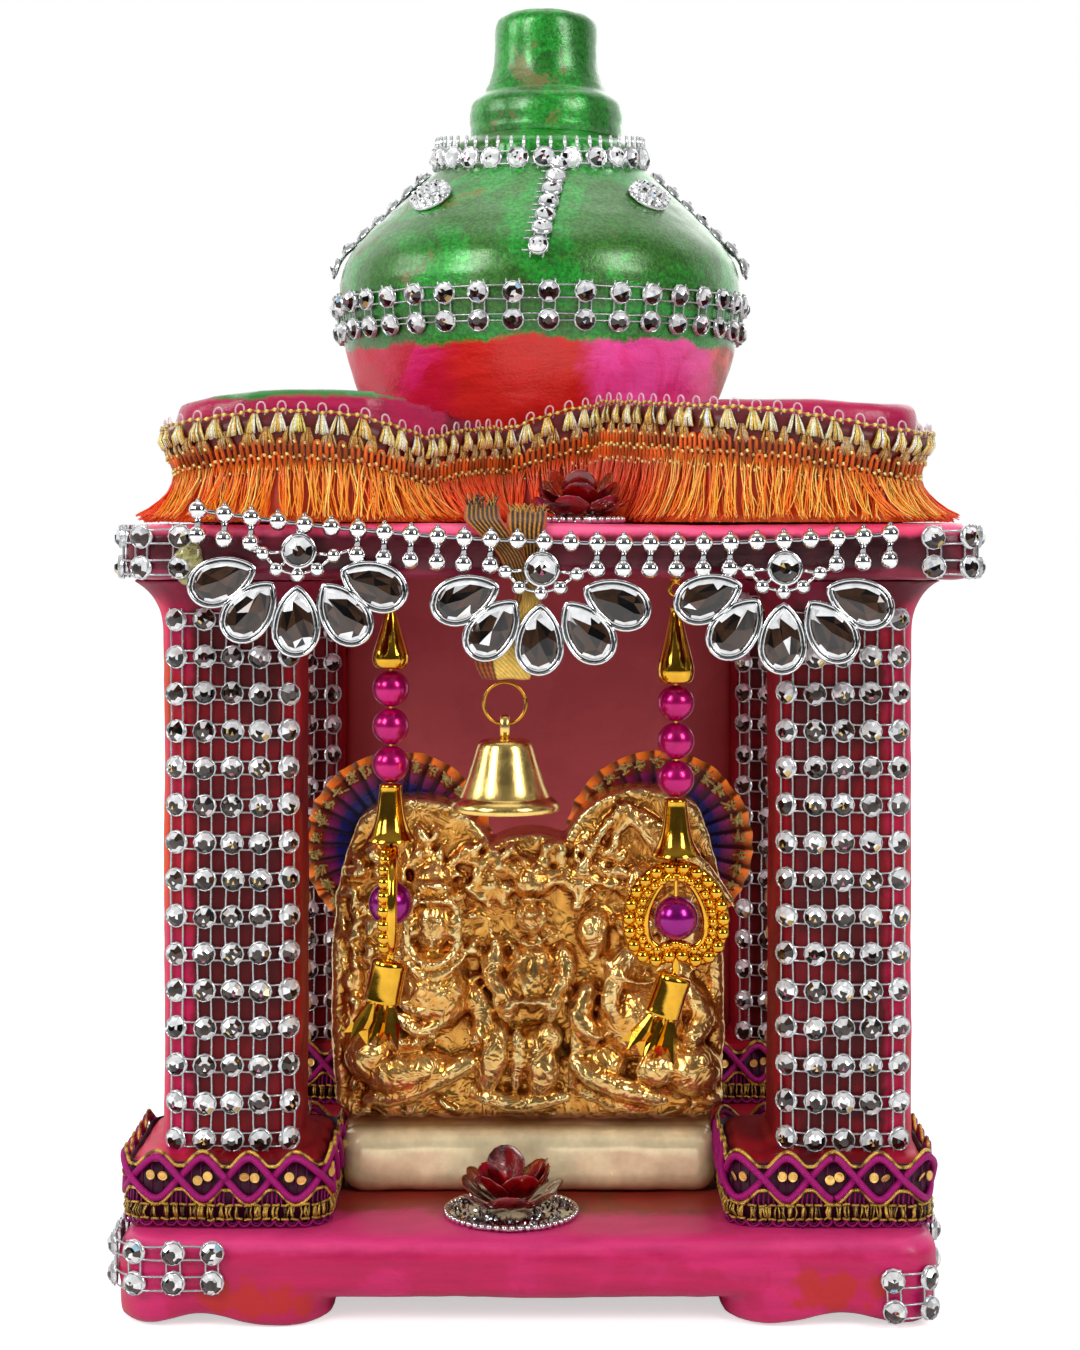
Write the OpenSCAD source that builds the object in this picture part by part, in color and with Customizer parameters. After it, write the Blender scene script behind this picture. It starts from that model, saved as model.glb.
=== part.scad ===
// Household pooja mandir: a four-post clay shrine with a pot dome, trimmed with
// rhinestone mesh, lace, fringe, a bell and two bead hangings.
// Millimetres, +Z up, the front faces -Y. The origin is on the floor, under the middle of the whole.

/* [Base] */
// Width of the base slab
base_w = 178; // [160:1:200]
// Depth of the base slab
base_d = 177; // [160:1:200]
// Thickness of the base slab above its feet
base_t = 13.6; // [10:0.2:20]
// Height of the four feet
foot_h = 5.4; // [4:0.2:10]
// Side of a foot at the floor
foot_w = 45; // [30:1:60]
// Corner radius of the base and cornice slabs
slab_r = 9; // [4:0.5:14]

/* [Posts] */
// Distance between the middles of the left and right posts
post_span_x = 136.4; // [120:0.2:150]
// Distance between the middles of the front and back posts
post_span_y = 114; // [100:1:130]
// Side of a post
post_w = 31; // [24:0.5:36]
// Corner radius of a post
post_r = 8; // [3:0.5:11]
// Height of the posts from the base to the cornice
post_h = 141.5; // [120:0.5:170]
// Side of the plinth round the foot of a post
plinth_w = 43; // [38:0.5:46]
// Height of the plinth
plinth_h = 17; // [10:0.5:24]
// Corner radius of a plinth
plinth_r = 6; // [2:0.5:10]
// Side of the flared head under the cornice
flare_w = 46; // [38:0.5:50]
// Height of the flared head
flare_h = 9.5; // [6:0.5:14]
// Thickness of the back wall
wall_t = 8; // [5:0.5:12]

/* [Roof] */
// Width of the cornice slab
cornice_w = 184.4; // [170:0.2:200]
// Depth of the cornice slab
cornice_d = 182; // [170:1:200]
// Thickness of the cornice slab
cornice_t = 12; // [8:0.5:16]
// Half the width of the lobed canopy
canopy_s = 81.5; // [70:0.5:86]
// Radius of the canopy at the dips between its lobes
canopy_dip_r = 52; // [46:0.5:60]
// Height of the canopy's dish floor above the cornice
canopy_floor = 13.5; // [8:0.5:18]
// Height of the lobes above the cornice
canopy_lobe = 27.5; // [20:0.5:34]
// Height of the dips above the cornice
canopy_dip = 22; // [18:0.5:26]
// Thickness of the canopy's rim
canopy_t = 5; // [3:0.5:8]

/* [Dome] */
// Largest radius of the pot dome
dome_r = 50.5; // [46:0.5:54]
// Height of the largest radius above the dome's foot
dome_belly = 46.5; // [40:0.5:54]
// Radius of the arc of the lower side
dome_side_r = 79; // [70:1:95]
// Radius of the shoulder
dome_shoulder_r = 10; // [8:0.5:14]
// Angle at which the shoulder turns into the cone, above the level
dome_cone_a = 46; // [40:1:52]
// Height of the dome above its foot
dome_h = 82; // [76:0.5:90]
// Thickness of the dome's wall
dome_t = 6; // [4:0.5:8]
// Radius of the finial's collar
collar_r = 19.1; // [16:0.1:22]
// Height of the finial's collar
collar_h = 11.5; // [8:0.5:15]
// Radius of the finial's knob
knob_r = 12.5; // [9:0.5:15]
// Height of the finial above its collar
knob_h = 20.5; // [14:0.5:26]

/* [Trim] */
// Thickness of the rhinestone mesh
mesh_t = 1.2; // [0.8:0.1:2]
// Height of a two-row strip of rhinestone mesh
mesh_h = 11; // [9:0.5:12]
// Width of the bare strip at a post's inner edge
bare_w = 5.6; // [3:0.2:8]
// Thickness of the lace round a plinth
lace_t = 1; // [0.6:0.1:1.6]
// Height of the lace
lace_h = 15.5; // [12:0.5:16]
// Diameter of a silver trim ball
ball_d = 4; // [3:0.1:5]
// Length of the ball trim
trim_l = 150; // [120:1:160]
// Radius of the round stone in the middle of a fan
stone_r = 3.5; // [2.5:0.1:4.5]
// Radius of the round end of a teardrop stone
tear_r = 5; // [4:0.1:5.4]
// Length of a teardrop stone
tear_l = 15; // [13:0.5:17]
// Distance between the middles of the fans
fan_pitch = 51.7; // [49:0.1:56]
// Thickness of a fan
fan_t = 3; // [2:0.1:4]
// Thickness of the fringe
fringe_t = 2.3; // [1.5:0.1:3]

/* [Bell] */
// Radius of the bell's lip
bell_r = 11.7; // [9:0.1:13]
// Height of the bell
bell_h = 15.5; // [12:0.5:18]
// Wall of the bell
bell_t = 1.2; // [0.8:0.1:2]
// Radius of the bell ring to the middle of its wire
ring_r = 4.5; // [4:0.1:6]
// Radius of the ring's wire
ring_wire = 0.5; // [0.4:0.05:0.8]
// Width of the ribbon
ribbon_w = 14; // [10:0.5:16]
// Thickness of the folded ribbon
ribbon_t = 1; // [0.6:0.1:1.2]
// Length of the ribbon below the cornice, to the bell ring's wire
ribbon_l = 21.8; // [21.5:0.1:26]

/* [Hangings] */
// Distance of the left hanging from the middle
hang_x_left = 33.9; // [30:0.1:38]
// Distance of the right hanging from the middle
hang_x_right = 28.2; // [25:0.1:34]
// Diameter of a pearl on the string
pearl_d = 8.1; // [6:0.1:9]
// Length of the left drop bead
drop_l_left = 14; // [10:0.1:18]
// Length of the right drop bead
drop_l_right = 17.2; // [10:0.1:18]
// Radius of a drop bead
drop_r = 4.15; // [3:0.05:5]
// Length of the bead cone
cone_l = 12.6; // [10:0.1:15]
// Width of the heart
heart_w = 23.6; // [20:0.1:26]
// Thickness of the heart
heart_t = 4; // [2.5:0.1:5]
// Diameter of the pearl in the heart
heart_pearl_d = 9.8; // [8:0.1:10.4]
// Radius of the tube below the heart
tube_r = 4; // [3:0.1:5]
// Length of the tube below the heart
tube_l = 9.5; // [7:0.1:12]
// Length of the flower tips
tip_l = 10.5; // [7:0.1:12]

/* [Figures and flowers] */
// Width of the figure group
idol_w = 86.6; // [78:0.2:87]
// Depth of the figure group
idol_d = 26; // [20:0.5:30]
// Height of the group's plinth
idol_base_h = 14.7; // [10:0.1:18]
// Height of the left figure's arch above the base
idol_h_left = 89.5; // [80:0.5:96]
// Height of the middle figure's arch above the base
idol_h_mid = 81.5; // [70:0.5:90]
// Height of the right figure's arch above the base
idol_h_right = 92; // [80:0.5:98]
// Radius of a pleated halo
halo_r = 21.5; // [18:0.1:23]
// Radius of the floor flower's disc
floor_flower_r = 15.5; // [12:0.1:16]
// Height of the floor flower
floor_flower_h = 15; // [10:0.5:18]
// Radius of the roof flower's disc
roof_flower_r = 10.5; // [8:0.1:11]
// Height of the roof flower
roof_flower_h = 11.5; // [8:0.5:13]

/* [Handmade offsets] */
// How far the house stands behind the middle, because the bell hangs out in front
house_y = 4.6; // [0:0.1:6]
// Sideways offset of the base
base_x = -4.1; // [-5:0.1:5]
// Sideways offset of the posts
posts_x = -1.9; // [-4:0.1:4]
// Sideways offset of the right plinths from their posts
plinth_x_right = -4; // [-5:0.1:2]
// Sideways offset of the cornice
cornice_x = 0.9; // [-5:0.1:5]
// Backward offset of the cornice
cornice_y = 1; // [0:0.1:3]
// Sideways offset of the canopy
canopy_x = 0.3; // [-3:0.1:3]
// Sideways offset of the dome
dome_x = -1.4; // [-3:0.1:3]
// Sideways offset of the finial
finial_x = 0.1; // [-3:0.1:3]
// Sideways place of the bell
bell_x = -8.9; // [-14:0.1:0]

/* [Hidden] */
$fn = 48;
touch = 0.3;          // gap between pieces that lie against each other but are not fused
pin_gap = 0.1;        // gap between two linked wires
thread_r = 0.45;      // radius of the threads and small wires
eye_r = 1.4;          // radius of an eyelet to the middle of its wire
ring_steps = 96;      // stations round the canopy

floor_z = foot_h + base_t;
cornice_z = floor_z + post_h;
roof_z = cornice_z + cornice_t;
dish_z = roof_z + canopy_floor;
neck_z = dish_z + dome_h;
belly_z = dish_z + dome_belly;
cornice_front = cornice_y - cornice_d / 2;

// ---------- shared shapes ----------

// A rectangle with round corners, centred on the origin.
module round_rect(w, d, r) {
    square([w - 2 * r, d], center = true);
    square([w, d - 2 * r], center = true);
    for (x = [-1, 1], y = [-1, 1]) translate([x * (w / 2 - r), y * (d / 2 - r)]) circle(r);
}

// The band of thickness t just outside such a rectangle.
module rect_band(w, d, r, t) {
    difference() {
        round_rect(w + 2 * t, d + 2 * t, r + t);
        round_rect(w, d, r);
    }
}

// Points on an arc about c, from angle a0 to a1.
function arc(c, r, a0, a1, n) = [for (i = [0:n]) let (a = a0 + (a1 - a0) * i / n)
    [c[0] + r * cos(a), c[1] + r * sin(a)]];

function smooth(x) = let (t = max(0, min(1, x))) t * t * (3 - 2 * t);

// A ring of round wire about the origin, standing in the XZ plane.
module wire_ring(r, wire) {
    rotate([90, 0, 0]) rotate_extrude() translate([r, 0]) circle(wire, $fn = 24);
}

// A closed ring of given cross-sections, each a list of [x, y, z] points in the same order.
module swept_ring(sections) {
    n = len(sections);
    m = len(sections[0]);
    points = [for (s = sections) each s];
    faces = [for (i = [0:n - 1], j = [0:m - 1]) let (
        a = i * m + j, b = i * m + (j + 1) % m,
        c = ((i + 1) % n) * m + (j + 1) % m, d = ((i + 1) % n) * m + j)
        each [[a, b, c], [a, c, d]]];
    polyhedron(points, faces);
}

// The house stands behind the middle of the whole.
module house(x = 0, z = 0) { translate([x, house_y, z]) children(); }

// ---------- base ----------

module base_slab() {
    color("#B9175A") house(base_x, foot_h) linear_extrude(base_t) round_rect(base_w, base_d, slab_r);
}

module base_feet() {
    // The feet narrow towards the floor on their inner sides.
    color("#A81450") for (x = [-1, 1], y = [-1, 1])
        house(base_x) translate([x * (base_w - foot_w) / 2, y * (base_d - foot_w) / 2, 0])
            linear_extrude(foot_h) round_rect(foot_w, foot_w, slab_r);
}

// ---------- posts ----------

function post_x(side) = posts_x + side * post_span_x / 2;
function plinth_x(side) = post_x(side) + (side > 0 ? plinth_x_right : 0);
function post_y(row) = row * post_span_y / 2;

// side: -1 left, 1 right. row: -1 front, 1 back.
module post(side, row) {
    color("#B5203F") house(0, floor_z) {
        translate([plinth_x(side), post_y(row), 0]) linear_extrude(plinth_h)
            round_rect(plinth_w, plinth_w, plinth_r);
        translate([post_x(side), post_y(row), 0]) {
            linear_extrude(post_h) round_rect(post_w, post_w, post_r);
            hull() {
                translate([0, 0, post_h - flare_h]) linear_extrude(0.5)
                    round_rect(post_w, post_w, post_r, $fn = 32);
                translate([0, 0, post_h - 2]) linear_extrude(2)
                    round_rect(flare_w, flare_w, post_r, $fn = 32);
            }
        }
    }
}

// The wall closes the space between the back posts, and stands between their plinths and heads.
module back_wall() {
    wall_y = post_y(1) + post_w / 2 - wall_t - 4;
    mid_h = post_h - plinth_h - flare_h;
    laced = plinth_w + 2 * (lace_t + touch);
    color("#7E3232") house(0, floor_z) translate([0, wall_y, 0]) {
        span(plinth_x(-1) + laced / 2, plinth_x(1) - laced / 2, 0, plinth_h);
        span(post_x(-1) + post_w / 2, post_x(1) - post_w / 2, plinth_h, mid_h);
        span(post_x(-1) + flare_w / 2, post_x(1) - flare_w / 2, plinth_h + mid_h, flare_h);
    }
}

module span(x0, x1, z, h) { translate([x0, 0, z]) cube([x1 - x0, wall_t, h]); }

// ---------- roof ----------

module cornice_slab() {
    color("#C4408A") house(cornice_x, cornice_z) translate([0, cornice_y, 0])
        linear_extrude(cornice_t) round_rect(cornice_w, cornice_d, slab_r);
}

// The canopy's outline is a square with round corners that dips in at the middle of each side.
function side_a(a) = abs(((a + 45) % 90 + 90) % 90 - 45);
function lobe(a) = smooth((side_a(a) - 12) / 14);
function square_r(a) = canopy_s / pow(pow(abs(cos(a)), 10) + pow(abs(sin(a)), 10), 0.1);
function canopy_r(a) = canopy_dip_r + (square_r(a) - canopy_dip_r) * lobe(a);
function canopy_top(a) = canopy_dip + (canopy_lobe - canopy_dip) * lobe(a)
    - 2.5 * smooth((side_a(a) - 32) / 13);
function at(a, r, z) = [r * cos(a), r * sin(a), z];

module canopy() {
    rings = 5;
    n = ring_steps;
    angles = [for (i = [0:n - 1]) i * 360 / n];
    points = concat(
        [for (a = angles) at(a, canopy_r(a), 0)],
        [for (a = angles) at(a, canopy_r(a), canopy_top(a))],
        [for (a = angles) at(a, canopy_r(a) - canopy_t, canopy_top(a))],
        [for (a = angles) at(a, canopy_r(a) - 1.6 * canopy_t, canopy_floor)],
        [[0, 0, 0], [0, 0, canopy_floor]]);
    foot = 4 * n;
    floor_mid = foot + 1;
    faces = [for (i = [0:n - 1]) let (j = (i + 1) % n) each concat(
        [[foot, i, j], [floor_mid, 3 * n + j, 3 * n + i]],
        [for (k = [0:rings - 3]) each [
            [k * n + i, (k + 1) * n + i, (k + 1) * n + j], [k * n + i, (k + 1) * n + j, k * n + j]]])];
    color("#B8264E") house(canopy_x, roof_z) translate([0, cornice_y, 0]) polyhedron(points, faces);
}

// The fringe hangs round the canopy and its tassels spread over the cornice.
module canopy_fringe() {
    flare = 7;
    color("#E77113") house(canopy_x, roof_z) translate([0, cornice_y, 0]) swept_ring(
        [for (i = [0:ring_steps - 1]) let (
            a = i * 360 / ring_steps, r = canopy_r(a) + touch, top = canopy_top(a) - 3)
            [at(a, r, touch), at(a, r, top), at(a, r + fringe_t, top),
             at(a, r + fringe_t + 0.7, 8), at(a, r + flare, 2.5), at(a, r + flare, touch)]]);
}

// Half outline of the dome, inset by i from its outer face, from the foot up.
function dome_side(i, lift) = arc([dome_r - dome_side_r, belly_z], dome_side_r - i,
    asin((dish_z + lift - belly_z) / (dome_side_r - i)), 0, 16);
function dome_shoulder(i) = arc([dome_r - dome_shoulder_r, belly_z], dome_shoulder_r - i,
    0, dome_cone_a, 6);
// Radius of the dome's cone at height z.
function cone_r(z, i = 0) = let (
    c = dome_r - dome_shoulder_r, r = dome_shoulder_r - i,
    x = c + r * cos(dome_cone_a), y = belly_z + r * sin(dome_cone_a))
    x - (z - y) * tan(dome_cone_a);

module dome_pot() {
    roof_in = neck_z - dome_t;
    color("#A61518") house(dome_x) rotate_extrude($fn = 96) difference() {
        polygon(concat([[0, dish_z]], dome_side(0, 0), dome_shoulder(0), [[cone_r(neck_z), neck_z], [0, neck_z]]));
        polygon(concat([[-1, dish_z - 1], [dome_side(dome_t, 0)[0][0], dish_z - 1]],
            dome_side(dome_t, 0), dome_shoulder(dome_t),
            [[cone_r(roof_in, dome_t), roof_in], [-1, roof_in]]));
    }
}

module dome_finial() {
    top = neck_z + collar_h + knob_h;
    neck_r = collar_r - 4.2;
    edge = 2.5;
    color("#1F7A20") house(finial_x) rotate_extrude($fn = 96) polygon(concat(
        [[0, neck_z], [collar_r - edge, neck_z]],
        arc([collar_r - edge, neck_z + edge], edge, -90, 0, 5),
        arc([collar_r - edge, neck_z + collar_h - edge], edge, 0, 90, 5),
        [[neck_r, neck_z + collar_h], [knob_r, neck_z + collar_h + 6]],
        arc([knob_r - 4, top - 4], 4, 0, 90, 6), [[0, top]]));
}

// Two rows of rhinestones round the dome's belly.
module dome_band() {
    low = belly_z - 16.5;
    high = low + 1.2 * mesh_h;
    c = [dome_r - dome_side_r, belly_z];
    a0 = asin((low - belly_z) / dome_side_r);
    a1 = asin((high - belly_z) / dome_side_r);
    color("silver") house(dome_x) rotate_extrude($fn = 96) polygon(concat(
        arc(c, dome_side_r + mesh_t, a0, a1, 6), arc(c, dome_side_r, a1, a0, 6)));
}

// A strip on the dome's cone between two heights, turned through an angle.
module cone_strip(z0, z1, angle) {
    out = mesh_t / cos(dome_cone_a);
    rotate([0, 0, -angle / 2]) rotate_extrude(angle = angle, $fn = 96) polygon([
        [cone_r(z0), z0], [cone_r(z0) + out, z0], [cone_r(z1) + out, z1], [cone_r(z1), z1]]);
}

module neck_band() {
    color("silver") house(dome_x) cone_strip(neck_z - 8, neck_z - 1.2, 360);
}

module dome_strips() {
    color("silver") house(dome_x) for (a = [0:90:270])
        rotate([0, 0, a - 90]) cone_strip(neck_z - 28, neck_z - 10, 12);
}

module dome_medallions() {
    z = neck_z - 18;
    color("silver") house(dome_x, z) for (a = [45:90:315])
        rotate([0, 0, a]) translate([cone_r(z), 0, 0]) rotate([0, 90 - dome_cone_a, 0])
            hull() for (y = [-1.9, 1.9]) translate([0, y, 0]) cylinder(h = 1.6, r = 3.6, $fn = 24);
}

// ---------- trim on the cornice and base ----------

// Height of the middle of the top row of balls at x: the strip sags between its ends.
function trim_z(x) = roof_z - 4.2 + 0.00077 * pow(x - 22, 2);
function ramp(x0, x1, n) = [for (i = [0:n]) x0 + (x1 - x0) * i / n];

// A strip in the XZ plane that follows the sag from x0 to x1, between two offsets from it.
module sag_strip(x0, x1, low, high) {
    n = 8;
    polygon(concat([for (x = ramp(x0, x1, n)) [x, trim_z(x) + low]],
        [for (x = ramp(x1, x0, n)) [x, trim_z(x) + high]]));
}

// Stands a shape drawn in XZ up at depth y, with its thickness towards the front.
module upright(y, t) { translate([0, y, 0]) rotate([90, 0, 0]) linear_extrude(t) children(); }

module bead_trim() {
    half = ball_d / 2;
    second = 5.4;
    gap = 15;
    color("silver") house() difference() {
        upright(cornice_front, ball_d - 0.4) {
            sag_strip(-trim_l / 2, trim_l / 2, -half, half);
            for (s = [-1, 1]) {
                mid = s * fan_pitch / 2 - 1;
                sag_strip(mid - gap / 2, mid + gap / 2, -second - half, -half + 0.1);
            }
            for (s = [-1, 1]) {
                end = s * (trim_l / 2 - 7.5);
                sag_strip(end - 4.5, end + 4.5, -second - half, -half + 0.1);
            }
        }
        // room for the ribbon behind the strip
        translate([bell_x - ribbon_w / 2 - touch, cornice_front - ribbon_t - touch, cornice_z])
            cube([ribbon_w + 2 * touch, ribbon_t + 1, 2 * cornice_t]);
    }
}

// Where the teardrops of a fan point, and how far out their middles lie.
fan_dirs = [201, 231, 268, 305.5, 335.5];
fan_out = [17.4, 16.3, 15, 16.3, 17.4];
function fan_x(i) = -1 + i * fan_pitch;
function fan_z(i) = trim_z(fan_x(i)) - 5.8;

// A teardrop along +X with its middle at the origin and its point towards -X.
module teardrop() {
    c = tear_l / 2 - tear_r;
    reach = tear_l - tear_r;
    a = acos(tear_r / reach);
    r = tear_r - 0.06;
    translate([c, 0]) {
        circle(tear_r);
        polygon([[-reach, 0], [-r * cos(a), -r * sin(a)], [0, 0], [-r * cos(a), r * sin(a)]]);
    }
}

module fan(i) {
    back = cornice_front - ribbon_t - 0.4;
    link_r = fan_out[0] - tear_l / 2 + 2;
    color("#C8C8CC") house(fan_x(i), fan_z(i)) {
        upright(back, fan_t) {
            for (k = [0:4]) rotate(fan_dirs[k]) translate([fan_out[k], 0]) teardrop();
            circle(stone_r);
        }
        // the arc of little balls that joins the stones, and the neck up to the strip
        upright(back, 1.6) {
            intersection() {
                circle(link_r);
                translate([-link_r, -link_r]) square([2 * link_r, link_r]);
            }
            translate([-1, 0]) square([2, 5.8 - ball_d / 2 - touch]);
        }
    }
}

// Mesh round the back and sides of the cornice, turning onto the front at each end.
module cornice_mesh() {
    wrap_left = 14.6;
    wrap_right = 12;
    color("silver") house(cornice_x, cornice_z + (cornice_t - mesh_h) / 2) translate([0, cornice_y, 0])
        linear_extrude(mesh_h) difference() {
            rect_band(cornice_w, cornice_d, slab_r, mesh_t);
            translate([-cornice_w / 2 + wrap_left, -cornice_d / 2 - mesh_t - 1])
                square([cornice_w - wrap_left - wrap_right, 10]);
        }
}

// Mesh round the base; at the right front corner it has slipped down towards the floor.
module base_mesh() {
    wrap_left = 23;
    wrap_right = 12;
    z = foot_h + (base_t - mesh_h) / 2;
    slipped = 1.2;
    color("silver") house(base_x) {
        translate([0, 0, z]) linear_extrude(mesh_h) difference() {
            rect_band(base_w, base_d, slab_r, mesh_t);
            translate([-base_w / 2 + wrap_left, -base_d / 2 - mesh_t - 1]) square([base_w, foot_w]);
        }
        translate([0, 0, slipped]) linear_extrude(mesh_h) intersection() {
            rect_band(base_w, base_d, slab_r, mesh_t);
            translate([base_w / 2 - wrap_right, -base_d / 2 - mesh_t - 1]) square([20, foot_w - 4]);
        }
    }
}

// Mesh on the front, outer and back faces of a post.
module post_mesh(side, row) {
    inner = post_w / 2 - bare_w;
    color("silver") house(post_x(side), floor_z + plinth_h) translate([0, post_y(row), 0])
        linear_extrude(post_h - plinth_h - flare_h) difference() {
            rect_band(post_w, post_w, post_r, mesh_t);
            translate([side > 0 ? -inner - post_w : inner, -post_w]) square([post_w, 2 * post_w]);
        }
}

module lace(side, row) {
    color("#C2186E") house(plinth_x(side), floor_z + touch) translate([0, post_y(row), 0])
        linear_extrude(lace_h) rect_band(plinth_w, plinth_w, plinth_r, lace_t);
}

// ---------- figures, halos and flowers ----------

idol_x = -3.9;
idol_front = -53.3;

module figure_group() {
    relief_d = idol_d - 8;
    color("#CDA349") house(idol_x, floor_z) translate([0, idol_front, 0]) {
        linear_extrude(idol_base_h) translate([0, idol_d / 2]) round_rect(idol_w, idol_d, 5);
        figure(-25, 17, idol_h_left, relief_d);
        figure(0, 14, idol_h_mid, relief_d);
        figure(25, 17, idol_h_right, relief_d);
    }
}

// An arched slab with a seated body and a head in front of it.
module figure(x, half, top, depth) {
    body_z = idol_base_h + 18;
    head_z = top - half - 8;
    front = idol_d - depth;
    translate([x, 0, 0]) {
        upright(idol_d, depth) {
            translate([-half, 0]) square([2 * half, top - half]);
            translate([0, top - half]) circle(half);
        }
        translate([0, front, body_z]) sphere(0.42 * half);
        translate([0, front, head_z]) sphere(0.3 * half);
    }
}

module halos() {
    color("#C4581E") house(idol_x) for (s = [-1, 1])
        translate([s * 30, 0, floor_z + 76]) upright(idol_front + idol_d + 1.6, 1.6) circle(halo_r);
}

module flower(r, h) {
    disc = 1.4;
    cylinder(h = disc, r = r);
    translate([0, 0, disc]) cylinder(h = h - disc, r1 = 0.45 * r, r2 = 0.75 * r);
}

module roof_flower() {
    color("#7A1020") house(7.3, roof_z) translate([0, cornice_front + 17, 0])
        flower(roof_flower_r, roof_flower_h);
}

module floor_flower() {
    color("#7A1020") house(-7.8, floor_z) translate([0, idol_front - floor_flower_r - touch, 0])
        flower(floor_flower_r, floor_flower_h);
}

// ---------- bell ----------

bell_y = cornice_front - ribbon_t / 2 - 0.2;
ring_top_z = cornice_z - ribbon_l;
ring_z = ring_top_z - ring_r;
ring_low_z = ring_z - ring_r;
loop_wire = 0.7;
loop_r = 1.7;
eye_wire = 0.6;
bell_eye_r = 1.5;
bell_eye_z = ring_low_z + ring_wire + pin_gap + eye_wire - bell_eye_r;
bell_top_z = bell_eye_z - bell_eye_r - 1.2;

// Folded ribbon: its ends lie on the cornice, it passes behind the trim and ends in a loop.
module ribbon() {
    loop_z = ring_top_z - ring_wire - pin_gap - loop_wire + loop_r;
    lie = 7.5;
    gather = 7;
    color("#8A6A1E") house(bell_x) {
        translate([-ribbon_w / 2, cornice_front - ribbon_t, roof_z + touch])
            cube([ribbon_w, ribbon_t + lie, 0.8]);
        translate([-ribbon_w / 2, bell_y - ribbon_t / 2, loop_z + gather])
            cube([ribbon_w, ribbon_t, roof_z + touch + 0.4 - loop_z - gather]);
        hull() {
            translate([-ribbon_w / 2, bell_y - ribbon_t / 2, loop_z + gather]) cube([ribbon_w, ribbon_t, 0.2]);
            translate([-1.5, bell_y - ribbon_t / 2, loop_z + loop_r]) cube([3, ribbon_t, 0.2]);
        }
        translate([0, bell_y, loop_z]) rotate([0, 0, 90]) wire_ring(loop_r, loop_wire);
    }
}

module bell_ring() {
    color("#B8B8BC") house(bell_x, ring_z) translate([0, bell_y, 0]) wire_ring(ring_r, ring_wire);
}

// Outline of the bell, inset by i: a round shoulder, a long flank and a flared lip.
function bell_outline(i) = let (top_r = 0.52 * bell_r, lip = 2)
    concat([[0, -i]], arc([top_r - 2, -2], 2 - i / 2, 90, 0, 5),
        [[0.66 * bell_r - i, -0.45 * bell_h], [0.84 * bell_r - i, -bell_h + lip + 1],
         [bell_r - i, -bell_h + lip], [bell_r - i, -bell_h], [0, -bell_h]]);

module bell() {
    color("#BC8831") house(bell_x, bell_top_z) translate([0, bell_y, 0]) {
        rotate_extrude($fn = 96) difference() {
            polygon(bell_outline(0));
            translate([0, -0.01]) intersection() {
                polygon(bell_outline(bell_t));
                translate([-1, -bell_h - 1]) square([30, bell_h + 1]);
            }
        }
        cylinder(h = 1.2 + eye_wire, r1 = 1.6, r2 = 0.7);
        translate([0, 0, bell_eye_z - bell_top_z]) rotate([0, 0, 90]) wire_ring(bell_eye_r, eye_wire);
    }
}

module bell_clapper() {
    drop = bell_h - 3.6;
    color("#8C6A2C") house(bell_x, bell_top_z - bell_t) translate([0, bell_y, 0]) {
        translate([0, 0, -drop + 1]) cylinder(h = drop - 1 - 0.02, r = 0.6);
        translate([0, 0, -drop + 1.6]) sphere(2.1);
    }
}

// ---------- bead hangings ----------

hang_y = -80;
eye_z = cornice_z - 2.2;                 // middle of the eyelet's ring
pivot_z = eye_z - eye_r;                 // its lowest wire, on which the hanging swings
bail_r = 1.3;
bail_z = pivot_z + 2 * thread_r + pin_gap - bail_r;
drop_top = bail_z - bail_r - 0.3;

function hang_x(side) = side > 0 ? hang_x_right : -hang_x_left;
function drop_l(side) = side > 0 ? drop_l_right : drop_l_left;
function pearl_z(side, i) = drop_top - drop_l(side) - 0.2 - (i + 0.5) * (pearl_d + 0.15);
function cone_top(side) = pearl_z(side, 3) + pearl_d / 2;
function cone_low(side) = cone_top(side) - cone_l;
function heart_top(side) = cone_low(side) - 2 * touch;
function heart_low(side) = heart_top(side) - heart_w;

module at_hanging(side, z = 0) { translate([hang_x(side), house_y + hang_y, z]) children(); }

module hanging_eyes() {
    color("#B8B8BC") for (side = [-1, 1]) at_hanging(side) {
        translate([0, 0, eye_z]) wire_ring(eye_r, thread_r);
        translate([0, 0, eye_z + eye_r]) cylinder(h = cornice_z - eye_z - eye_r, r = thread_r);
    }
}

// Drop bead, three pearls and a cone, threaded on one string with a bail at the top.
module string(side) {
    l = drop_l(side);
    color("#C2186E") at_hanging(side) {
        translate([0, 0, bail_z]) rotate([0, 0, 90]) wire_ring(bail_r, thread_r);
        translate([0, 0, cone_low(side) - touch])
            cylinder(h = drop_top + 0.4 - cone_low(side) + touch, r = thread_r);
        translate([0, 0, drop_top - l]) rotate_extrude() polygon(concat(
            arc([0, drop_r], drop_r, -90, 10, 8), [[1.1, l], [0, l]]));
        for (i = [0:2]) translate([0, 0, pearl_z(side, i)]) sphere(pearl_d / 2);
        translate([0, 0, cone_low(side)]) cylinder(h = cone_l, r1 = 5.3, r2 = 2.6);
    }
}

// A heart with its point up at the origin, of the given width and height.
module heart_shape(w) {
    r = 0.28 * w;
    x = w / 2 - r;
    z = r - w;
    // angles on the right lobe at which its straight side and the cleft begin
    side = atan2(-z, -x) - acos(r / norm([x, z]));
    cleft = acos(x / r);
    polygon(concat([[0, 0]], arc([x, z], r, side, cleft - 180, 20),
        arc([-x, z], r, -cleft, -180 - side, 20)));
}

inner_share = 0.66;
function inner_drop() = heart_w * (1 - inner_share) * 0.56;

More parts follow.
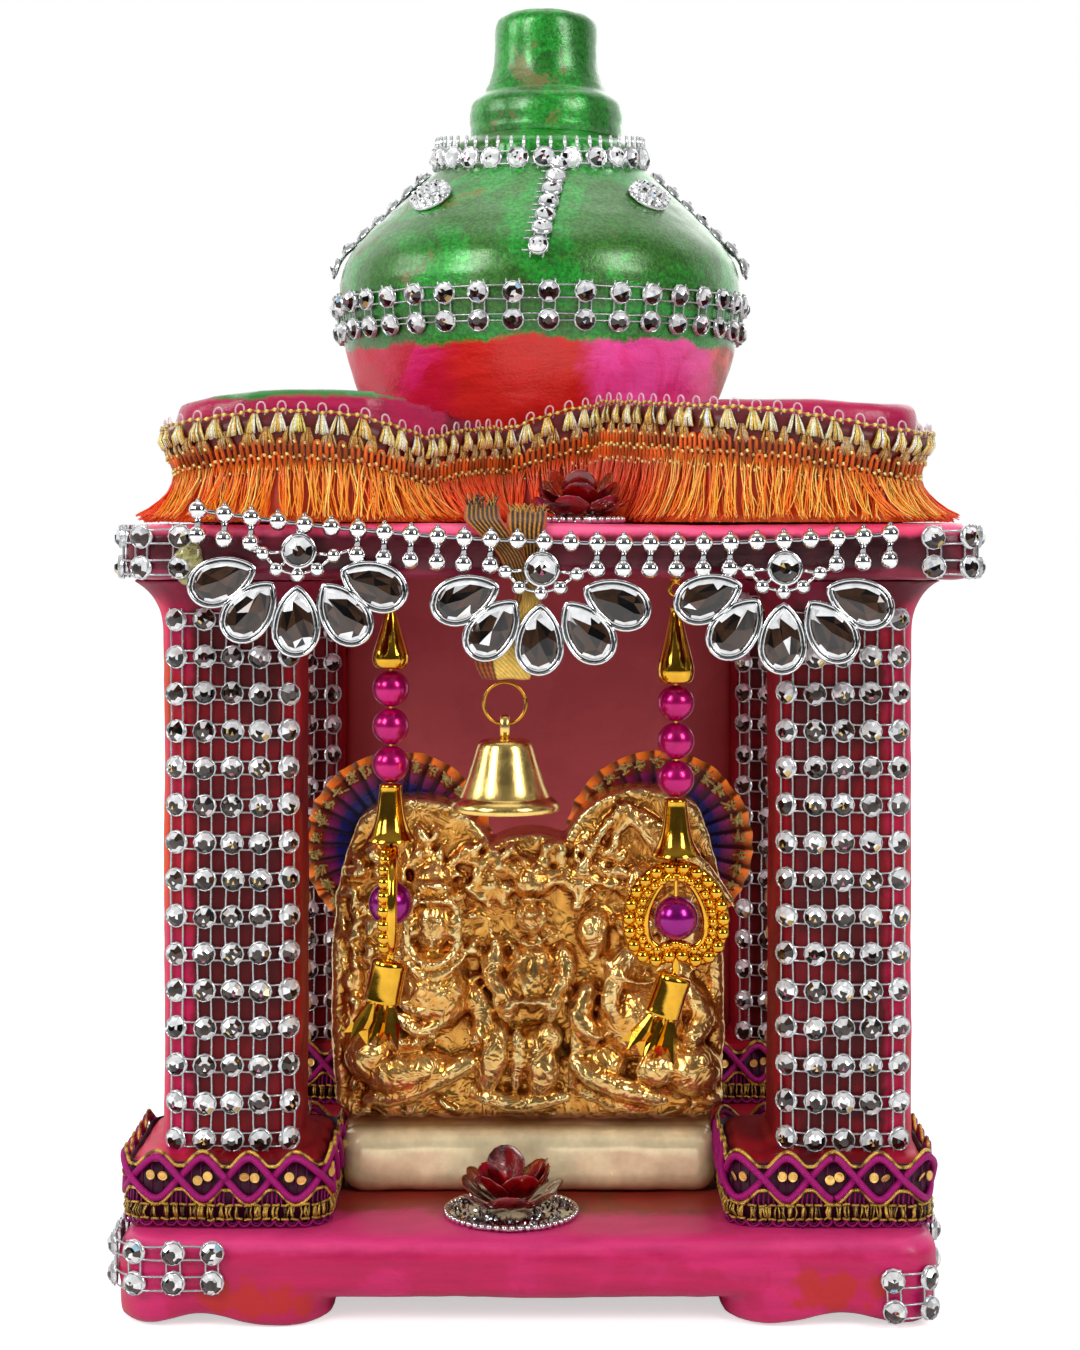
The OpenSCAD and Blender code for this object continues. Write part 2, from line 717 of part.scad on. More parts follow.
// The left heart hangs edge-on, a quarter turn from the right one.
module heart(side) {
    color("#D9B23C") at_hanging(side, heart_top(side)) rotate([0, 0, side > 0 ? 0 : 90])
        translate([0, heart_t / 2, 0]) rotate([90, 0, 0]) linear_extrude(heart_t) difference() {
            heart_shape(heart_w);
            translate([0, -inner_drop()]) heart_shape(heart_w * inner_share);
        }
}

module heart_pearl(side) {
    top = heart_top(side) - inner_drop() - 1.6;
    low = heart_top(side) - inner_drop() - heart_w * inner_share * 0.88;
    color("#C2186E") at_hanging(side) {
        translate([0, 0, (top + low) / 2 - 0.8]) sphere(heart_pearl_d / 2);
        translate([0, 0, low]) cylinder(h = top - low, r = thread_r);
    }
}

// A gold tube and flower tips, hanging a little askew.
module tassel(side) {
    lean = side > 0 ? 19 : 12;
    color("#D9B23C") at_hanging(side, heart_low(side) + 1.4) {
        translate([0, 0, -3.2]) cylinder(h = 3.2 - touch, r = 1.2);
        translate([0, 0, -2.8]) rotate([0, lean, 0]) {
            translate([0, 0, -tube_l]) cylinder(h = tube_l, r = tube_r);
            translate([0, 0, -tube_l - tip_l]) cylinder(h = tip_l, r1 = 5.2, r2 = 3);
        }
    }
}

// ---------- assembly ----------

base_slab();
base_feet();
post(-1, -1);  // post_front_left
post(1, -1);  // post_front_right
post(-1, 1);  // post_back_left
post(1, 1);  // post_back_right
back_wall();
cornice_slab();
canopy();
dome_pot();
dome_finial();
dome_band();
neck_band();
dome_strips();
dome_medallions();
canopy_fringe();
bead_trim();
fan(-1);  // fan_left
fan(0);  // fan_middle
fan(1);  // fan_right
cornice_mesh();
base_mesh();
post_mesh(-1, -1);  // post_mesh_front_left
post_mesh(1, -1);  // post_mesh_front_right
post_mesh(-1, 1);  // post_mesh_back_left
post_mesh(1, 1);  // post_mesh_back_right
lace(-1, -1);  // lace_front_left
lace(1, -1);  // lace_front_right
lace(-1, 1);  // lace_back_left
lace(1, 1);  // lace_back_right
figure_group();
halos();
roof_flower();
floor_flower();
ribbon();
bell_ring();
bell();
bell_clapper();
hanging_eyes();
string(-1);  // string_left
string(1);  // string_right
heart(-1);  // heart_left
heart(1);  // heart_right
heart_pearl(-1);  // heart_pearl_left
heart_pearl(1);  // heart_pearl_right
tassel(-1);  // tassel_left
tassel(1);  // tassel_right
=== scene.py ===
"""Household pooja mandir: a small painted clay shrine with its trim, bell and bead hangings.

Works in millimetres until a mesh is made. +Z is up and the front faces -Y.
"""

from math import asin, atan2, cos, degrees, pi, radians, sin, sqrt, tan

import bmesh
import bpy
import numpy as np
from bpy.props import FloatProperty, FloatVectorProperty, IntProperty, PointerProperty
from mathutils import Matrix, Vector, noise


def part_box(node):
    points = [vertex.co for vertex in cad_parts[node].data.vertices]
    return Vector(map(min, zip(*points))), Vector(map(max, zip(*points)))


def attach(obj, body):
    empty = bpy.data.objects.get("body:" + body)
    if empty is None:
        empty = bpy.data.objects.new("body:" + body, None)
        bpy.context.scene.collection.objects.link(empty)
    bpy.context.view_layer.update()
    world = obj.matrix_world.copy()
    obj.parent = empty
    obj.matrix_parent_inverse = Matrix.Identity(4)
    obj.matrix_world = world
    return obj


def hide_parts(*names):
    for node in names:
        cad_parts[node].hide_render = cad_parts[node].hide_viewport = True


bl_info = {
    "name": "Pooja mandir builder",
    "version": (1, 0, 0),
    "blender": (4, 5, 0),
    "location": "3D View > Sidebar > Shrine",
    "description": "Builds a painted clay household shrine with rhinestone, lace and bead trim",
    "category": "Add Mesh",
}

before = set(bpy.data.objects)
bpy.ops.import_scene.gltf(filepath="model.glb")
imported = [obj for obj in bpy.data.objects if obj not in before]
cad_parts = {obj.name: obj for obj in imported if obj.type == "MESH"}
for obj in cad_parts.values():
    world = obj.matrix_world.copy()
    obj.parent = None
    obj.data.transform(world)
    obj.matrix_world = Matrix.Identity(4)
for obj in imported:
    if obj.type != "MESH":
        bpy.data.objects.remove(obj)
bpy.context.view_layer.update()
MM = 0.001


def box(node):
    """Lowest and highest corner of a CAD node, in millimetres."""
    low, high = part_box(node)
    return np.array(low) / MM, np.array(high) / MM


def middle(node):
    """Middle of a CAD node's box, in millimetres."""
    low, high = box(node)
    return (low + high) / 2


FLOOR_Z = box("base_slab")[1][2]
CORNICE_Z, ROOF_Z = box("cornice_slab")[0][2], box("cornice_slab")[1][2]
CORNICE_FRONT = box("cornice_slab")[0][1]
NECK_Z = box("dome_pot")[1][2]
HOUSE_Y = middle("dome_pot")[1]


# ---------- small sums ----------

def smooth(x):
    """Soft step from 0 to 1."""
    t = np.clip(x, 0, 1)
    return t * t * (3 - 2 * t)


def unit(v):
    """Vectors scaled to length 1."""
    v = np.asarray(v, float)
    return v / np.maximum(np.linalg.norm(v, axis=-1, keepdims=True), 1e-12)


def srgb(r, g, b):
    """A linear colour from 0 to 255 screen values."""
    c = np.array([r, g, b]) / 255
    return tuple(float(x) for x in np.where(c <= 0.04045, c / 12.92, ((c + 0.055) / 1.055) ** 2.4))


def rgba(colour):
    """A colour with full alpha."""
    return (*colour[:3], 1.0)


def arc(cx, cy, r, a0, a1, n):
    """Points on an arc, angles in degrees."""
    a = np.radians(np.linspace(a0, a1, n + 1))
    return np.stack([cx + r * np.cos(a), cy + r * np.sin(a)], 1)


def run_of(points):
    """How far along a line each of its points lies."""
    return np.concatenate([[0], np.cumsum(np.linalg.norm(np.diff(points, axis=0), axis=1))])


def look_up(s, run, table):
    """Rows of a table at distances s."""
    return np.stack([np.interp(s, run, column) for column in table.T], 1)


def along_line(points, step):
    """A line of points respaced evenly."""
    points = np.asarray(points, float)
    run = run_of(points)
    return look_up(np.linspace(0, run[-1], max(2, int(run[-1] / step) + 1)), run, points)


def turns(n):
    """Angles of n even steps round."""
    return np.arange(n) * 2 * pi / n


def hoop(centre, reach, n):
    """Points round an upright oval; reach is how far it goes along X, Y and Z."""
    a = turns(n)
    return centre + np.stack([np.cos(a) * reach[0], np.cos(a) * reach[1], np.sin(a) * reach[2]], 1)


def net(rows, columns, loop=False):
    """Faces over rows of points, each row closed round on itself; loop joins the last row to the first."""
    i, j = np.meshgrid(np.arange(rows if loop else rows - 1), np.arange(columns), indexing="ij")
    i2, j2 = (i + 1) % rows, (j + 1) % columns
    corners = (i * columns + j, i * columns + j2, i2 * columns + j2, i2 * columns + j)
    return np.stack(corners, -1).reshape(-1, 4)


def frames(points, right, up, out):
    """Placing matrices from points and axes."""
    m = np.zeros((len(points), 4, 4))
    m[:, :3, 0], m[:, :3, 1], m[:, :3, 2], m[:, :3, 3] = right, up, out, points
    m[:, 3, 3] = 1
    return m


def wobble(x, y, z=0.0):
    """Smooth noise from -1 to 1."""
    return noise.noise(Vector((x, y, z)))


class Outline:
    """A line in plan with outward normals, looked up by the distance along it."""

    def __init__(self, points, way=1):
        p = np.asarray(points, float)
        self.run = run_of(p)
        self.length = self.run[-1]
        t = unit(np.gradient(p, axis=0))
        self.table = np.concatenate([p, np.stack([-t[:, 1], t[:, 0]], 1) * way], 1)

    def at(self, s):
        """Plan points and outward normals at distances s."""
        v = look_up(s, self.run, self.table)
        return v[:, :2], unit(v[:, 2:])


def even(loop, count):
    """Points of a closed loop, even in distance."""
    loop = np.concatenate([loop, loop[:1]])
    run = run_of(loop)
    return look_up(np.arange(count) * run[-1] / count, run, loop)


def grown(loop, amount):
    """A closed loop in a plane moved outwards; the loop runs clockwise."""
    t = unit(np.roll(loop, -1, 0) - np.roll(loop, 1, 0))
    return loop + np.stack([-t[:, 1], t[:, 0]], 1) * amount


def spheres(spots, radii):
    """Placing matrices for round or oval beads."""
    radii = np.broadcast_to(np.asarray(radii, float), (len(spots), 3))
    m = np.zeros((len(spots), 4, 4))
    for k in range(3):
        m[:, k, k] = radii[:, k]
    m[:, :3, 3], m[:, 3, 3] = spots, 1
    return m


def bead(segments=12, rings=8):
    """A ball of unit radius in millimetres, to be copied."""
    deselect()
    bpy.ops.mesh.primitive_uv_sphere_add(segments=segments, ring_count=rings, radius=MM)
    ball = fresh("bead")
    shade_smooth(ball)
    return Shape(ball)


def round_rect(cx, cy, w, d, r, steps=10):
    """Rounded rectangle, clockwise from above, starting at the middle of its front."""
    x, y = w / 2 - r, d / 2 - r
    corners = [(-x, -y, 270, 180), (-x, y, 180, 90), (x, y, 90, 0), (x, -y, 360, 270)]
    points = [[(0, -d / 2)]] + [arc(a, b, r, s, e, steps) for a, b, s, e in corners] + [[(0, -d / 2)]]
    return along_line(np.concatenate(points) + (cx, cy), 0.8)


# ---------- meshes ----------

def deselect():
    """Leaves edit mode and selects nothing."""
    active = bpy.context.view_layer.objects.active
    if active is not None and active.mode != "OBJECT":
        bpy.ops.object.mode_set(mode="OBJECT")
    bpy.ops.object.select_all(action="DESELECT")


def select_only(obj):
    """Makes one object the only selected and active one."""
    deselect()
    obj.select_set(True)
    bpy.context.view_layer.objects.active = obj


def apply_modifiers(obj):
    """Applies what is on the stack, top first."""
    select_only(obj)
    for name in [m.name for m in obj.modifiers]:
        bpy.ops.object.modifier_apply(modifier=name)


def edit(obj, steps, pick=None, kind="EDGE"):
    """Runs edit-mode steps on what pick chooses, or on everything."""
    select_only(obj)
    bpy.ops.object.mode_set(mode="EDIT")
    bpy.ops.mesh.select_mode(type=kind)
    bpy.ops.mesh.select_all(action="SELECT" if pick is None else "DESELECT")
    if pick is not None:
        bm = bmesh.from_edit_mesh(obj.data)
        for part in {"VERT": bm.verts, "EDGE": bm.edges, "FACE": bm.faces}[kind]:
            if pick(part):
                part.select_set(True)
        bm.select_flush_mode()
        bmesh.update_edit_mesh(obj.data)
    steps()
    bpy.ops.object.mode_set(mode="OBJECT")


def fresh(name):
    """Names the primitive just added and puts its place into its mesh."""
    obj = bpy.context.object
    obj.name = obj.data.name = name
    select_only(obj)
    bpy.ops.object.transform_apply(location=True, rotation=True, scale=True)
    return obj


def in_scene(name, mesh):
    """A new object in the scene that holds a mesh."""
    obj = bpy.data.objects.new(name, mesh)
    bpy.context.scene.collection.objects.link(obj)
    return obj


def outward(obj):
    """Turns every face outwards."""
    edit(obj, lambda: bpy.ops.mesh.normals_make_consistent(inside=False), kind="VERT")
    return obj


def refine(obj):
    """Rounds a coarse mesh with one applied subdivision."""
    sub = obj.modifiers.new("fine", "SUBSURF")
    sub.levels = sub.render_levels = 1
    apply_modifiers(obj)


def level_edge(e):
    """True for an edge that lies level."""
    return abs(e.verts[0].co.z - e.verts[1].co.z) < 1e-6


def slab(name, low, high, plan_r, edge_r):
    """A block with round corners and soft edges."""
    low, high = Vector(low) * MM, Vector(high) * MM
    deselect()
    bpy.ops.mesh.primitive_cube_add(size=1, location=(low + high) / 2, scale=high - low)
    obj = fresh(name)
    bevel = bpy.ops.mesh.bevel
    edit(obj, lambda: bevel(offset=plan_r * MM, segments=8, affect="EDGES"), lambda e: not level_edge(e))
    edit(obj, lambda: bevel(offset=edge_r * MM, segments=4, affect="EDGES"), lambda e: level_edge(e)
         and abs(e.link_faces[0].normal.z - e.link_faces[1].normal.z) > 0.5)
    return obj


def skin(name, rows):
    """A grid whose points are set to rows of places, each row closed round, with both ends shut."""
    rows = np.asarray(rows, float)
    rows = np.concatenate([rows, rows[:, :1]], 1)
    m, n = rows.shape[:2]
    deselect()
    bpy.ops.mesh.primitive_grid_add(x_subdivisions=n - 1, y_subdivisions=m - 1, size=2)
    obj = fresh(name)
    i, j = np.rint((points_of(obj)[:, :2] * MM + 1) / 2 * (n - 1, m - 1)).astype(int).T
    set_points(obj, rows[j, i])

    def close():
        bpy.ops.mesh.remove_doubles(threshold=1e-6)
        bpy.ops.mesh.fill_holes(sides=0)
        bpy.ops.mesh.select_all(action="SELECT")
        bpy.ops.mesh.normals_make_consistent(inside=False)

    edit(obj, close, kind="VERT")
    return obj


def spun(name, profile, centre, steps):
    """A profile of (radius, height) points spun round an upright axis."""
    deselect()
    mesh = bpy.data.meshes.new(name)
    points = [((centre[0] + max(r, 0)) * MM, centre[1] * MM, z * MM) for r, z in profile]
    mesh.from_pydata(points, [(i, i + 1) for i in range(len(points) - 1)], [])
    obj = in_scene(name, mesh)

    def turn_round():
        bpy.ops.mesh.spin(steps=steps, angle=radians(360), axis=(0, 0, 1),
                          center=(centre[0] * MM, centre[1] * MM, 0))
        bpy.ops.mesh.select_all(action="SELECT")
        bpy.ops.mesh.remove_doubles(threshold=1e-6)
        bpy.ops.mesh.normals_make_consistent(inside=False)

    edit(obj, turn_round)
    return obj


def join(name, *parts):
    """Joins objects into one."""
    deselect()
    for part in parts:
        part.select_set(True)
    bpy.context.view_layer.objects.active = parts[0]
    bpy.ops.object.join()
    parts[0].name = parts[0].data.name = name
    return parts[0]


def melt(obj, voxel, soften):
    """Welds overlapping shapes into one skin and softens it."""
    m = obj.modifiers.new("weld", "REMESH")
    m.mode, m.voxel_size, m.use_smooth_shade = "VOXEL", voxel * MM, True
    settle(obj, soften)


def settle(obj, rounds):
    """Softens a mesh's creases."""
    m = obj.modifiers.new("soften", "SMOOTH")
    m.factor, m.iterations = 0.5, rounds
    apply_modifiers(obj)


def points_of(obj):
    """An object's vertex places in millimetres."""
    co = np.zeros(len(obj.data.vertices) * 3)
    obj.data.vertices.foreach_get("co", co)
    return co.reshape(-1, 3) / MM


def set_points(obj, co):
    """Sets vertex places from millimetres."""
    obj.data.vertices.foreach_set("co", (np.asarray(co) * MM).ravel())
    obj.data.update()


def normals_of(obj):
    """An object's vertex normals."""
    n = np.zeros(len(obj.data.vertices) * 3)
    obj.data.vertex_normals.foreach_get("vector", n)
    return n.reshape(-1, 3)


def shifted(obj, x, y):
    """Moves a piece's mesh sideways."""
    set_points(obj, points_of(obj) + (x, y, 0))


def hand_shape(obj, amount, size, seed, fine, fine_size):
    """Swells and dents a skin as hand-shaped clay does."""
    co = points_of(obj)
    away = Vector((seed, 2 * seed, 3 * seed))
    move = np.array([amount * noise.noise(Vector(p) / size + away)
                     + fine * noise.noise(Vector(p) / fine_size - away) for p in co])
    set_points(obj, co + normals_of(obj) * move[:, None])


def shade_smooth(obj, angle=None):
    """Smooth shading, all over or up to an angle."""
    select_only(obj)
    if angle is None:
        bpy.ops.object.shade_smooth()
    else:
        bpy.ops.object.shade_smooth_by_angle(angle=radians(angle))


def store_tints(mesh, tints, where):
    """Stores a colour for each point or each face corner of a mesh."""
    colours = mesh.color_attributes.new("tint", "FLOAT_COLOR", where)
    colours.data.foreach_set("color", np.concatenate([tints, np.ones((len(tints), 1))], 1)
                             .astype(np.float32).ravel())


class Shape:
    """A small modelled shape, kept as arrays so that copies can be placed."""

    def __init__(self, obj):
        mesh = obj.data
        self.co = points_of(obj)
        self.loops = np.zeros(len(mesh.loops), int)
        mesh.loops.foreach_get("vertex_index", self.loops)
        self.sizes = np.array([p.loop_total for p in mesh.polygons])
        self.slot = np.array([p.material_index for p in mesh.polygons])
        self.smooth = np.array([p.use_smooth for p in mesh.polygons])
        self.tint = np.ones((len(self.loops), 3))
        bpy.data.objects.remove(obj)

    def recoloured(self, tints):
        """A copy with other face colours."""
        copy = object.__new__(Shape)
        copy.__dict__.update(self.__dict__)
        copy.tint = np.repeat(np.asarray(tints, float), self.sizes, 0)
        return copy


class Heap:
    """Gathers copies of small shapes and tubes, and makes one mesh of them."""

    def __init__(self):
        self.parts, self.count = [], 0

    def put(self, co, loops, sizes, tint, slot, flags, uv):
        """Adds raw arrays."""
        self.parts.append((co, loops + self.count, sizes, tint, slot, flags, uv))
        self.count += len(co)

    def stamp(self, shape, places, tint=None):
        """Adds a copy of a shape at each placing matrix, each times its own tint."""
        places = np.asarray(places, float).reshape(-1, 4, 4)
        n, v = len(places), len(shape.co)
        co = np.einsum("nij,vj->nvi", places[:, :3, :3], shape.co) + places[:, None, :3, 3]
        loops = (shape.loops[None] + np.arange(n)[:, None] * v).ravel()
        tints = np.tile(shape.tint, (n, 1, 1))
        if tint is not None:
            tints = tints * np.asarray(tint, float).reshape(-1, 1, 3)
        self.put(co.reshape(-1, 3), loops, np.tile(shape.sizes, n), tints.reshape(-1, 3),
                 np.tile(shape.slot, n), np.tile(shape.smooth, n), np.zeros((len(loops), 2)))

    def faces(self, co, faces, tint, slot=0, flat=False, uv=None):
        """Adds faces with equal numbers of corners; tint is one colour, or one for each point."""
        faces = np.asarray(faces, int)
        corners = faces.ravel()
        tint = np.asarray(tint, float)
        tint = np.tile(tint, (len(corners), 1)) if tint.ndim == 1 else tint[corners]
        uv = np.zeros((len(corners), 2)) if uv is None else np.asarray(uv, float)[corners]
        self.put(np.asarray(co, float), corners, np.full(len(faces), faces.shape[1]), tint,
                 np.full(len(faces), slot), np.full(len(faces), not flat), uv)

    def tube(self, path, radius, sides, tint=(1, 1, 1), closed=False, flat=1.0, face=None):
        """Adds a round or flattened tube along a path; face turns its flat side."""
        path = np.asarray(path, float)
        n = len(path)
        t = unit(np.roll(path, -1, 0) - np.roll(path, 1, 0) if closed else np.gradient(path, axis=0))
        side = np.zeros((n, 3))
        ref = np.array((0.0, 0.0, 1.0) if abs(t[0][2]) < 0.9 else (1.0, 0.0, 0.0))
        for i in range(n):
            ref = ref - t[i] * (ref @ t[i])
            ref = ref / max(np.linalg.norm(ref), 1e-9)
            side[i] = ref
        if face is not None:
            side = unit(np.asarray(face, float) - t * np.sum(np.asarray(face) * t, 1, keepdims=True))
        other = np.cross(t, side)
        a = turns(sides)
        r = np.broadcast_to(np.asarray(radius, float), (n,))[:, None, None]
        ring = side[:, None] * np.cos(a)[None, :, None] * flat + other[:, None] * np.sin(a)[None, :, None]
        co = (path[:, None] + r * ring).reshape(-1, 3)
        uv = np.stack([np.tile(np.arange(sides) / sides, n), np.repeat(run_of(path), sides)], 1)
        tint = np.asarray(tint, float)
        if tint.ndim == 2:
            tint = np.repeat(tint, sides, 0)
        self.faces(co, net(n, sides, closed), tint, uv=uv)
        if not closed:
            ends = np.concatenate([np.arange(sides)[::-1], (n - 1) * sides + np.arange(sides)])
            tip = tint if tint.ndim == 1 else tint[0]
            self.parts.append((np.zeros((0, 3)), ends + self.count - len(co), np.full(2, sides),
                               np.tile(tip, (2 * sides, 1)), np.zeros(2, int), np.zeros(2, bool), uv[ends]))

    def build(self, name, *materials):
        """Makes the mesh object."""
        co, loops, sizes, tint, slot, flags, uv = (np.concatenate(x) for x in zip(*self.parts))
        mesh = bpy.data.meshes.new(name)
        mesh.vertices.add(len(co))
        mesh.vertices.foreach_set("co", (co * MM).astype(np.float32).ravel())
        mesh.loops.add(len(loops))
        mesh.loops.foreach_set("vertex_index", loops.astype(np.int32))
        mesh.polygons.add(len(sizes))
        mesh.polygons.foreach_set("loop_start", (np.cumsum(sizes) - sizes).astype(np.int32))
        mesh.polygons.foreach_set("material_index", slot.astype(np.int32))
        mesh.polygons.foreach_set("use_smooth", flags.astype(bool))
        mesh.update(calc_edges=True)
        store_tints(mesh, tint, "CORNER")
        mesh.uv_layers.new(name="thread").data.foreach_set("uv", uv.astype(np.float32).ravel())
        for material in materials:
            mesh.materials.append(material)
        return in_scene(name, mesh)


def finished(obj, body, slot, *nodes, material=None):
    """Gives a finished piece its material and body, and hides the CAD nodes that it stands for; slot is not
    used.
    """
    if material is not None:
        obj.data.materials.clear()
        obj.data.materials.append(material)
    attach(obj, body)
    if nodes:
        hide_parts(*nodes)
    return obj


# ---------- material tools ----------

def feed(tree, node, ins):
    """Sets or links a node's inputs and returns its outputs."""
    for key, value in (ins or {}).items():
        if isinstance(value, bpy.types.NodeSocket):
            tree.links.new(value, node.inputs[key])
        else:
            node.inputs[key].default_value = value
    return node.outputs


def add(tree, kind, ins=None, out=0, **props):
    """Adds a node, sets or links its inputs and returns one output."""
    node = tree.nodes.new("ShaderNode" + kind)
    for key, value in props.items():
        setattr(node, key, value)
    return feed(tree, node, ins)[out]


def blend(tree, share, a, b, mode="MIX"):
    """Mixes two colours."""
    return add(tree, "Mix", {0: share, 6: a, 7: b}, 2, data_type="RGBA", blend_type=mode)


def calc(tree, operation, a, b=0.5, clamp=False):
    """One sum."""
    return add(tree, "Math", {0: a, 1: b}, operation=operation, use_clamp=clamp)


def times(tree, a, b):
    """Product of two values."""
    return calc(tree, "MULTIPLY", a, b)


def plus(tree, a, b, clamp=False):
    """Sum of two values."""
    return calc(tree, "ADD", a, b, clamp)


def minus(tree, a, b, clamp=False):
    """Difference of two values."""
    return calc(tree, "SUBTRACT", a, b, clamp)


def xyz(tree):
    """The object coordinates, each by its letter."""
    return add(tree, "SeparateXYZ", {0: add(tree, "TexCoord", out="Object")}).node.outputs


def ramp(tree, value, low, high, to_low=0.0, to_high=1.0):
    """Soft step of a value between two levels."""
    return add(tree, "MapRange", {"Value": value, "From Min": low, "From Max": high, "To Min": to_low,
                                  "To Max": to_high}, interpolation_type="SMOOTHSTEP")


def grain(tree, scale, detail, rough=0.55, vector=None, distortion=0.0):
    """Noise on object coordinates."""
    if vector is None:
        vector = add(tree, "TexCoord", out="Object")
    return add(tree, "TexNoise", {"Vector": vector, "Scale": scale, "Detail": detail,
                                  "Roughness": rough, "Distortion": distortion})


def group(name, ins, outs, build):
    """A shader node group, built once."""
    tree = bpy.data.node_groups.get(name)
    if tree is not None:
        return tree
    tree = bpy.data.node_groups.new(name, "ShaderNodeTree")
    kinds = {"c": "NodeSocketColor", "f": "NodeSocketFloat", "v": "NodeSocketVector"}
    for label, kind, value in ins:
        tree.interface.new_socket(label, in_out="INPUT", socket_type=kinds[kind]).default_value = value
    for label, kind in outs:
        tree.interface.new_socket(label, in_out="OUTPUT", socket_type=kinds[kind])
    entry, leave = tree.nodes.new("NodeGroupInput"), tree.nodes.new("NodeGroupOutput")
    for label, socket in build(tree, entry.outputs).items():
        tree.links.new(socket, leave.inputs[label])
    return tree


def use(tree, inner, values):
    """Places a group and returns its outputs."""
    node = tree.nodes.new("ShaderNodeGroup")
    node.node_tree = inner
    return feed(tree, node, values)


def shader_of(mat):
    """A finished material's tree, its shader and what feeds the shader's colour."""
    bsdf = mat.node_tree.nodes["Principled BSDF"]
    return mat.node_tree, bsdf, bsdf.inputs["Base Color"].links[0].from_socket


def material(name, **fixed):
    """A material with set shader values; returns it, its tree and its shader."""
    mat = bpy.data.materials.new(name)
    mat.use_nodes = True
    bsdf = mat.node_tree.nodes["Principled BSDF"]
    for key, value in fixed.items():
        bsdf.inputs[key.replace("_", " ").title().replace("Ior", "IOR")].default_value = value
    return mat, mat.node_tree, bsdf


def bump(tree, bsdf, height, strength, distance):
    """Bump from a height, distance in millimetres."""
    normal = add(tree, "Bump", {"Strength": strength, "Distance": distance * MM, "Height": height})
    tree.links.new(normal, bsdf.inputs["Normal"])


def brushed_paint():
    """Group: two brushed paints over bare clay, with strokes and chips."""
    def build(t, i):
        patches = ramp(t, grain(t, 30, 5, 0.6, distortion=0.8), minus(t, i["Second level"], 0.05),
                       plus(t, i["Second level"], 0.05))
        where = add(t, "Mapping", {"Vector": add(t, "TexCoord", out="Object"), "Scale": i["Brush"]})
        strokes = grain(t, 420, 4, 0.6, where)
        mottle = grain(t, 1500, 2)
        shade = ramp(t, strokes, 0.25, 0.75, minus(t, 1.0, i["Streak"]), plus(t, 1.0, i["Streak"]))
        chips = ramp(t, grain(t, 120, 6, 0.72), i["Chip level"], plus(t, i["Chip level"], 0.03))
        specks = ramp(t, add(t, "TexVoronoi", {"Scale": 170.0}), 0.1, 0.05)
        chips = calc(t, "MAXIMUM", chips, times(t, specks, i["Specks"]))
        colour = blend(t, patches, i["Paint"], i["Second"])
        colour = blend(t, 1.0, colour, shade, "MULTIPLY")
        colour = blend(t, chips, colour, i["Bare clay"])
        rough = plus(t, i["Roughness"], times(t, minus(t, strokes, 0.5), 0.35))
        rough = plus(t, rough, times(t, chips, 0.3), True)
        height = plus(t, times(t, strokes, 0.5), times(t, mottle, 0.25))
        height = minus(t, height, times(t, chips, 0.7))
        return {"Color": colour, "Roughness": rough, "Height": height}

    return group("Brushed paint", [
        ("Paint", "c", rgba(srgb(185, 23, 86))), ("Second", "c", rgba(srgb(160, 20, 40))),
        ("Bare clay", "c", rgba(srgb(160, 90, 55))), ("Second level", "f", 0.55),
        ("Brush", "v", (1, 1, 0.12)),
        ("Streak", "f", 0.15), ("Chip level", "f", 0.74), ("Specks", "f", 0.6), ("Roughness", "f", 0.4)],
        [("Color", "c"), ("Roughness", "f"), ("Height", "f")], build)


def ragged_edge():
    """Group: a mask that turns on where a value passes a level, with a ragged edge."""
    def build(t, i):
        shake = plus(t, minus(t, grain(t, 60, 5, 0.65), 0.5),
                     times(t, minus(t, grain(t, 500, 3), 0.5), 0.35))
        value = plus(t, i["Value"], times(t, shake, i["Ragged"]))
        return {"Mask": ramp(t, value, minus(t, i["Level"], i["Soft"]),
                             plus(t, i["Level"], i["Soft"]))}

    return group("Ragged edge", [("Value", "f", 0.0), ("Level", "f", 0.0), ("Soft", "f", 0.001),
                                 ("Ragged", "f", 0.01)], [("Mask", "f")], build)


def handling():
    """Group: cloudy roughness and fine scuffs."""
    def build(t, i):
        cloud = minus(t, grain(t, i["Scale"], 4, 0.6), 0.5)
        fine = grain(t, times(t, i["Scale"], 7.0), 3)
        rough = plus(t, i["Roughness"], times(t, cloud, i["Amount"]), True)
        return {"Roughness": rough, "Height": fine, "Shade": ramp(t, cloud, -0.25, 0.25, 0.82, 1.1)}

    return group("Handling", [("Roughness", "f", 0.2), ("Amount", "f", 0.3), ("Scale", "f", 300.0)],
                 [("Roughness", "f"), ("Height", "f"), ("Shade", "f")], build)


def twisted_thread():
    """Group: the slanting ridges of a twisted thread, along its own lengthwise coordinates."""
    def build(t, i):
        uv = add(t, "SeparateXYZ", {0: add(t, "UVMap", uv_map="thread")})
        around, run = uv, uv.node.outputs[1]
        turn = plus(t, around, calc(t, "DIVIDE", run, i["Pitch"]))
        wave = calc(t, "SINE", times(t, turn, 2 * pi * 2))
        height = times(t, plus(t, wave, 1.0), 0.5)
        return {"Height": height, "Shade": ramp(t, height, 0.0, 1.0, minus(t, 1.0, i["Depth"]), 1.08)}

    return group("Twisted thread", [("Pitch", "f", 2.0), ("Depth", "f", 0.35)],
                 [("Height", "f"), ("Shade", "f")], build)


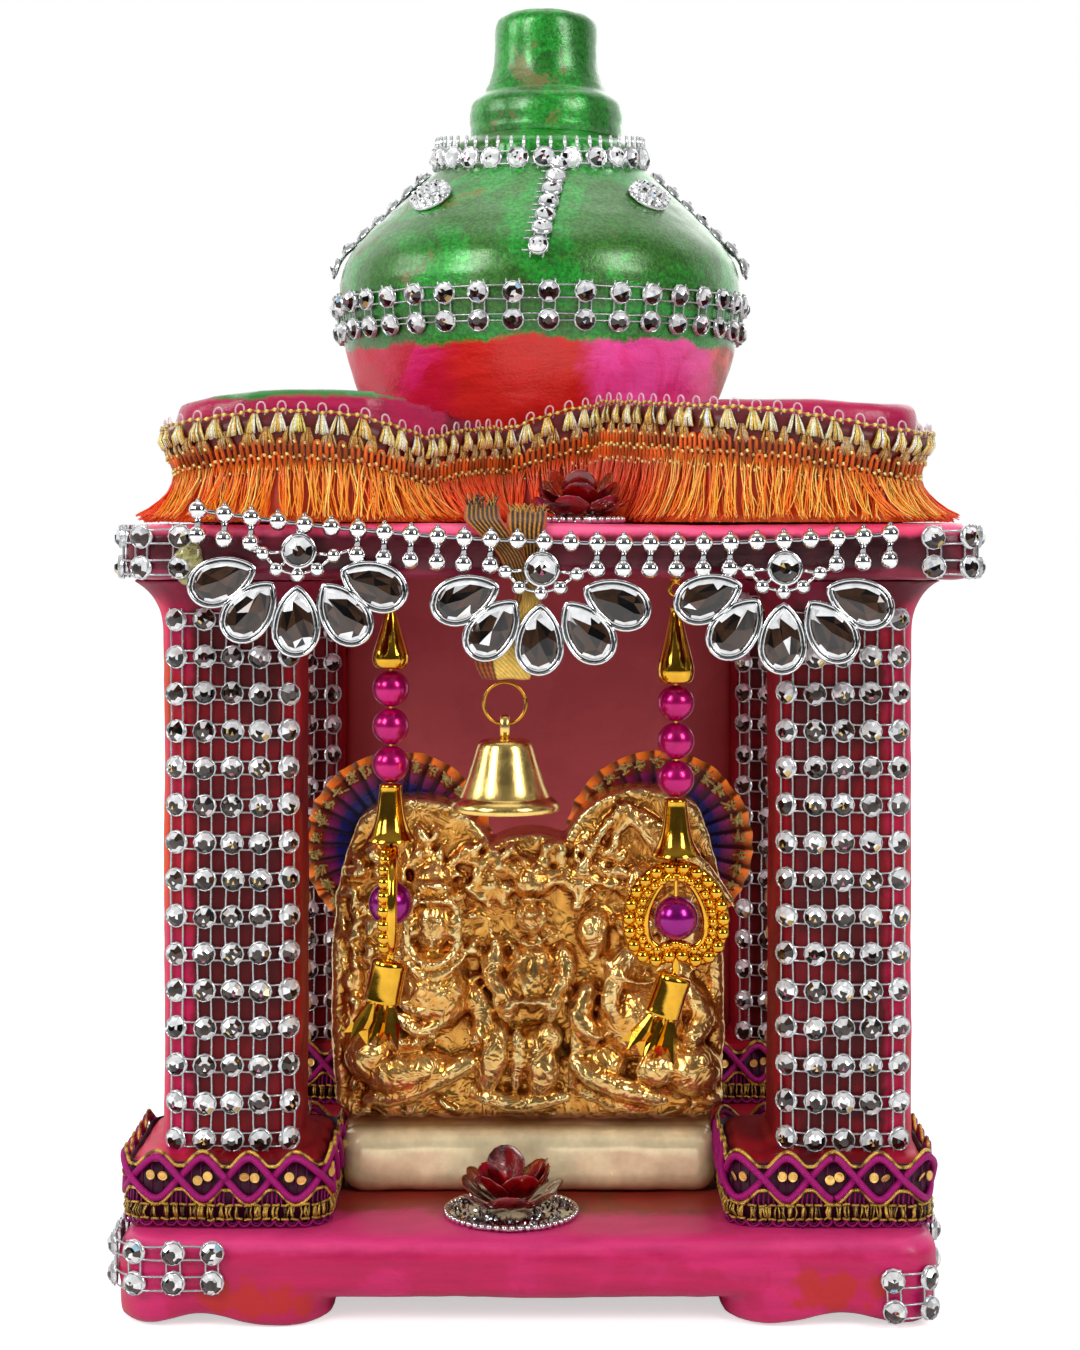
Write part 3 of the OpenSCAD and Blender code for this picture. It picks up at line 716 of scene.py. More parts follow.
def clay_paint(name, paint, second, brush, level, zones, streak, chips, specks, rough, relief):
    """Painted clay. Each zone is (axis, level, softness, raggedness, colour, second colour)."""
    mat, t, bsdf = material(name, coat_weight=0.12, coat_roughness=0.3, specular_ior_level=0.35)
    values = {"Second level": level, "Brush": brush, "Streak": streak, "Chip level": chips,
              "Specks": specks, "Roughness": rough}
    place = xyz(t)
    first, other = rgba(paint), rgba(second)
    for axis, at, soft, ragged, colour, colour2 in zones:
        value = place["xyz".index(axis[-1])]
        if axis[0] == "-":
            value = times(t, value, -1.0)
        mask = use(t, ragged_edge(), {"Value": value, "Level": at * MM, "Soft": soft * MM,
                                      "Ragged": ragged * MM})["Mask"]
        first = blend(t, mask, first, rgba(colour))
        other = blend(t, mask, other, rgba(colour2))
    values.update({"Paint": first, "Second": other})
    out = use(t, brushed_paint(), values)
    feed(t, bsdf, {"Base Color": out["Color"], "Roughness": out["Roughness"]})
    bump(t, bsdf, out["Height"], 0.8, relief)
    return mat


def tinted(name, rough, cloud, scale, relief=0.0, thread=None, **fixed):
    """A finish whose colour is stored on the mesh, with clouded gloss, and thread twist where asked."""
    mat, t, bsdf = material(name, **fixed)
    marks = use(t, handling(), {"Roughness": rough, "Amount": cloud, "Scale": scale})
    colour = blend(t, 1.0, add(t, "Attribute", attribute_name="tint"), marks["Shade"], "MULTIPLY")
    height = marks["Height"]
    if thread is not None:
        twist = use(t, twisted_thread(), {"Pitch": thread, "Depth": 0.4})
        colour = blend(t, 1.0, colour, twist["Shade"], "MULTIPLY")
        height = plus(t, twist["Height"], times(t, height, 0.2))
    feed(t, bsdf, {"Base Color": colour, "Roughness": marks["Roughness"]})
    if relief:
        bump(t, bsdf, height, 0.7, relief)
    return mat


# ---------- what a user may change ----------

def colour_value(label, about, *screen):
    """A colour property."""
    return FloatVectorProperty(name=label, description=about, default=srgb(*screen), subtype="COLOR",
                               size=3, min=0.0, max=1.0)


def length_value(label, about, mm, low, high):
    """A length property, in metres as the scene is."""
    return FloatProperty(name=label, description=about, default=mm * MM, min=low * MM, max=high * MM,
                         unit="LENGTH", precision=5)


class ShrineColours(bpy.types.PropertyGroup):
    """Colours of the paints, metals and threads."""
    magenta: colour_value("Magenta", "Paint on the base and cornice", 178, 10, 76)
    pink: colour_value("Pink", "Lighter paint on the top faces", 204, 50, 112)
    # The posts' red is darker than their paint, as painted shade between the stones of their mesh.
    red: colour_value("Red", "Dark paint on the posts", 78, 0, 6)
    mauve: colour_value("Mauve", "Paint on the back wall", 208, 92, 98)
    green: colour_value("Green", "Metallic paint on the dome's top", 22, 142, 34)
    gold: colour_value("Gold", "Plated beads, hearts and tassels", 242, 184, 60)
    brass: colour_value("Brass", "The bell", 255, 216, 128)
    pearl: colour_value("Pearl", "The pearls on the strings", 200, 4, 112)
    lace: colour_value("Lace cord", "The cord of the lace", 172, 0, 116)
    fringe: colour_value("Fringe", "Silk of the fringe where the light falls on it", 255, 132, 16)


class ShrineSizes(bpy.types.PropertyGroup):
    """Sizes of the repeated trim."""
    stone: length_value("Stone", "Width of a rhinestone", 4.7, 2, 8)
    stone_gap_short: length_value("Short pitch", "Pitch of the stones along the short way", 6.55, 4, 12)
    stone_gap_long: length_value("Long pitch", "Pitch of the stones along the long way", 8.2, 4, 12)
    thread: length_value("Thread", "Thickness of the silver threads between the stones", 0.5, 0.1, 1)
    strand: length_value("Strand", "Spacing of the fringe's strands", 0.44, 0.3, 3)
    tuft: length_value("Tuft", "Spacing of the gold tufts", 4.2, 2, 8)
    lace_wave: length_value("Lace wave", "Length of one wave of the lace's cords", 20.6, 8, 40)
    clay_voxel: length_value("Clay detail", "Size of the cells that clay skins are made from", 1.15, 0.6, 4)
    halo_pleats: IntProperty(name="Pleats", description="Pleats round a halo", default=30, min=8, max=80)


def colours():
    """The colour settings."""
    return bpy.context.scene.shrine_colours


def size_of(key):
    """A size setting in millimetres."""
    return getattr(bpy.context.scene.shrine_sizes, key) / MM


class PieceOperator(bpy.types.Operator):
    """Base of the operators that build a piece."""
    bl_options = {"REGISTER", "UNDO"}

    def build(self):
        """Makes the piece."""
        raise NotImplementedError

    def execute(self, context):
        """Builds the piece."""
        self.build()
        deselect()
        return {"FINISHED"}


# ---------- stage ----------

EYE = (-1.4, -613.0, 174.0)      # where the camera stands
LENS, SHIFT = 65.8, -0.117


class SHRINE_OT_stage(bpy.types.Operator):
    """Camera, pale floor, soft lamps and a white surround"""
    bl_idname = "shrine.stage"
    bl_label = "Stage"

    def lamp(self, name, place, target, size, power):
        """A soft rectangular lamp that faces a target, in metres."""
        deselect()
        bpy.ops.object.light_add(type="AREA", location=place)
        lamp = bpy.context.object
        lamp.name = name
        lamp.data.shape, lamp.data.size, lamp.data.size_y = "RECTANGLE", *size
        lamp.data.energy = power
        lamp.rotation_euler = (Vector(target) - Vector(place)).to_track_quat("-Z", "Y").to_euler()

    def world(self):
        """White where the camera, gloss or glass looks towards the surround, and plain light otherwise."""
        world = bpy.data.worlds.new("Surround")
        bpy.context.scene.world = world
        world.use_nodes = True
        t = world.node_tree
        t.nodes.clear()
        rays = t.nodes.new("ShaderNodeLightPath").outputs
        ahead = add(t, "SeparateXYZ", {0: add(t, "TexCoord", out="Generated")}).node.outputs
        back = ramp(t, ahead["Y"], 0.0, 0.75)
        up = ramp(t, ahead["Z"], 0.1, 1.0, 0.0, 0.3)
        room = ramp(t, plus(t, back, up, True), 0.0, 1.0, 0.05, 1.0)
        glossy = plus(t, rays["Is Glossy Ray"], rays["Is Transmission Ray"], True)
        level = add(t, "Mix", {0: glossy, 2: 0.62, 3: room}, 0, data_type="FLOAT")
        level = add(t, "Mix", {0: rays["Is Camera Ray"], 2: level, 3: 1.0}, 0, data_type="FLOAT")
        shade = t.nodes.new("ShaderNodeBackground")
        shade.inputs["Color"].default_value = (1, 1, 1, 1)
        t.links.new(level, shade.inputs["Strength"])
        t.links.new(shade.outputs[0], t.nodes.new("ShaderNodeOutputWorld").inputs["Surface"])

    def floor(self):
        """A pale floor that keeps the shrine's shadow."""
        deselect()
        bpy.ops.mesh.primitive_circle_add(vertices=64, radius=6, fill_type="NGON", location=(0, 0, -0.0002))
        floor = fresh("floor")
        mat, t, bsdf = material("Pale floor", roughness=0.9)
        bsdf.inputs["Base Color"].default_value = (0.86, 0.86, 0.86, 1)
        rays = t.nodes.new("ShaderNodeLightPath").outputs
        seen = times(t, rays["Is Camera Ray"], 0.55)
        bsdf.inputs["Emission Color"].default_value = (1, 1, 1, 1)
        t.links.new(seen, bsdf.inputs["Emission Strength"])
        floor.data.materials.append(mat)

    def execute(self, context):
        """Builds the stage."""
        scene = context.scene
        scene.view_settings.view_transform = "Standard"
        deselect()
        bpy.ops.object.camera_add(location=[x * MM for x in EYE], rotation=(pi / 2, 0, 0))
        camera = bpy.context.object
        camera.data.lens, camera.data.shift_y = LENS, SHIFT
        scene.camera = camera
        self.world()
        self.floor()
        aim = (0, 0, 0.15)
        self.lamp("lamp_left", (-0.85, -0.95, 0.85), aim, (0.42, 0.6), 7.6)
        self.lamp("lamp_right", (0.9, -0.9, 0.8), aim, (0.42, 0.6), 6.6)
        self.lamp("lamp_side", (-1.25, -0.2, 0.72), (0, 0, 0.2), (0.4, 0.5), 3.4)
        self.lamp("lamp_top", (0.0, 0.1, 1.5), aim, (1.0, 1.0), 2.7)
        self.lamp("lamp_back", (0.2, 1.3, 0.7), aim, (1.2, 1.0), 3.5)
        return {"FINISHED"}


# ---------- clay ----------

def clay_skin(obj, swell, size, seed, voxel=None, soften=3):
    """Turns joined blocks into one hand-shaped clay skin."""
    melt(obj, voxel or size_of("clay_voxel"), soften)
    hand_shape(obj, swell, size, seed, 0.1, 4.0)
    shade_smooth(obj)
    return obj


class SHRINE_OT_base(PieceOperator):
    """Base slab with its four soft feet"""
    bl_idname = "shrine.base"
    bl_label = "Base"

    def build(self):
        """One slab and four feet, melted together."""
        c = colours()
        low, high = box("base_slab")
        foot = box("base_feet")[0][2]
        width, depth, side = high[0] - low[0], high[1] - low[1], 47.0
        parts = [slab("base_block", low, high, 9, 4.5)]
        for x, y in ((0, 0), (0, 1), (1, 0), (1, 1)):
            a = np.array([low[0] + x * (width - side), low[1] + y * (depth - side), foot])
            parts.append(slab("foot", a, a + (side, side, 9), 12, 1.6))
        obj = clay_skin(join("base", *parts), 0.45, 26, 1.3, soften=6)
        co = points_of(obj)
        front = smooth((low[1] + 14 - co[:, 1]) / 14)
        under = smooth((7.5 - co[:, 2]) / 5)
        notch = np.exp(-((co[:, 0] - low[0] - 19) / 8) ** 2) + np.exp(-((co[:, 0] - high[0] + 21) / 9) ** 2)
        co[:, 2] += under * front * notch * 2.6
        sag = np.exp(-((co[:, 0] + 10) / 30) ** 2)
        co[:, 2] -= front * smooth((co[:, 2] - 14) / 4) * sag * 0.5
        set_points(obj, co)
        z = FLOOR_Z
        paint = clay_paint(
            "Base paint", c.magenta, srgb(190, 22, 92), (0.12, 0.12, 1), 0.56, [
                ("z", z - 2.6, 1.4, 3.0, c.pink, srgb(198, 44, 104)),
                ("y", -63, 5, 20, srgb(150, 44, 34), srgb(122, 50, 26)),
                ("y", -12, 20, 40, srgb(150, 20, 40), srgb(170, 30, 70)),
                ("-x", -box("base_slab")[0][0] - 2, 4, 16, srgb(196, 40, 100), srgb(180, 30, 60)),
            ], 0.14, 0.735, 0.8, 0.38, 0.3)
        self.glue(paint, low, high)
        finished(obj, "root", "clay_magenta", "base_slab", "base_feet", material=paint)

    def glue(self, paint, low, high):
        """Red glue smears beside the mesh at the two front corners."""
        t, bsdf, old = shader_of(paint)
        place = xyz(t)
        smear = None
        for x, z, wide in ((low[0] + 30, 6.5, 17), (high[0] - 24, 8.0, 13)):
            dx = calc(t, "POWER", calc(t, "DIVIDE", minus(t, place["X"], x * MM), wide * MM), 2)
            dz = calc(t, "POWER", calc(t, "DIVIDE", minus(t, place["Z"], z * MM), 5 * MM), 2)
            near = minus(t, 1.0, plus(t, dx, dz))
            smear = near if smear is None else calc(t, "MAXIMUM", smear, near)
        front = ramp(t, place["Y"], (low[1] + 12) * MM, (low[1] + 6) * MM)
        shake = times(t, minus(t, grain(t, 190, 4), 0.5), 3.2)
        mask = times(t, ramp(t, plus(t, smear, shake), 0.1, 0.7), front)
        mask = times(t, mask, 0.85)
        feed(t, bsdf, {"Base Color": blend(t, mask, old, rgba(srgb(176, 30, 12)))})


# Half of a post's width, and how far its mesh stands off it
POST_HALF, MESH_THICK = 15.5, 1.2
CORNERS = [(row, side) for row in ("front", "back") for side in ("left", "right")]


def post_middle(row, side):
    """Where a post stands in plan, from the box of the mesh on its outer side."""
    low, high = box(f"post_mesh_{row}_{side}")
    inset = MESH_THICK + POST_HALF
    return (low[0] + inset if side == "left" else high[0] - inset), (low[1] + high[1]) / 2


class SHRINE_OT_posts(PieceOperator):
    """Four posts with plinths and hollowed heads"""
    bl_idname = "shrine.posts"
    bl_label = "Posts"

    def profile(self, cx, cy):
        """Rounded square rings from the floor to the cornice."""
        head = CORNICE_Z - 9.5
        rows = []
        levels = [np.linspace(FLOOR_Z, head - 4, 60), np.linspace(head - 3.2, CORNICE_Z, 16)]
        for z in np.concatenate(levels):
            flare = np.clip((z - head + 3) / (CORNICE_Z - head + 3), 0, 1)
            half = POST_HALF + 7.5 * (1 - sqrt(1 - 0.97 * flare ** 2)) / (1 - sqrt(0.03))
            r = 8 + 1.2 * flare
            ring = round_rect(cx, cy, 2 * half, 2 * half, r, 8)
            ring = ring[np.linspace(0, len(ring) - 1, 73).astype(int)][:-1]
            rows.append(np.concatenate([ring, np.full((len(ring), 1), z)], 1))
        return rows

    def build(self):
        """Shaft and plinth of each post."""
        for row, side in CORNERS:
            name = f"post_{row}_{side}"
            x, y = post_middle(row, side)
            low, high = box(f"lace_{row}_{side}")
            shaft = skin(name, self.profile(x, y))
            plinth = slab("plinth", (low[0] + 1, low[1] + 1, FLOOR_Z),
                          (high[0] - 1, high[1] - 1, FLOOR_Z + 15), 6, 3.5)
            seed = (-3.7 if side == "left" else 3.7) + (9 if row == "front" else 0)
            obj = clay_skin(join(name + "_clay", shaft, plinth), 0.4, 24, seed)
            zones = [
                ("x", x + 12, 2, 4, srgb(160, 12, 24), srgb(130, 8, 26)),
                ("-x", -(x - 8.5), 1.2, 6, srgb(172, 12, 66), srgb(160, 16, 34)),
                ("-x", -(x - 13.6), 1.2, 3, srgb(206, 52, 84), srgb(208, 70, 26)),
            ] if side == "left" else [
                ("-x", -(x - 12), 2, 4, srgb(150, 10, 28), srgb(124, 8, 24)),
                ("x", x + 8.5, 1.2, 6, srgb(168, 10, 58), srgb(150, 12, 36)),
                ("x", x + 13.6, 1.2, 3, srgb(196, 36, 84), srgb(186, 40, 50)),
            ]
            zones.append(("z", CORNICE_Z - 6, 3, 8, srgb(134, 24, 56), srgb(92, 10, 32)))
            # Dark red paint, darkened further as painted shade between the stones of the mesh.
            paint = clay_paint(f"Post paint {row} {side}", colours().red, srgb(108, 0, 12),
                               (1, 1, 0.1), 0.52, zones, 0.2, 0.76, 0.4, 0.5, 0.06)
            shader_of(paint)[1].inputs["Specular IOR Level"].default_value = 0.16
            finished(obj, "root", "clay_red", name, material=paint)


class SHRINE_OT_wall(PieceOperator):
    """Back wall between the back posts"""
    bl_idname = "shrine.wall"
    bl_label = "Back wall"

    def build(self):
        """A slightly wavy plate."""
        low, high = box("back_wall")
        obj = slab("back_wall_clay", low - (0.5, 0, 0), high + (0.5, 0, 0), 0.8, 0.8)
        clay_skin(obj, 0.35, 34, 5.1, voxel=1.5)
        # Painted light and shade: the wall is lighter towards the bottom and darker at the top.
        paint = clay_paint("Wall paint", colours().mauve, srgb(202, 88, 94), (0.3, 0.3, 1), 0.5, [
            ("-z", -92, 24, 30, srgb(212, 94, 100), srgb(206, 88, 92)),
            ("z", 138, 8, 12, srgb(190, 72, 82), srgb(192, 76, 84)),
        ], 0.03, 0.8, 0.05, 0.66, 0.1)
        finished(obj, "root", "clay_mauve", "back_wall", material=paint)


class SHRINE_OT_cornice(PieceOperator):
    """Cornice slab over the posts"""
    bl_idname = "shrine.cornice"
    bl_label = "Cornice"

    def build(self):
        """A soft slab with a pink top edge, made lighter as a painted highlight."""
        obj = slab("cornice", *box("cornice_slab"), 9, 3.6)
        clay_skin(obj, 0.4, 30, 2.2, soften=4)
        paint = clay_paint("Cornice paint", srgb(100, 10, 34), srgb(66, 8, 22), (0.1, 0.1, 1), 0.52, [
            # Pink top edge, lightened as a painted highlight.
            ("z", ROOF_Z - 2.4, 0.8, 2.6, srgb(238, 84, 132), srgb(222, 60, 104)),
            ("-z", -(CORNICE_Z + 2.2), 1.0, 3.0, srgb(160, 40, 76), srgb(140, 22, 54)),
            ("y", -40, 10, 20, srgb(196, 40, 100), srgb(180, 26, 60)),
        ], 0.14, 0.76, 0.5, 0.34, 0.25)
        finished(obj, "root", "clay_magenta", "cornice_slab", material=paint)


CANOPY_X, CANOPY_Y = middle("canopy")[:2]
CANOPY_HALF, DIP_R = 81.5, 52.0
DISH_Z, DIP_TOP, LOBE_TOP = 13.5, 22.0, 27.5      # heights above the cornice


def side_angle(a):
    """Degrees from the middle of the nearest side."""
    return np.abs((a + 45) % 90 - 45)


def canopy_r(a):
    """Radius of the lobed outline at angle a."""
    lobe = smooth((side_angle(a) - 12) / 14)
    c, s = np.abs(np.cos(np.radians(a))), np.abs(np.sin(np.radians(a)))
    return DIP_R + (CANOPY_HALF / (c ** 10 + s ** 10) ** 0.1 - DIP_R) * lobe


def canopy_top(a):
    """Height of the rim at angle a."""
    lobe = smooth((side_angle(a) - 12) / 14) + 0.4 * np.exp(-((np.mod(a, 360) - 237) / 13) ** 2)
    return DIP_TOP + (LOBE_TOP - DIP_TOP) * lobe - 0.9 * smooth((side_angle(a) - 34) / 11)


def canopy_swell(a):
    """How far the rim stands out over the wall below it."""
    return 0.8 + 2.2 * smooth((side_angle(a) - 20) / 18)


class SHRINE_OT_canopy(PieceOperator):
    """Lobed canopy with a shallow dish"""
    bl_idname = "shrine.canopy"
    bl_label = "Canopy"

    def build(self):
        """Rings from the foot, over the rolled lip and down into the dish."""
        angles = np.arange(0, 360, 1.5)
        r, top, swell = canopy_r(angles), canopy_top(angles), canopy_swell(angles)
        steps = [(0, 0), (-0.1, 0.3), (0.2, 0.52), (0.8, 0.7), (1, 0.84)]
        rows = [np.stack([r + dr * swell, top * k], 1) for dr, k in steps]
        for turn in np.linspace(0, 180, 9):
            x, z = cos(radians(turn)), sin(radians(turn))
            rows.append(np.stack([r - 2.5 + 2.5 * x + swell * (0.4 + 0.5 * x), top - 2.5 + 2.5 * z], 1))
        for k, inset in ((0.75, 5.6), (0.35, 7.0), (0.0, 9.5)):
            rows.append(np.stack([r - inset, DISH_Z + (top - DISH_Z) * k], 1))
        for k in (0.7, 0.4, 0.1):
            rows.append(np.stack([(r - 10) * k, np.full(len(r), DISH_Z)], 1))
        a = np.radians(angles)
        obj = skin("canopy_clay", [
            np.stack([CANOPY_X + out * np.cos(a), CANOPY_Y + out * np.sin(a), ROOF_Z + up], 1)
            for out, up in (row.T for row in rows)])
        clay_skin(obj, 0.45, 18, 7.7, voxel=1.3, soften=2)
        green = [("z", ROOF_Z + LOBE_TOP, 0.6, 3.6, srgb(40, 116, 46), srgb(112, 158, 118))]
        # Pink paint with maroon patches; the maroon is painted shade.
        paint = clay_paint("Canopy paint", srgb(172, 24, 74), srgb(118, 12, 36), (0.12, 0.12, 1), 0.54,
                           green, 0.2, 0.74, 0.5, 0.3, 0.35)
        finished(obj, "root", "clay_pink", "canopy", material=paint)


DOME_X = middle("dome_pot")[0]
DOME_R, BELLY_UP, SIDE_R, SHOULDER_R, CONE = 50.5, 46.5, 79.0, 10.0, 46.0
FOOT_Z = box("dome_pot")[0][2]
BELLY_Z = FOOT_Z + BELLY_UP


def dome_profile():
    """Outline of the pot from its foot to its neck, as (radius, height)."""
    foot = degrees(asin(-BELLY_UP / SIDE_R))
    side = arc(DOME_R - SIDE_R, BELLY_Z, SIDE_R, foot, 0, 22)
    shoulder = arc(DOME_R - SHOULDER_R, BELLY_Z, SHOULDER_R, 0, CONE, 8)[1:]
    x, z = shoulder[-1]
    drop = np.linspace(0, NECK_Z - 8.4 - z, 12)[1:]
    cone = np.stack([x - drop * tan(radians(CONE)), z + drop], 1)
    return np.concatenate([side, shoulder, cone])


# The dome's neck above its cone: radius, and height under the finial
NECK = ((26.0, -7.9), (25.5, -7.2), (25.4, -5.0), (25.1, -3.5), (24.2, -2.5), (20.5, -0.4), (19.2, 0.0))


class SHRINE_OT_dome(PieceOperator):
    """Pot dome and its finial, wheel-turned and painted"""
    bl_idname = "shrine.dome"
    bl_label = "Dome and finial"

    def build(self):
        """Spun outlines with turning marks and a wobble."""
        line = along_line(np.concatenate([[(0, FOOT_Z)], dome_profile()]), 1.5)
        for _ in range(26):
            line[2:-2] = (line[1:-3] + 2 * line[2:-2] + line[3:-1]) / 4
        neck = along_line([(r, NECK_Z + z) for r, z in NECK] + [(0, NECK_Z)], 1.2)
        line = np.concatenate([line, neck])
        obj = spun("dome", line, (DOME_X, HOUSE_Y), 144)
        co = points_of(obj)
        rings = np.array([0.18 * wobble(z / 2.2, 4.4) + 0.25 * wobble(z / 9.0, 8.1) for z in co[:, 2]])
        out = np.stack([co[:, 0] - DOME_X, co[:, 1] - HOUSE_Y], 1)
        co[:, :2] += unit(out) * rings[:, None] * (np.linalg.norm(out, axis=1) > 2)[:, None]
        set_points(obj, co)
        hand_shape(obj, 0.6, 30, 4.2, 0.16, 3.5)
        shade_smooth(obj)
        band = BELLY_Z - 17.5
        paint = clay_paint("Dome paint", srgb(226, 32, 108), srgb(206, 16, 56), (0.3, 0.3, 1), 0.49, [
            ("x", DOME_X - 22, 5, 16, srgb(206, 24, 14), srgb(210, 34, 26)),
            ("x", DOME_X + 12, 5, 14, srgb(254, 84, 172), srgb(240, 56, 136)),
            ("x", DOME_X + 42, 2, 9, srgb(236, 106, 86), srgb(170, 70, 44)),
            ("z", band, 0.8, 7.5, colours().green, srgb(44, 108, 22)),
        ], 0.1, 0.765, 0.3, 0.34, 0.5)
        self.sheen(paint, band)
        finished(obj, "root", "clay_green", "dome_pot", material=paint)
        self.finial()

    def sheen(self, paint, level):
        """Metallic green above a level, and a dull red where the green has rubbed away."""
        t, bsdf, old = shader_of(paint)
        up = use(t, ragged_edge(), {"Value": xyz(t)["Z"], "Level": level * MM, "Soft": 0.8 * MM,
                                    "Ragged": 7.5 * MM})["Mask"]
        rubbed = ramp(t, grain(t, 55, 6, 0.68, distortion=0.6), 0.60, 0.66)
        rubbed = times(t, times(t, rubbed, up), 0.75)
        flake = ramp(t, grain(t, 1100, 3, 0.75), 0.36, 0.66, 0.6, 1.7)
        colour = blend(t, times(t, up, 0.8), old, blend(t, 1.0, old, flake, "MULTIPLY"))
        shine = minus(t, up, rubbed, True)
        feed(t, bsdf, {"Base Color": blend(t, rubbed, colour, rgba(srgb(120, 104, 62))),
                       "Metallic": times(t, shine, 0.38),
                       "Coat Weight": plus(t, times(t, shine, 0.85), 0.08), "Coat Roughness": 0.26,
                       "Specular IOR Level": 0.5})

    def finial(self):
        """Collar and knob."""
        low, high = box("dome_finial")
        x, y = (low[:2] + high[:2]) / 2
        z0, tall = low[2], (high[2] - low[2]) / 32
        shape = ((0, -0.8), (18.0, -0.8), (18.7, 0.6), (18.9, 2.2), (18.7, 3.2), (19.0, 4.4), (19.05, 6.2),
                 (18.8, 7.2), (18.75, 8.0), (18.2, 9.2), (17.3, 10.2), (16.0, 11.0), (15.2, 11.7),
                 (15.0, 12.6), (14.5, 13.4), (14.2, 14.2), (13.8, 15.4), (13.35, 17.0), (13.05, 19.0),
                 (12.95, 21.5), (12.95, 26.5), (12.85, 28.2), (12.3, 29.8), (10.8, 31.0), (8.0, 31.6),
                 (4.5, 31.8), (0, 31.85))
        points = [(r, z0 + z * tall) for r, z in shape]
        obj = spun("finial", along_line(points, 1.0), (x, y), 96)
        hand_shape(obj, 0.45, 16, 9.4, 0.12, 3.0)
        shade_smooth(obj)
        paint = clay_paint("Finial paint", colours().green, srgb(30, 112, 30), (0.4, 0.4, 1), 0.52, (),
                           0.1, 0.78, 0.2, 0.34, 0.5)
        self.sheen(paint, -1000)
        finished(obj, "root", "clay_green", "dome_finial", material=paint)


# ---------- rhinestone mesh ----------

# Facet colours are painted reflections: white and pale are painted highlights, dark and black painted dark
# reflections, warm, rose and sky painted coloured glints.
WHITE, PALE = (0.93, 0.94, 0.95), (0.62, 0.62, 0.64)
DARK, BLACK = (0.045, 0.022, 0.012), (0.006, 0.005, 0.005)
WARM, ROSE, SKY = (0.75, 0.52, 0.16), (0.55, 0.12, 0.24), (0.45, 0.7, 0.9)
THREADS_APART = 1.45      # half the distance between the two threads of a pair


def facet_reflection(rng, height, tilt):
    """Painted reflection on a facet, by where it sits (height, -1 low to 1 high) and a little luck: high
    facets get white painted highlights, low ones mostly dark painted reflections.
    """
    luck = height + 0.12 * rng.normal() + tilt
    if luck > 0.22:
        return WHITE if rng.random() < 0.86 else PALE
    if luck < -0.85:
        return WHITE if rng.random() < 0.5 else DARK
    if rng.random() < 0.05:
        return (WARM, ROSE, SKY)[rng.integers(3)]
    return DARK if rng.random() < 0.5 else BLACK


def stone_shape(width):
    """A faceted stone in a metal cup, facing +Z, its top at +Y."""
    r = width / 2
    deselect()
    bpy.ops.mesh.primitive_cone_add(vertices=12, radius1=(r + 0.34) * MM, radius2=(r + 0.1) * MM,
                                    depth=1.2 * MM, location=(0, 0, 0.5 * MM), end_fill_type="NGON")
    cup = fresh("cup")
    top = lambda f: f.normal.z > 0.9
    bottom = lambda f: f.normal.z < -0.9

    def hollow():
        bpy.ops.mesh.inset(thickness=0.16 * MM)
        bpy.ops.transform.translate(value=(0, 0, -0.45 * MM))

    edit(cup, hollow, top, "FACE")
    edit(cup, lambda: bpy.ops.mesh.delete(type="FACE"), lambda f: bottom(f) or top(f), "FACE")
    deselect()
    bpy.ops.mesh.primitive_cone_add(vertices=8, radius1=r * MM, radius2=0.62 * r * MM, depth=0.85 * MM,
                                    location=(0, 0, 1.3 * MM), rotation=(0, 0, radians(22.5)))
    stone = fresh("stone")

    def crown():
        bpy.ops.mesh.inset(thickness=0.2 * r * MM)
        bpy.ops.transform.translate(value=(0, 0, 0.28 * MM))

    edit(stone, crown, top, "FACE")
    edit(stone, lambda: bpy.ops.mesh.poke(), top, "FACE")
    edit(stone, lambda: bpy.ops.mesh.delete(type="FACE"), bottom, "FACE")
    shade_smooth(cup)
    both = join("stone_in_cup", cup, stone)
    for f in both.data.polygons:
        f.material_index = 0 if f.use_smooth else 1
    return both


class StoneSet:
    """The stone in a dozen colourings of its facets, each a painted reflection; bright sets get mostly white
    painted highlights.
    """

    def __init__(self, width, seed, bright=False):
        both = stone_shape(width)
        centres = np.array([f.center for f in both.data.polygons]) / MM
        slots = np.array([f.material_index for f in both.data.polygons])
        base = Shape(both)
        rng = np.random.default_rng(seed)
        self.kinds = []
        for _ in range(12):
            lean, tilt = rng.normal() * 0.4, rng.normal() * 0.22
            tints = []
            for c, s in zip(centres, slots):
                if s == 0:
                    tints.append((0.74, 0.75, 0.76))
                    continue
                high = (c[1] * cos(lean) + c[0] * sin(lean)) / (width / 2)
                centre = np.hypot(c[0], c[1]) < 0.35 * width / 2
                # Bright stones: most facets painted white as highlights.
                if bright and rng.random() < 0.7:
                    tints.append(WHITE)
                else:
                    tints.append(facet_reflection(rng, high * 1.25 - (0.3 if centre else 0.0), tilt))
            self.kinds.append(base.recoloured(tints))
        self.rng = rng

    def place(self, heap, places):
        """Stamps stones, each with a colouring of its own."""
        kind = self.rng.integers(0, len(self.kinds), len(places))
        for k, shape in enumerate(self.kinds):
            if (kind == k).any():
                heap.stamp(shape, places[kind == k])


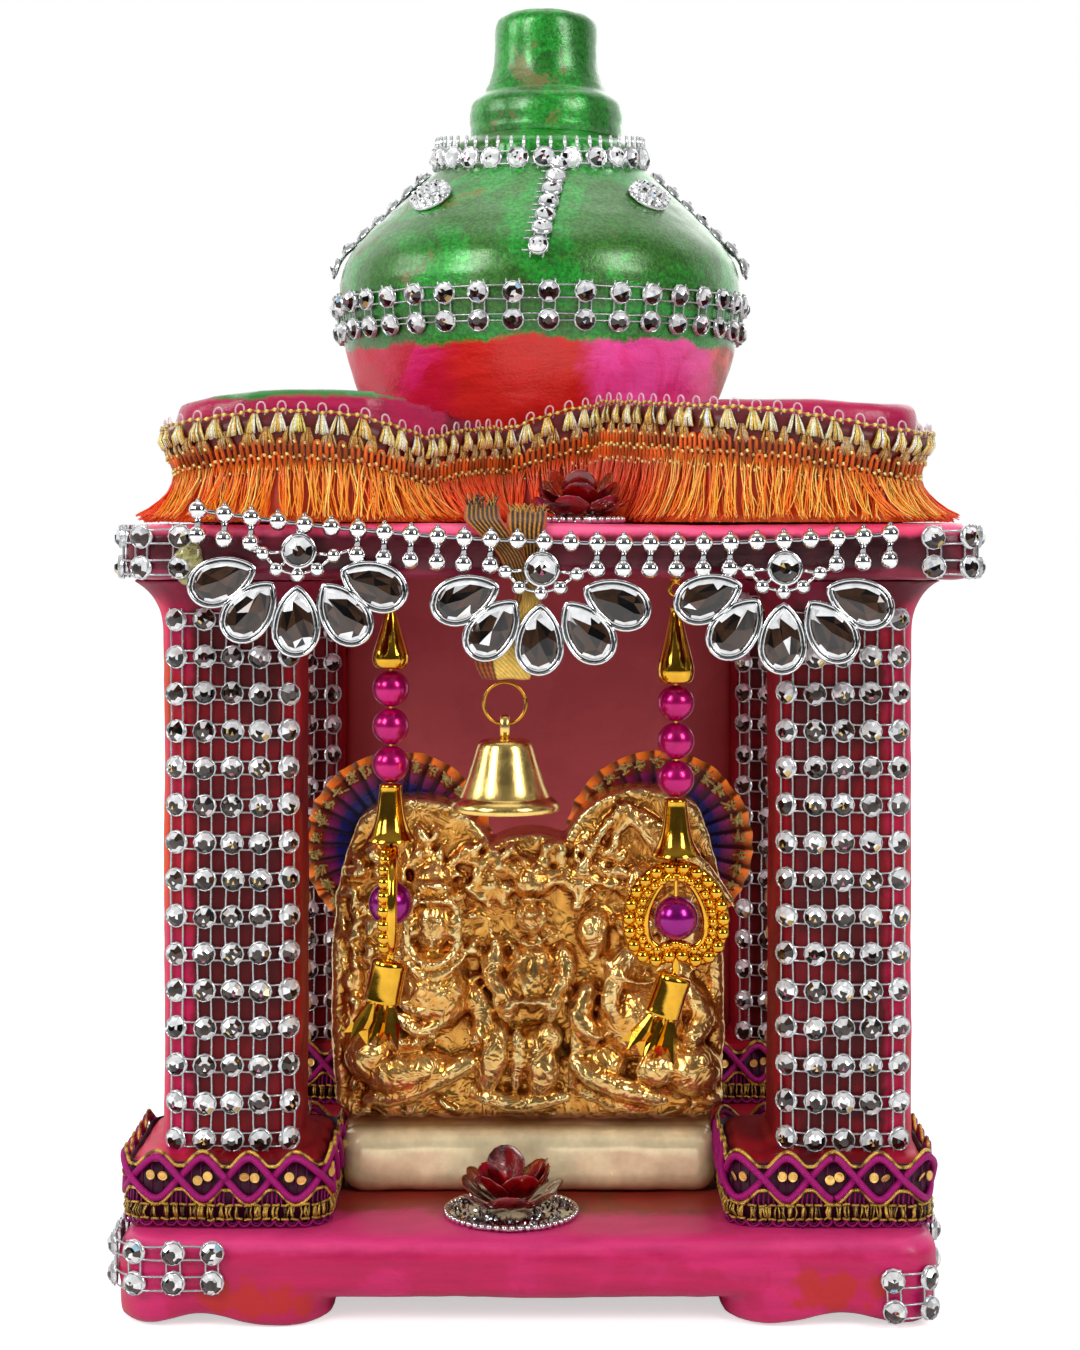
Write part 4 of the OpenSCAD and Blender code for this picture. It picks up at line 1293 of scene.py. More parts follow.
def mesh_band(heap, stones, surface, columns, rows, seed, ends, caps, lean=0.0):
    """Stones at columns x rows of a surface, with pairs of silver threads both ways.

    surface(s, h) gives places, outward normals and up directions. The threads run past the outer stones,
    by ends along the rows and by caps below and above.
    """
    r = size_of("thread") / 2
    columns, rows = np.asarray(columns, float), np.asarray(rows, float)

    def spot(s, h, lift=0.0):
        s, h = np.broadcast_arrays(np.asarray(s, float), np.asarray(h, float))
        wave = np.array([0.32 * wobble(a / 9, b / 5, seed) for a, b in zip(s.ravel(), h.ravel())])
        drift = np.array([0.25 * wobble(a / 6, b / 9, seed + 7) for a, b in zip(s.ravel(), h.ravel())])
        p, out, up = surface(s.ravel() + drift + lean * h.ravel(), h.ravel() + wave)
        return p + out * lift, out, up

    s, h = (x.ravel() for x in np.meshgrid(columns, rows))
    p, out, up = spot(s, h, 0.15)
    right = unit(np.cross(up, out))
    jig = np.random.default_rng(int(seed * 10) + 5).normal(size=(len(p), 3)) * 0.07
    out = unit(out + jig)
    right = unit(right - out * np.sum(right * out, 1, keepdims=True))
    stones.place(heap, frames(p, right, np.cross(out, right), out))
    silver = (0.52, 0.53, 0.54)
    low, high = rows.min() - caps[0], rows.max() + caps[1]
    first, last = columns.min() - ends[0], columns.max() + ends[1]
    for c in columns:
        for way in (-THREADS_APART, THREADS_APART):
            hs = np.arange(low, high + 0.1, 1.6)
            line, out, _ = spot(np.full(len(hs), c + way), hs, 0.35)
            out_ends = np.zeros(len(hs))
            out_ends[0] = out_ends[-1] = 0.5
            heap.tube(line + out * out_ends[:, None], r, 4, silver)
    for row in rows:
        for way in (-THREADS_APART, THREADS_APART):
            ss = np.arange(first, last + 0.1, 1.5)
            line, _, _ = spot(ss, np.full(len(ss), row + way), 0.62)
            heap.tube(line, r, 4, silver)


def wall_surface(outline):
    """Surface of an upright wall over an outline in plan."""
    def surface(s, h):
        xy, n = outline.at(np.mod(s, outline.length))
        p = np.concatenate([xy + n * 0.3, h[:, None]], 1)
        out = np.concatenate([n, np.zeros((len(n), 1))], 1)
        return p, out, np.tile((0.0, 0.0, 1.0), (len(p), 1))
    return surface


def turned_surface(profile, cx, cy, lift):
    """Surface of a spun wall: s is the distance round at the profile's start, h the height up its side."""
    run = run_of(profile)
    slope = unit(np.gradient(profile, axis=0))

    def surface(s, h):
        r, z = np.interp(h, run, profile[:, 0]), np.interp(h, run, profile[:, 1])
        dr, dz = np.interp(h, run, slope[:, 0]), np.interp(h, run, slope[:, 1])
        a = -pi / 2 + s / profile[0, 0]
        c, n = np.cos(a), np.sin(a)
        out = np.stack([dz * c, dz * n, -dr], 1)
        up = np.stack([dr * c, dr * n, dz], 1)
        p = np.stack([cx + r * c, cy + r * n, z], 1) + out * lift
        return p, out, up
    return surface


def mesh_materials():
    """Silver of the cups and threads, and the stones' facets."""
    silver = bpy.data.materials.get("Mesh silver") or tinted(
        "Mesh silver", 0.24, 0.3, 700, metallic=0.7, coat_weight=0.3, coat_roughness=0.12)
    facet = bpy.data.materials.get("Stone facet") or tinted(
        "Stone facet", 0.05, 0.06, 900, metallic=0.35, coat_weight=1.0, coat_roughness=0.03)
    return silver, facet


def finished_mesh(heap, name, node):
    """Makes a heap a piece of rhinestone mesh that stands for a CAD node."""
    finished(heap.build(name, *mesh_materials()), "root", "rhinestone_mesh", node)


class SHRINE_OT_post_mesh(PieceOperator):
    """Rhinestone mesh on the front and the back of each post, as far as its rounded corners"""
    bl_idname = "shrine.post_mesh"
    bl_label = "Post mesh"

    def build(self):
        """Fifteen rows of stones on the front and the back of each post."""
        stones = StoneSet(size_of("stone"), 11)
        pitch, rise = size_of("stone_gap_short"), size_of("stone_gap_long")
        rows = FLOOR_Z + 17.6 + rise * np.arange(15)
        for number, (row, side) in enumerate(CORNERS):
            x, y = post_middle(row, side)
            ring = round_rect(x, y, 2 * POST_HALF, 2 * POST_HALF, 8)
            if side == "right":
                ring = ring * (-1, 1) + (2 * x, 0)
            outline = Outline(ring, -1 if side == "right" else 1)
            front = -13.1 + (pitch - 0.4) * np.arange(5)
            heap = Heap()
            for columns in (front, outline.length / 2 - front[::-1]):
                mesh_band(heap, stones, wall_surface(outline), columns, rows, number * 3.1 + 0.7,
                          ends=(2.4, 2.4), caps=(2.6, 3.4))
            finished_mesh(heap, f"stones_{row}_{side}", f"post_mesh_{row}_{side}")


class SHRINE_OT_bands(PieceOperator):
    """Rhinestone bands round the base, the cornice and the dome, with the dome's strips and clusters"""
    bl_idname = "shrine.bands"
    bl_label = "Bands"

    def slab_band(self, name, stones, node, left, right, z, skip_right=False):
        """Two rows round a slab's sides and back."""
        low, high = box(node)
        rise, pitch = size_of("stone_gap_short"), size_of("stone_gap_long")
        w, d = (high - low)[:2]
        line = Outline(round_rect(*middle(node)[:2], w, d, 9))
        start, stop = w / 2 - left + 1.6, line.length - (w / 2 - right) - 1.6
        if skip_right:
            stop = line.length - (w / 2) - 14
        count = int((stop - start) / pitch)
        columns = np.linspace(start, stop, count + 1)
        heap = Heap()
        mesh_band(heap, stones, wall_surface(line), columns, (z, z + rise), 1.3 + z, ends=(1.6, 1.6),
                  caps=(2.2, 3.0))
        if skip_right:
            s = line.length - (w / 2) + np.array([2.0, 10.0])
            mesh_band(heap, stones, wall_surface(line), s, (3.8, 3.8 + rise), 6.1, ends=(2.0, 2.2),
                      caps=(2.2, 2.6), lean=0.05)
        finished_mesh(heap, name, node.replace("slab", "mesh"))

    def dome_bands(self, stones):
        """Belly band, neck band and strips."""
        rise, pitch = size_of("stone_gap_short"), size_of("stone_gap_long")
        profile = dome_profile()
        low = box("dome_band")[0][2] + 3.7
        run = profile[(profile[:, 1] > low - 4) & (profile[:, 1] < BELLY_Z + 2)]
        run = np.concatenate([[(np.interp(low, profile[:, 1], profile[:, 0]), low)], run[run[:, 1] > low]])
        around = 2 * pi * run[0, 0]
        columns = np.arange(0, around - 1, around / round(around / pitch)) + 2.1
        heap = Heap()
        surface = turned_surface(run, DOME_X, HOUSE_Y, 0.1)
        mesh_band(heap, stones, surface, columns, (0.0, rise), 4.7, ends=(pitch / 2, pitch / 2),
                  caps=(3.4, 3.6))
        finished_mesh(heap, "stones_belly", "dome_band")
        self.neck_band()
        cone = profile[profile[:, 1] > BELLY_Z - 2]
        heap = Heap()
        down = along_line(cone[::-1], 0.5)
        slope = unit(np.gradient(down, axis=0))
        steps = np.arange(len(down)) * 0.5
        shiny = StoneSet(size_of("stone") - 0.4, 29, True)
        for k, sway in enumerate((0.95, -0.35, -0.4, 0.3)):
            def strip(s, h):
                r, z, dr, dz = (np.interp(-h, steps, v) for v in (*down.T, *slope.T))
                a = -pi / 2 - k * pi / 2 + (s - sway * (-h - 14) / 6 + (2.6 if k == 0 else 0)) / r
                c, n = np.cos(a), np.sin(a)
                out, up = np.stack([-dz * c, -dz * n, dr], 1), np.stack([-dr * c, -dr * n, -dz], 1)
                return np.stack([DOME_X + r * c, HOUSE_Y + r * n, z], 1) + out * 0.4, out, up

            mesh_band(heap, shiny, strip, (0.0,), -2.6 - 5.0 * np.arange(7), 8.8 + k, ends=(3.6, 3.6),
                      caps=(3.0, 2.0))
        finished_mesh(heap, "stones_strips", "dome_strips")

    def neck_band(self):
        """One row round the neck, lower and wider at the front, with its prongs standing up."""
        heap, round_r = Heap(), 26.4

        def surface(s, h):
            a = -pi / 2 + s / round_r
            front = np.clip(-np.sin(a), 0, 1) ** 1.5
            r = 25.6 + 2.9 * front - h * (0.05 + 0.14 * front)
            z = NECK_Z - 7.8 - 3.4 * front + h
            out = unit(np.stack([np.cos(a), np.sin(a), 0.05 + 0.14 * front], 1))
            p = np.stack([DOME_X + r * np.cos(a), HOUSE_Y + r * np.sin(a), z], 1)
            return p, out, np.tile((0.0, 0.0, 1.0), (len(p), 1))

        count = 27
        columns = 2 * pi * round_r / count * np.arange(count) + 1.0
        mesh_band(heap, StoneSet(size_of("stone") + 0.2, 17, True), surface, columns, (3.0,), 2.9,
                  ends=(3.0, 3.0), caps=(3.0, 5.4))
        for c in columns:
            for way in (-THREADS_APART, THREADS_APART):
                p, out, _ = surface(np.full(3, c + way), np.array([5.2, 6.6, 8.2]))
                heap.tube(p + out * (0.6, 0.8, 0.7), (0.3, 0.5, 0.34), 6, (0.86, 0.87, 0.89))
        finished_mesh(heap, "stones_neck", "neck_band")

    def clusters(self):
        """Oval clusters of little stones between the strips."""
        heap = Heap()
        small = StoneSet(2.1, 5, True)
        z = NECK_Z - 17.6
        profile = dome_profile()
        r = np.interp(z, profile[:, 1], profile[:, 0])
        slope = radians(CONE)
        for k in range(4):
            a = radians(45 + 90 * k)
            out = np.array((sin(slope) * cos(a), sin(slope) * sin(a), cos(slope)))
            right = np.array((-sin(a), cos(a), 0.0))
            up = np.cross(out, right)
            centre = np.array((DOME_X + r * cos(a), HOUSE_Y + r * sin(a), z))
            spots = [(0, 0)] + [(1.9 * cos(t) * 1.15, 1.75 * sin(t)) for t in
                                np.arange(6) * pi / 3]
            spots += [(4.3 * cos(t) * 1.1, 3.3 * sin(t)) for t in np.arange(12) * pi / 6]
            places = []
            for i, (x, y) in enumerate(spots):
                lift = 1.5 if i < 7 else 0.7
                o = unit(out + 0.16 * (right * x + up * y) / 3)
                rt = unit(right - o * (right @ o))
                places.append(frames(np.array([centre + right * x + up * y + out * lift]), rt,
                                     np.cross(o, rt), o)[0])
            small.place(heap, np.array(places))
            ring = np.array([centre + right * 5.4 * cos(t) + up * 4.3 * sin(t) + out * 0.5
                             for t in turns(28)])
            heap.tube(ring, 0.5, 6, (0.85, 0.86, 0.87), closed=True)
            disc = np.concatenate([[centre + out * 0.9], ring])
            heap.faces(disc, [(0, 1 + i, 1 + (i + 1) % 28) for i in range(28)], (0.7, 0.7, 0.72))
        finished_mesh(heap, "stones_clusters", "dome_medallions")

    def build(self):
        """All the bands."""
        stones = StoneSet(size_of("stone"), 23)
        self.slab_band("stones_cornice", stones, "cornice_slab", 14.6, 12, CORNICE_Z + 2.7)
        self.slab_band("stones_base", stones, "base_slab", 23, 12, box("base_mesh")[0][2] + 8.6, True)
        self.dome_bands(stones)
        self.clusters()


# ---------- fringe round the canopy ----------

# Height of the braid above the canopy's rim along the front, against x
BRAID_X = (-95, -84, -77, -63, -56, -42, -34, -28, -21, -14, -7, 0, 7, 15, 21, 34, 40, 52, 65, 77, 84, 95)
BRAID_Z = (191.6, 192.6, 194.4, 196.8, 197.1, 196.2, 193.6, 191.4, 193.4, 194.3, 194.7, 197.3, 199.3, 200.3,
           199.8, 198.4, 197.9, 197.0, 194.6, 192.4, 192.6, 192.6)


class FringeLine:
    """The canopy's outline by distance, with the braid's height."""

    def __init__(self):
        a = np.arange(-90, 270.2, 0.25)
        r = canopy_r(a) + 0.5
        rad = np.radians(a)
        p = np.stack([CANOPY_X + r * np.cos(rad), CANOPY_Y + r * np.sin(rad)], 1)
        self.run = run_of(p)
        self.length = self.run[-1]
        t = unit(np.gradient(p, axis=0))
        n = np.stack([t[:, 1], -t[:, 0]], 1)
        kernel = np.ones(41) / 41
        n = unit(np.stack([np.convolve(np.pad(v, 20, mode="wrap"), kernel, "valid") for v in n.T], 1))
        rim = ROOF_Z + canopy_top(a)
        plain = rim - 3.8 + 0.6 * np.sin(rad * 7)
        front = smooth((-p[:, 1] - 34) / 14)
        measured = np.interp(p[:, 0], BRAID_X, BRAID_Z)
        columns = (plain + (measured - plain) * front, canopy_swell(a))
        self.table = np.concatenate([p, n, np.stack(columns, 1)], 1)

    def at(self, s):
        """Plan point, outward normal and braid height at distances s."""
        v = look_up(np.mod(s, self.length), self.run, self.table)
        return v[:, :2], unit(v[:, 2:4]), v[:, 4]

    def swell(self, s, z):
        """How far the rim pushes a spot out at height z."""
        s = np.mod(s, self.length)
        return np.interp(s, self.run, self.table[:, 5]) * smooth((z - ROOF_Z - 10.5) / 9) * 1.2


class SHRINE_OT_fringe(PieceOperator):
    """Silk fringe with a braid, gold tufts and crochet bars"""
    bl_idname = "shrine.fringe"
    bl_label = "Fringe"

    def spot(self, s, down, out):
        """Places at distance s along, down below the braid and out from the canopy."""
        p, n, z = self.line.at(s)
        out = out + self.line.swell(s, z - down)
        return np.concatenate([p + n * out.reshape(-1, 1), (z - down)[:, None]], 1)

    def level(self, s, out, z):
        """Places at height z, out from the canopy's foot."""
        p, n, _ = self.line.at(s)
        out = np.broadcast_to(out, len(s)).reshape(-1, 1)
        return np.concatenate([p + n * out, np.full((len(s), 1), z)], 1)

    def dip_shade(self, y):
        """How far a spot lies in the front dip, where the silk and tape are painted redder and darker as the
        dip's shade.
        """
        return 0.8 * smooth((y + 71) / 10) * smooth((-y - 32) / 12)

    def tape(self):
        """The tape that carries everything, and the dark underlayer under the silk, painted as shade between
        and under the strands.
        """
        s = np.linspace(0, self.line.length, 420)[:-1]
        levels = [(0.6, 0.8), (3.0, 1.3), (6.2, 1.4), (11.0, 1.5), (14.5, 2.2)]
        rows = [self.spot(s, d, o) for d, o in levels]
        hem = rows[-1]
        rows += [self.level(s, 3.4, ROOF_Z + 2.4), self.level(s, 5.8 + 0.8 * np.sin(s * 0.9), ROOF_Z + 0.5)]
        rows = [self.spot(s, 0.6, 0.1)] + rows + [self.level(s, 0.1, ROOF_Z + 0.3)]
        # Dark rows are painted shade between and under the strands; the orange rows stand for the silk.
        woven = [srgb(104, 12, 28), srgb(104, 12, 28), srgb(92, 8, 16), srgb(112, 14, 12), srgb(140, 24, 6),
                 srgb(176, 40, 6), srgb(206, 66, 6), srgb(232, 96, 12), srgb(120, 20, 20)]
        m, n = len(rows), len(s)
        tint = np.repeat(np.array(woven), n, 0).reshape(m, n, 3)
        dip_shade = self.dip_shade(hem[:, 1])[None, :, None] * (np.arange(m) > 3)[:, None, None]
        tint = (tint + (np.array(srgb(150, 16, 6)) - tint) * dip_shade).reshape(-1, 3)
        self.woven.faces(np.concatenate(rows), net(m, n, True)[:, (0, 3, 2, 1)], tint)

    def strands(self, rng):
        """Silk strands that fall from the bars and spread over the cornice."""
        step = size_of("strand")
        t = np.array([0, 0.2, 0.42, 0.64, 0.84, 1.0])
        silk = [np.array(colours().fringe)] + [np.array(srgb(*c)) for c in (
            (255, 158, 40), (255, 180, 66), (254, 130, 18), (255, 204, 104), (244, 104, 10))]
        deep = np.array(srgb(232, 84, 8))
        for layer in (0, 1, 2):
            start = np.arange(0, self.line.length, step)
            start = start + rng.random(int(self.line.length / step) + 1)[:len(start)] * 0.5
            centre = (np.floor(start / 3.1) + 0.5) * 3.1
            centre = centre + np.array([1.4 * wobble(c * 3.7, layer) for c in centre])
            slant = [5.6 * wobble(c / 15, 3.1 + layer // 2) + 1.8 * wobble(c / 3, 9.0) for c in centre]
            far = 7.6 + np.array([2.2 * wobble(c / 7, 5.5) for c in centre])
            far = far + rng.normal(size=len(start)) * 0.6
            far = far + 1.4 * np.abs(self.line.at(start)[1][:, 0]) ** 3
            for s0, c, lean, out in zip(start, centre, slant, far):
                stray = rng.normal() * (2.2 if rng.random() < 0.08 else 0.35)
                s = s0 + (c - s0) * 0.5 * np.sin(t * 2.0) + (lean + stray) * t ** 1.5
                s = s + 0.4 * sin(s0 * 9) * np.sin(t * 7 + s0)
                p, n, z = self.line.at(s)
                top, low = z - 11.4 + 0.4 * layer, ROOF_Z + 0.3 + 0.5 * layer + 0.8 * rng.random()
                away = 1.7 + 0.6 * layer + (out - 1.7) * (0.16 * t + 0.84 * t ** 2.2)
                height = top + (low - top) * (1 - (1 - t) ** 1.25) + 0.5 * layer * np.sin(t * 3.1)
                line = np.concatenate([p + n * away[:, None], height[:, None]], 1)
                tint = silk[rng.integers(6)] if layer else deep * (0.6 + 0.6 * rng.random())
                # Redder in the front dip, as painted shade.
                tint = tint + (np.array(srgb(232, 34, 6)) - tint) * self.dip_shade(p[0, 1])
                shade = (0.72 + 0.5 * np.sin(t * 2.2))[:, None]
                self.silk.tube(line, 0.26 - 0.09 * t, 3, np.clip(tint * shade, 0, 1), flat=0.8)

    def bars(self, rng):
        """Two courses of crochet bars, upturned loops, with gold specks between the courses."""
        orange, speck = np.array(srgb(244, 104, 20)), np.array(srgb(255, 222, 130))
        count = int(self.line.length / 2.5)
        for k in range(count):
            s0 = (k + 0.5) * self.line.length / count
            lean = 0.5 * wobble(s0 / 8, 6.0)
            for foot, height, shift in ((9.6, 3.2, 0.0), (12.7, 3.2, 1.25)):
                height = height + 0.5 * wobble(s0 / 6, 2.0) + 0.15 * rng.normal()
                turn = np.linspace(0, pi, 6)
                s = np.concatenate([[s0 - 0.6], s0 - 0.6 * np.cos(turn), [s0 + 0.6]]) + shift
                down = np.concatenate([[foot], foot - height + 0.7 - 0.8 * np.sin(turn), [foot]])
                line = self.spot(s + lean * (foot - down) / 5, down, 1.9 + 0.04 * foot)
                self.silk.tube(line, 0.42, 4, orange * (0.4 + 0.7 * rng.random() ** 1.4))
            for ds, d in ((0.0, 6.4), (1.25, 9.1), (0.0, 9.7), (1.25, 12.4), (0.0, 12.9)):
                s = np.array([s0 + ds, s0 + ds + 0.25]) + rng.normal() * 0.15
                p = self.spot(s, d + rng.normal() * 0.15, 2.7)
                p[1, 2] -= 0.6
                self.foil.tube(p, 0.36, 4, np.clip(speck * (0.5 + rng.random()), 0, 1))

    def tufts(self, rng):
        """Two staggered rows of tapered gold tufts."""
        count = int(self.line.length / size_of("tuft"))
        for row in (0, 1):
            for k in range(count):
                s0 = (k + 0.5 * row + 0.12 * rng.normal()) * self.line.length / count
                top, tall, wide = (0.6, 4.2, 1.8) if row == 0 else (3.5, 4.0, 1.7)
                light = 0.95 + 0.5 * rng.random()
                for _ in range(15):
                    side = rng.uniform(-1, 1)
                    s = s0 + side * np.array([0.32, 0.7, 1.0]) * wide
                    down = top + np.array([0.0, 0.55, 1.0]) * tall * (1 - 0.12 * rng.random())
                    out = 1.6 + np.array([0.1, 0.75, 0.55]) + 0.5 * rng.random() * (1 - abs(side))
                    shade = (srgb(240, 206, 116), srgb(255, 250, 216), srgb(216, 170, 70),
                             srgb(130, 92, 20))[rng.choice(4, p=(0.35, 0.33, 0.2, 0.12))]
                    shade = np.clip(np.array(shade) * light, 0, 1) * ((1, 1, 1), (0.66, 0.46, 0.3))[row]
                    line = self.spot(s, down, out - 0.25 * row)
                    self.foil.tube(line, (0.3, 0.56, 0.5), 4, shade, flat=0.55)

    def braid(self):
        """Twisted gold cord along the top, with clear loops above it."""
        s = np.arange(0, self.line.length, 0.55)
        line = self.spot(s, 0.2 * np.sin(s * 1.1), 1.9)
        # Painted shade and highlight: darker in the narrow grooves of the twist, lighter on its swellings.
        tint = np.array([srgb(255, 222, 110) if k % 3 == 1 else srgb(150, 100, 20) for k in range(len(s))])
        self.foil.tube(line, np.where(np.arange(len(s)) % 3 == 1, 0.52, 0.26), 6, tint, closed=True)
        count = int(self.line.length / size_of("tuft"))
        for k in range(count):
            s0 = (k + 0.1) * self.line.length / count
            turn = np.linspace(0, pi, 8)
            s = np.concatenate([[s0 - 0.75], s0 - 0.85 * np.cos(turn), [s0 + 0.75]])
            down = np.concatenate([[0.9], -0.9 - 1.1 * np.sin(turn), [0.9]])
            self.loops.tube(self.spot(s, down, 1.3), 0.22, 5, (0.86, 0.66, 0.72))

    def build(self):
        """Silk, foil and clear thread, each its own piece."""
        rng = np.random.default_rng(77)
        self.line = FringeLine()
        self.woven, self.silk, self.foil, self.loops = Heap(), Heap(), Heap(), Heap()
        self.tape()
        self.strands(rng)
        self.bars(rng)
        self.tufts(rng)
        self.braid()
        # A faint glow in the silk's own colour: painted light shining through the silk.
        silk = tinted("Silk", 0.42, 0.2, 900, sheen_weight=0.3, sheen_roughness=0.4, emission_strength=0.05)
        t, bsdf, colour = shader_of(silk)
        feed(t, bsdf, {"Sheen Tint": (1, 0.6, 0.25, 1), "Emission Color": colour})
        gold = tinted("Fringe foil", 0.26, 0.3, 1600, 0.12, metallic=0.35, coat_weight=0.6,
                      coat_roughness=0.1)
        clear = tinted("Clear thread", 0.15, 0.1, 900, alpha=0.4)
        tape = finished(outward(self.woven.build("fringe_tape", silk)), "root", "fringe", "canopy_fringe")
        others = [finished(self.silk.build("fringe", silk), "root", "fringe"),
                  finished(self.foil.build("fringe_gold", gold), "root", "fringe"),
                  finished(self.loops.build("fringe_loops", clear), "root", "fringe")]


# ---------- lace round the plinths ----------

LACE_MIDDLE = 10.8      # where the two cords cross, above the lace's lower edge


class SHRINE_OT_lace(PieceOperator):
    """Gimp lace round each plinth"""
    bl_idname = "shrine.lace"
    bl_label = "Lace"

    def band(self, low, high, seed):
        """Cords, gold edging, sequins, ladder and gold strip of one plinth."""
        rng = np.random.default_rng(seed)
        cord, gold, sequins = Heap(), Heap(), Heap()
        w, d = high[0] - low[0] - 2, high[1] - low[1] - 2
        line = Outline(round_rect((low[0] + high[0]) / 2, (low[1] + high[1]) / 2, w, d, 6))
        waves = round(line.length / size_of("lace_wave"))
        wave = line.length / waves
        shift = rng.random() * wave
        base = low[2] - 0.3

        def spot(s, h, out):
            xy, n = line.at(np.mod(s, line.length))
            sag = np.array([0.55 * wobble(x / 26, seed) for x in s])
            out = np.broadcast_to(out, s.shape)
            return np.concatenate([xy + n * (out[:, None] + 0.25), (base + h + sag)[:, None]], 1)

        s = np.arange(0, line.length, 0.7)
        phase = 2 * pi * (s + shift) / wave
        purple = np.array(colours().lace)
        for way in (1, -1):
            h = LACE_MIDDLE + way * 4.0 * np.sin(phase) * (1 - 0.12 * np.cos(2 * phase))
            out = 1.15 + 0.45 * way * np.cos(phase)
            cord.tube(spot(s, h, out), 0.8, 7, purple, closed=True)
        ridge = 4.0 * np.abs(np.sin(phase)) * (1 - 0.12 * np.cos(2 * phase))
        edge = 1.35 + np.maximum(ridge, 1.2)
        for level in (LACE_MIDDLE + edge, LACE_MIDDLE - edge):
            tint = np.array([srgb(240, 194, 76) if rng.random() < 0.7 else srgb(130, 84, 20) for _ in s])
            gold.tube(spot(s, level, 0.9), 0.42, 5, tint, closed=True)
        backing = Heap()
        rows = [spot(s, h, o) for h, o in ((1.4, 0.2), (14.0, 0.2), (14.0, -0.15), (1.4, -0.15))]
        backing.faces(np.concatenate(rows), net(4, len(s), True), srgb(64, 4, 40))
        for k in range(int(line.length / 1.05)):
            s0 = k * 1.05 + rng.normal() * 0.1
            bulge = abs(sin(pi * 2 * (s0 + shift) / wave))
            low_h, high_h = LACE_MIDDLE - 3.5 * bulge, LACE_MIDDLE + 3.5 * bulge
            if bulge > 0.3 and k % 2:
                rung = np.array([low_h, LACE_MIDDLE, high_h])
                cord.tube(spot(s0 + np.array((0, 0.12, 0)), rung, 0.55), 0.15, 3, purple * 0.55)
            foot = np.array([low_h - 1.2, 5.6, 4.6])
            if foot[0] > 5.2:
                cord.tube(spot(s0 + np.array((0, 0.2, -0.1)), foot, 0.6), 0.26, 4,
                          purple * (0.5 + 0.4 * rng.random()))
        self.sequin_pairs(sequins, spot, wave, shift, waves, rng)
        self.strip(gold, cord, spot, line.length, rng, purple)
        return backing, line.length, (cord, gold, sequins)

    def sequin_pairs(self, heap, spot, wave, shift, waves, rng):
        """Two round sequins in each oval."""
        deselect()
        bpy.ops.mesh.primitive_cylinder_add(vertices=12, radius=1.08 * MM, depth=0.22 * MM)
        disc = fresh("sequin")
        edit(disc, lambda: bpy.ops.mesh.inset(thickness=0.55 * MM, depth=-0.18 * MM),
             lambda f: abs(f.normal.z) > 0.9, "FACE")
        shape = Shape(disc)
        for k in range(waves * 2):
            s0 = (k + 0.5) * wave / 2 - shift
            for way in (-1.25, 1.2):
                s = np.array([s0 + way + 0.2 * rng.normal(), s0 + way + 0.3])
                p = spot(s, 10.9 + 0.3 * rng.normal(), 1.0)
                right = unit(p[1] - p[0])
                out = unit(np.array((right[1], -right[0], 0)) * -1 + rng.normal(size=3) * 0.28)
                centre = p[0]
                if np.dot(out[:2], spot(s, 10.0, 2.0)[0][:2] - centre[:2]) < 0:
                    out = -out
                right = unit(right - out * (right @ out))
                tint = np.array(srgb(246, 196, 106)) * (0.8 + 0.4 * rng.random())
                heap.stamp(shape, frames(centre[None], right, np.cross(out, right), out), tint)

    def strip(self, gold, cord, spot, length, rng, purple):
        """Square gold links between two cords, and purple scallops below."""
        count = int(length / 2.0)
        for k in range(count):
            s0 = (k + 0.5) * length / count
            for _ in range(4):
                ds = rng.uniform(-0.75, 0.75)
                a, b = rng.uniform(-0.5, 0.3, 2)
                p = spot(np.array([s0 + ds + a, s0 + ds, s0 + ds + b]), np.array([2.1, 3.5, 4.9]),
                         (0.8, 1.25 + 0.25 * rng.random(), 0.8))
                shade = srgb(232, 190, 84) if rng.random() < 0.75 else srgb(96, 62, 20)
                gold.tube(p, 0.3, 4, np.array(shade) * (0.7 + 0.5 * rng.random()), flat=0.6)
            for h in (1.9, 5.0):
                p = spot(np.array([s0 - 0.8, s0, s0 + 0.8]), h + 0.15 * rng.normal(size=3), 1.15)
                gold.tube(p, 0.3, 4, np.array(srgb(222, 176, 70)) * (0.7 + 0.5 * rng.random()))
        for k in range(int(length / 2.6)):
            s0 = (k + 0.5) * 2.6
            turn = np.linspace(0, pi, 7)
            h = 1.7 - 1.35 * np.sin(turn)
            cord.tube(spot(s0 - 1.25 * np.cos(turn), h, 0.95), 0.3, 4, purple * (0.6 + 0.4 * rng.random()))
            cord.tube(spot(s0 - 0.8 * np.cos(turn), h * 0.8 + 0.5, 0.5), 0.24, 4, purple * 0.45)

    def build(self):
        """Lace for the four plinths."""
        cloth = tinted("Lace cord", 0.5, 0.2, 1200, 0.18, thread=0.9, specular_ior_level=0.3)
        gold = tinted("Lace gold", 0.28, 0.25, 1500, 0.1, thread=0.8, metallic=0.5, coat_weight=0.4)
        disc = tinted("Sequin", 0.42, 0.2, 900, metallic=0.45)
        for seed, (row, side) in enumerate(CORNERS):
            node = f"lace_{row}_{side}"
            low, high = box(node)
            backing, length, heaps = self.band(low, high, seed + 1)
            band = finished(outward(backing.build(node + "_band", cloth)), "root", "lace", node)
            kinds = (("gimp", cloth, "lace"), ("gimp_gold", gold, "gold_bead"),
                     ("sequins", disc, "gold_bead"))
            others = [finished(heap.build(f"{kind}_{row}_{side}", finish), "root", slot)
                      for heap, (kind, finish, slot) in zip(heaps, kinds)]


# ---------- ball trim and fans ----------

TRIM_Y = CORNICE_FRONT - 1.9
FAN_PITCH, FAN_SILVER = 51.7, (0.88, 0.89, 0.9)
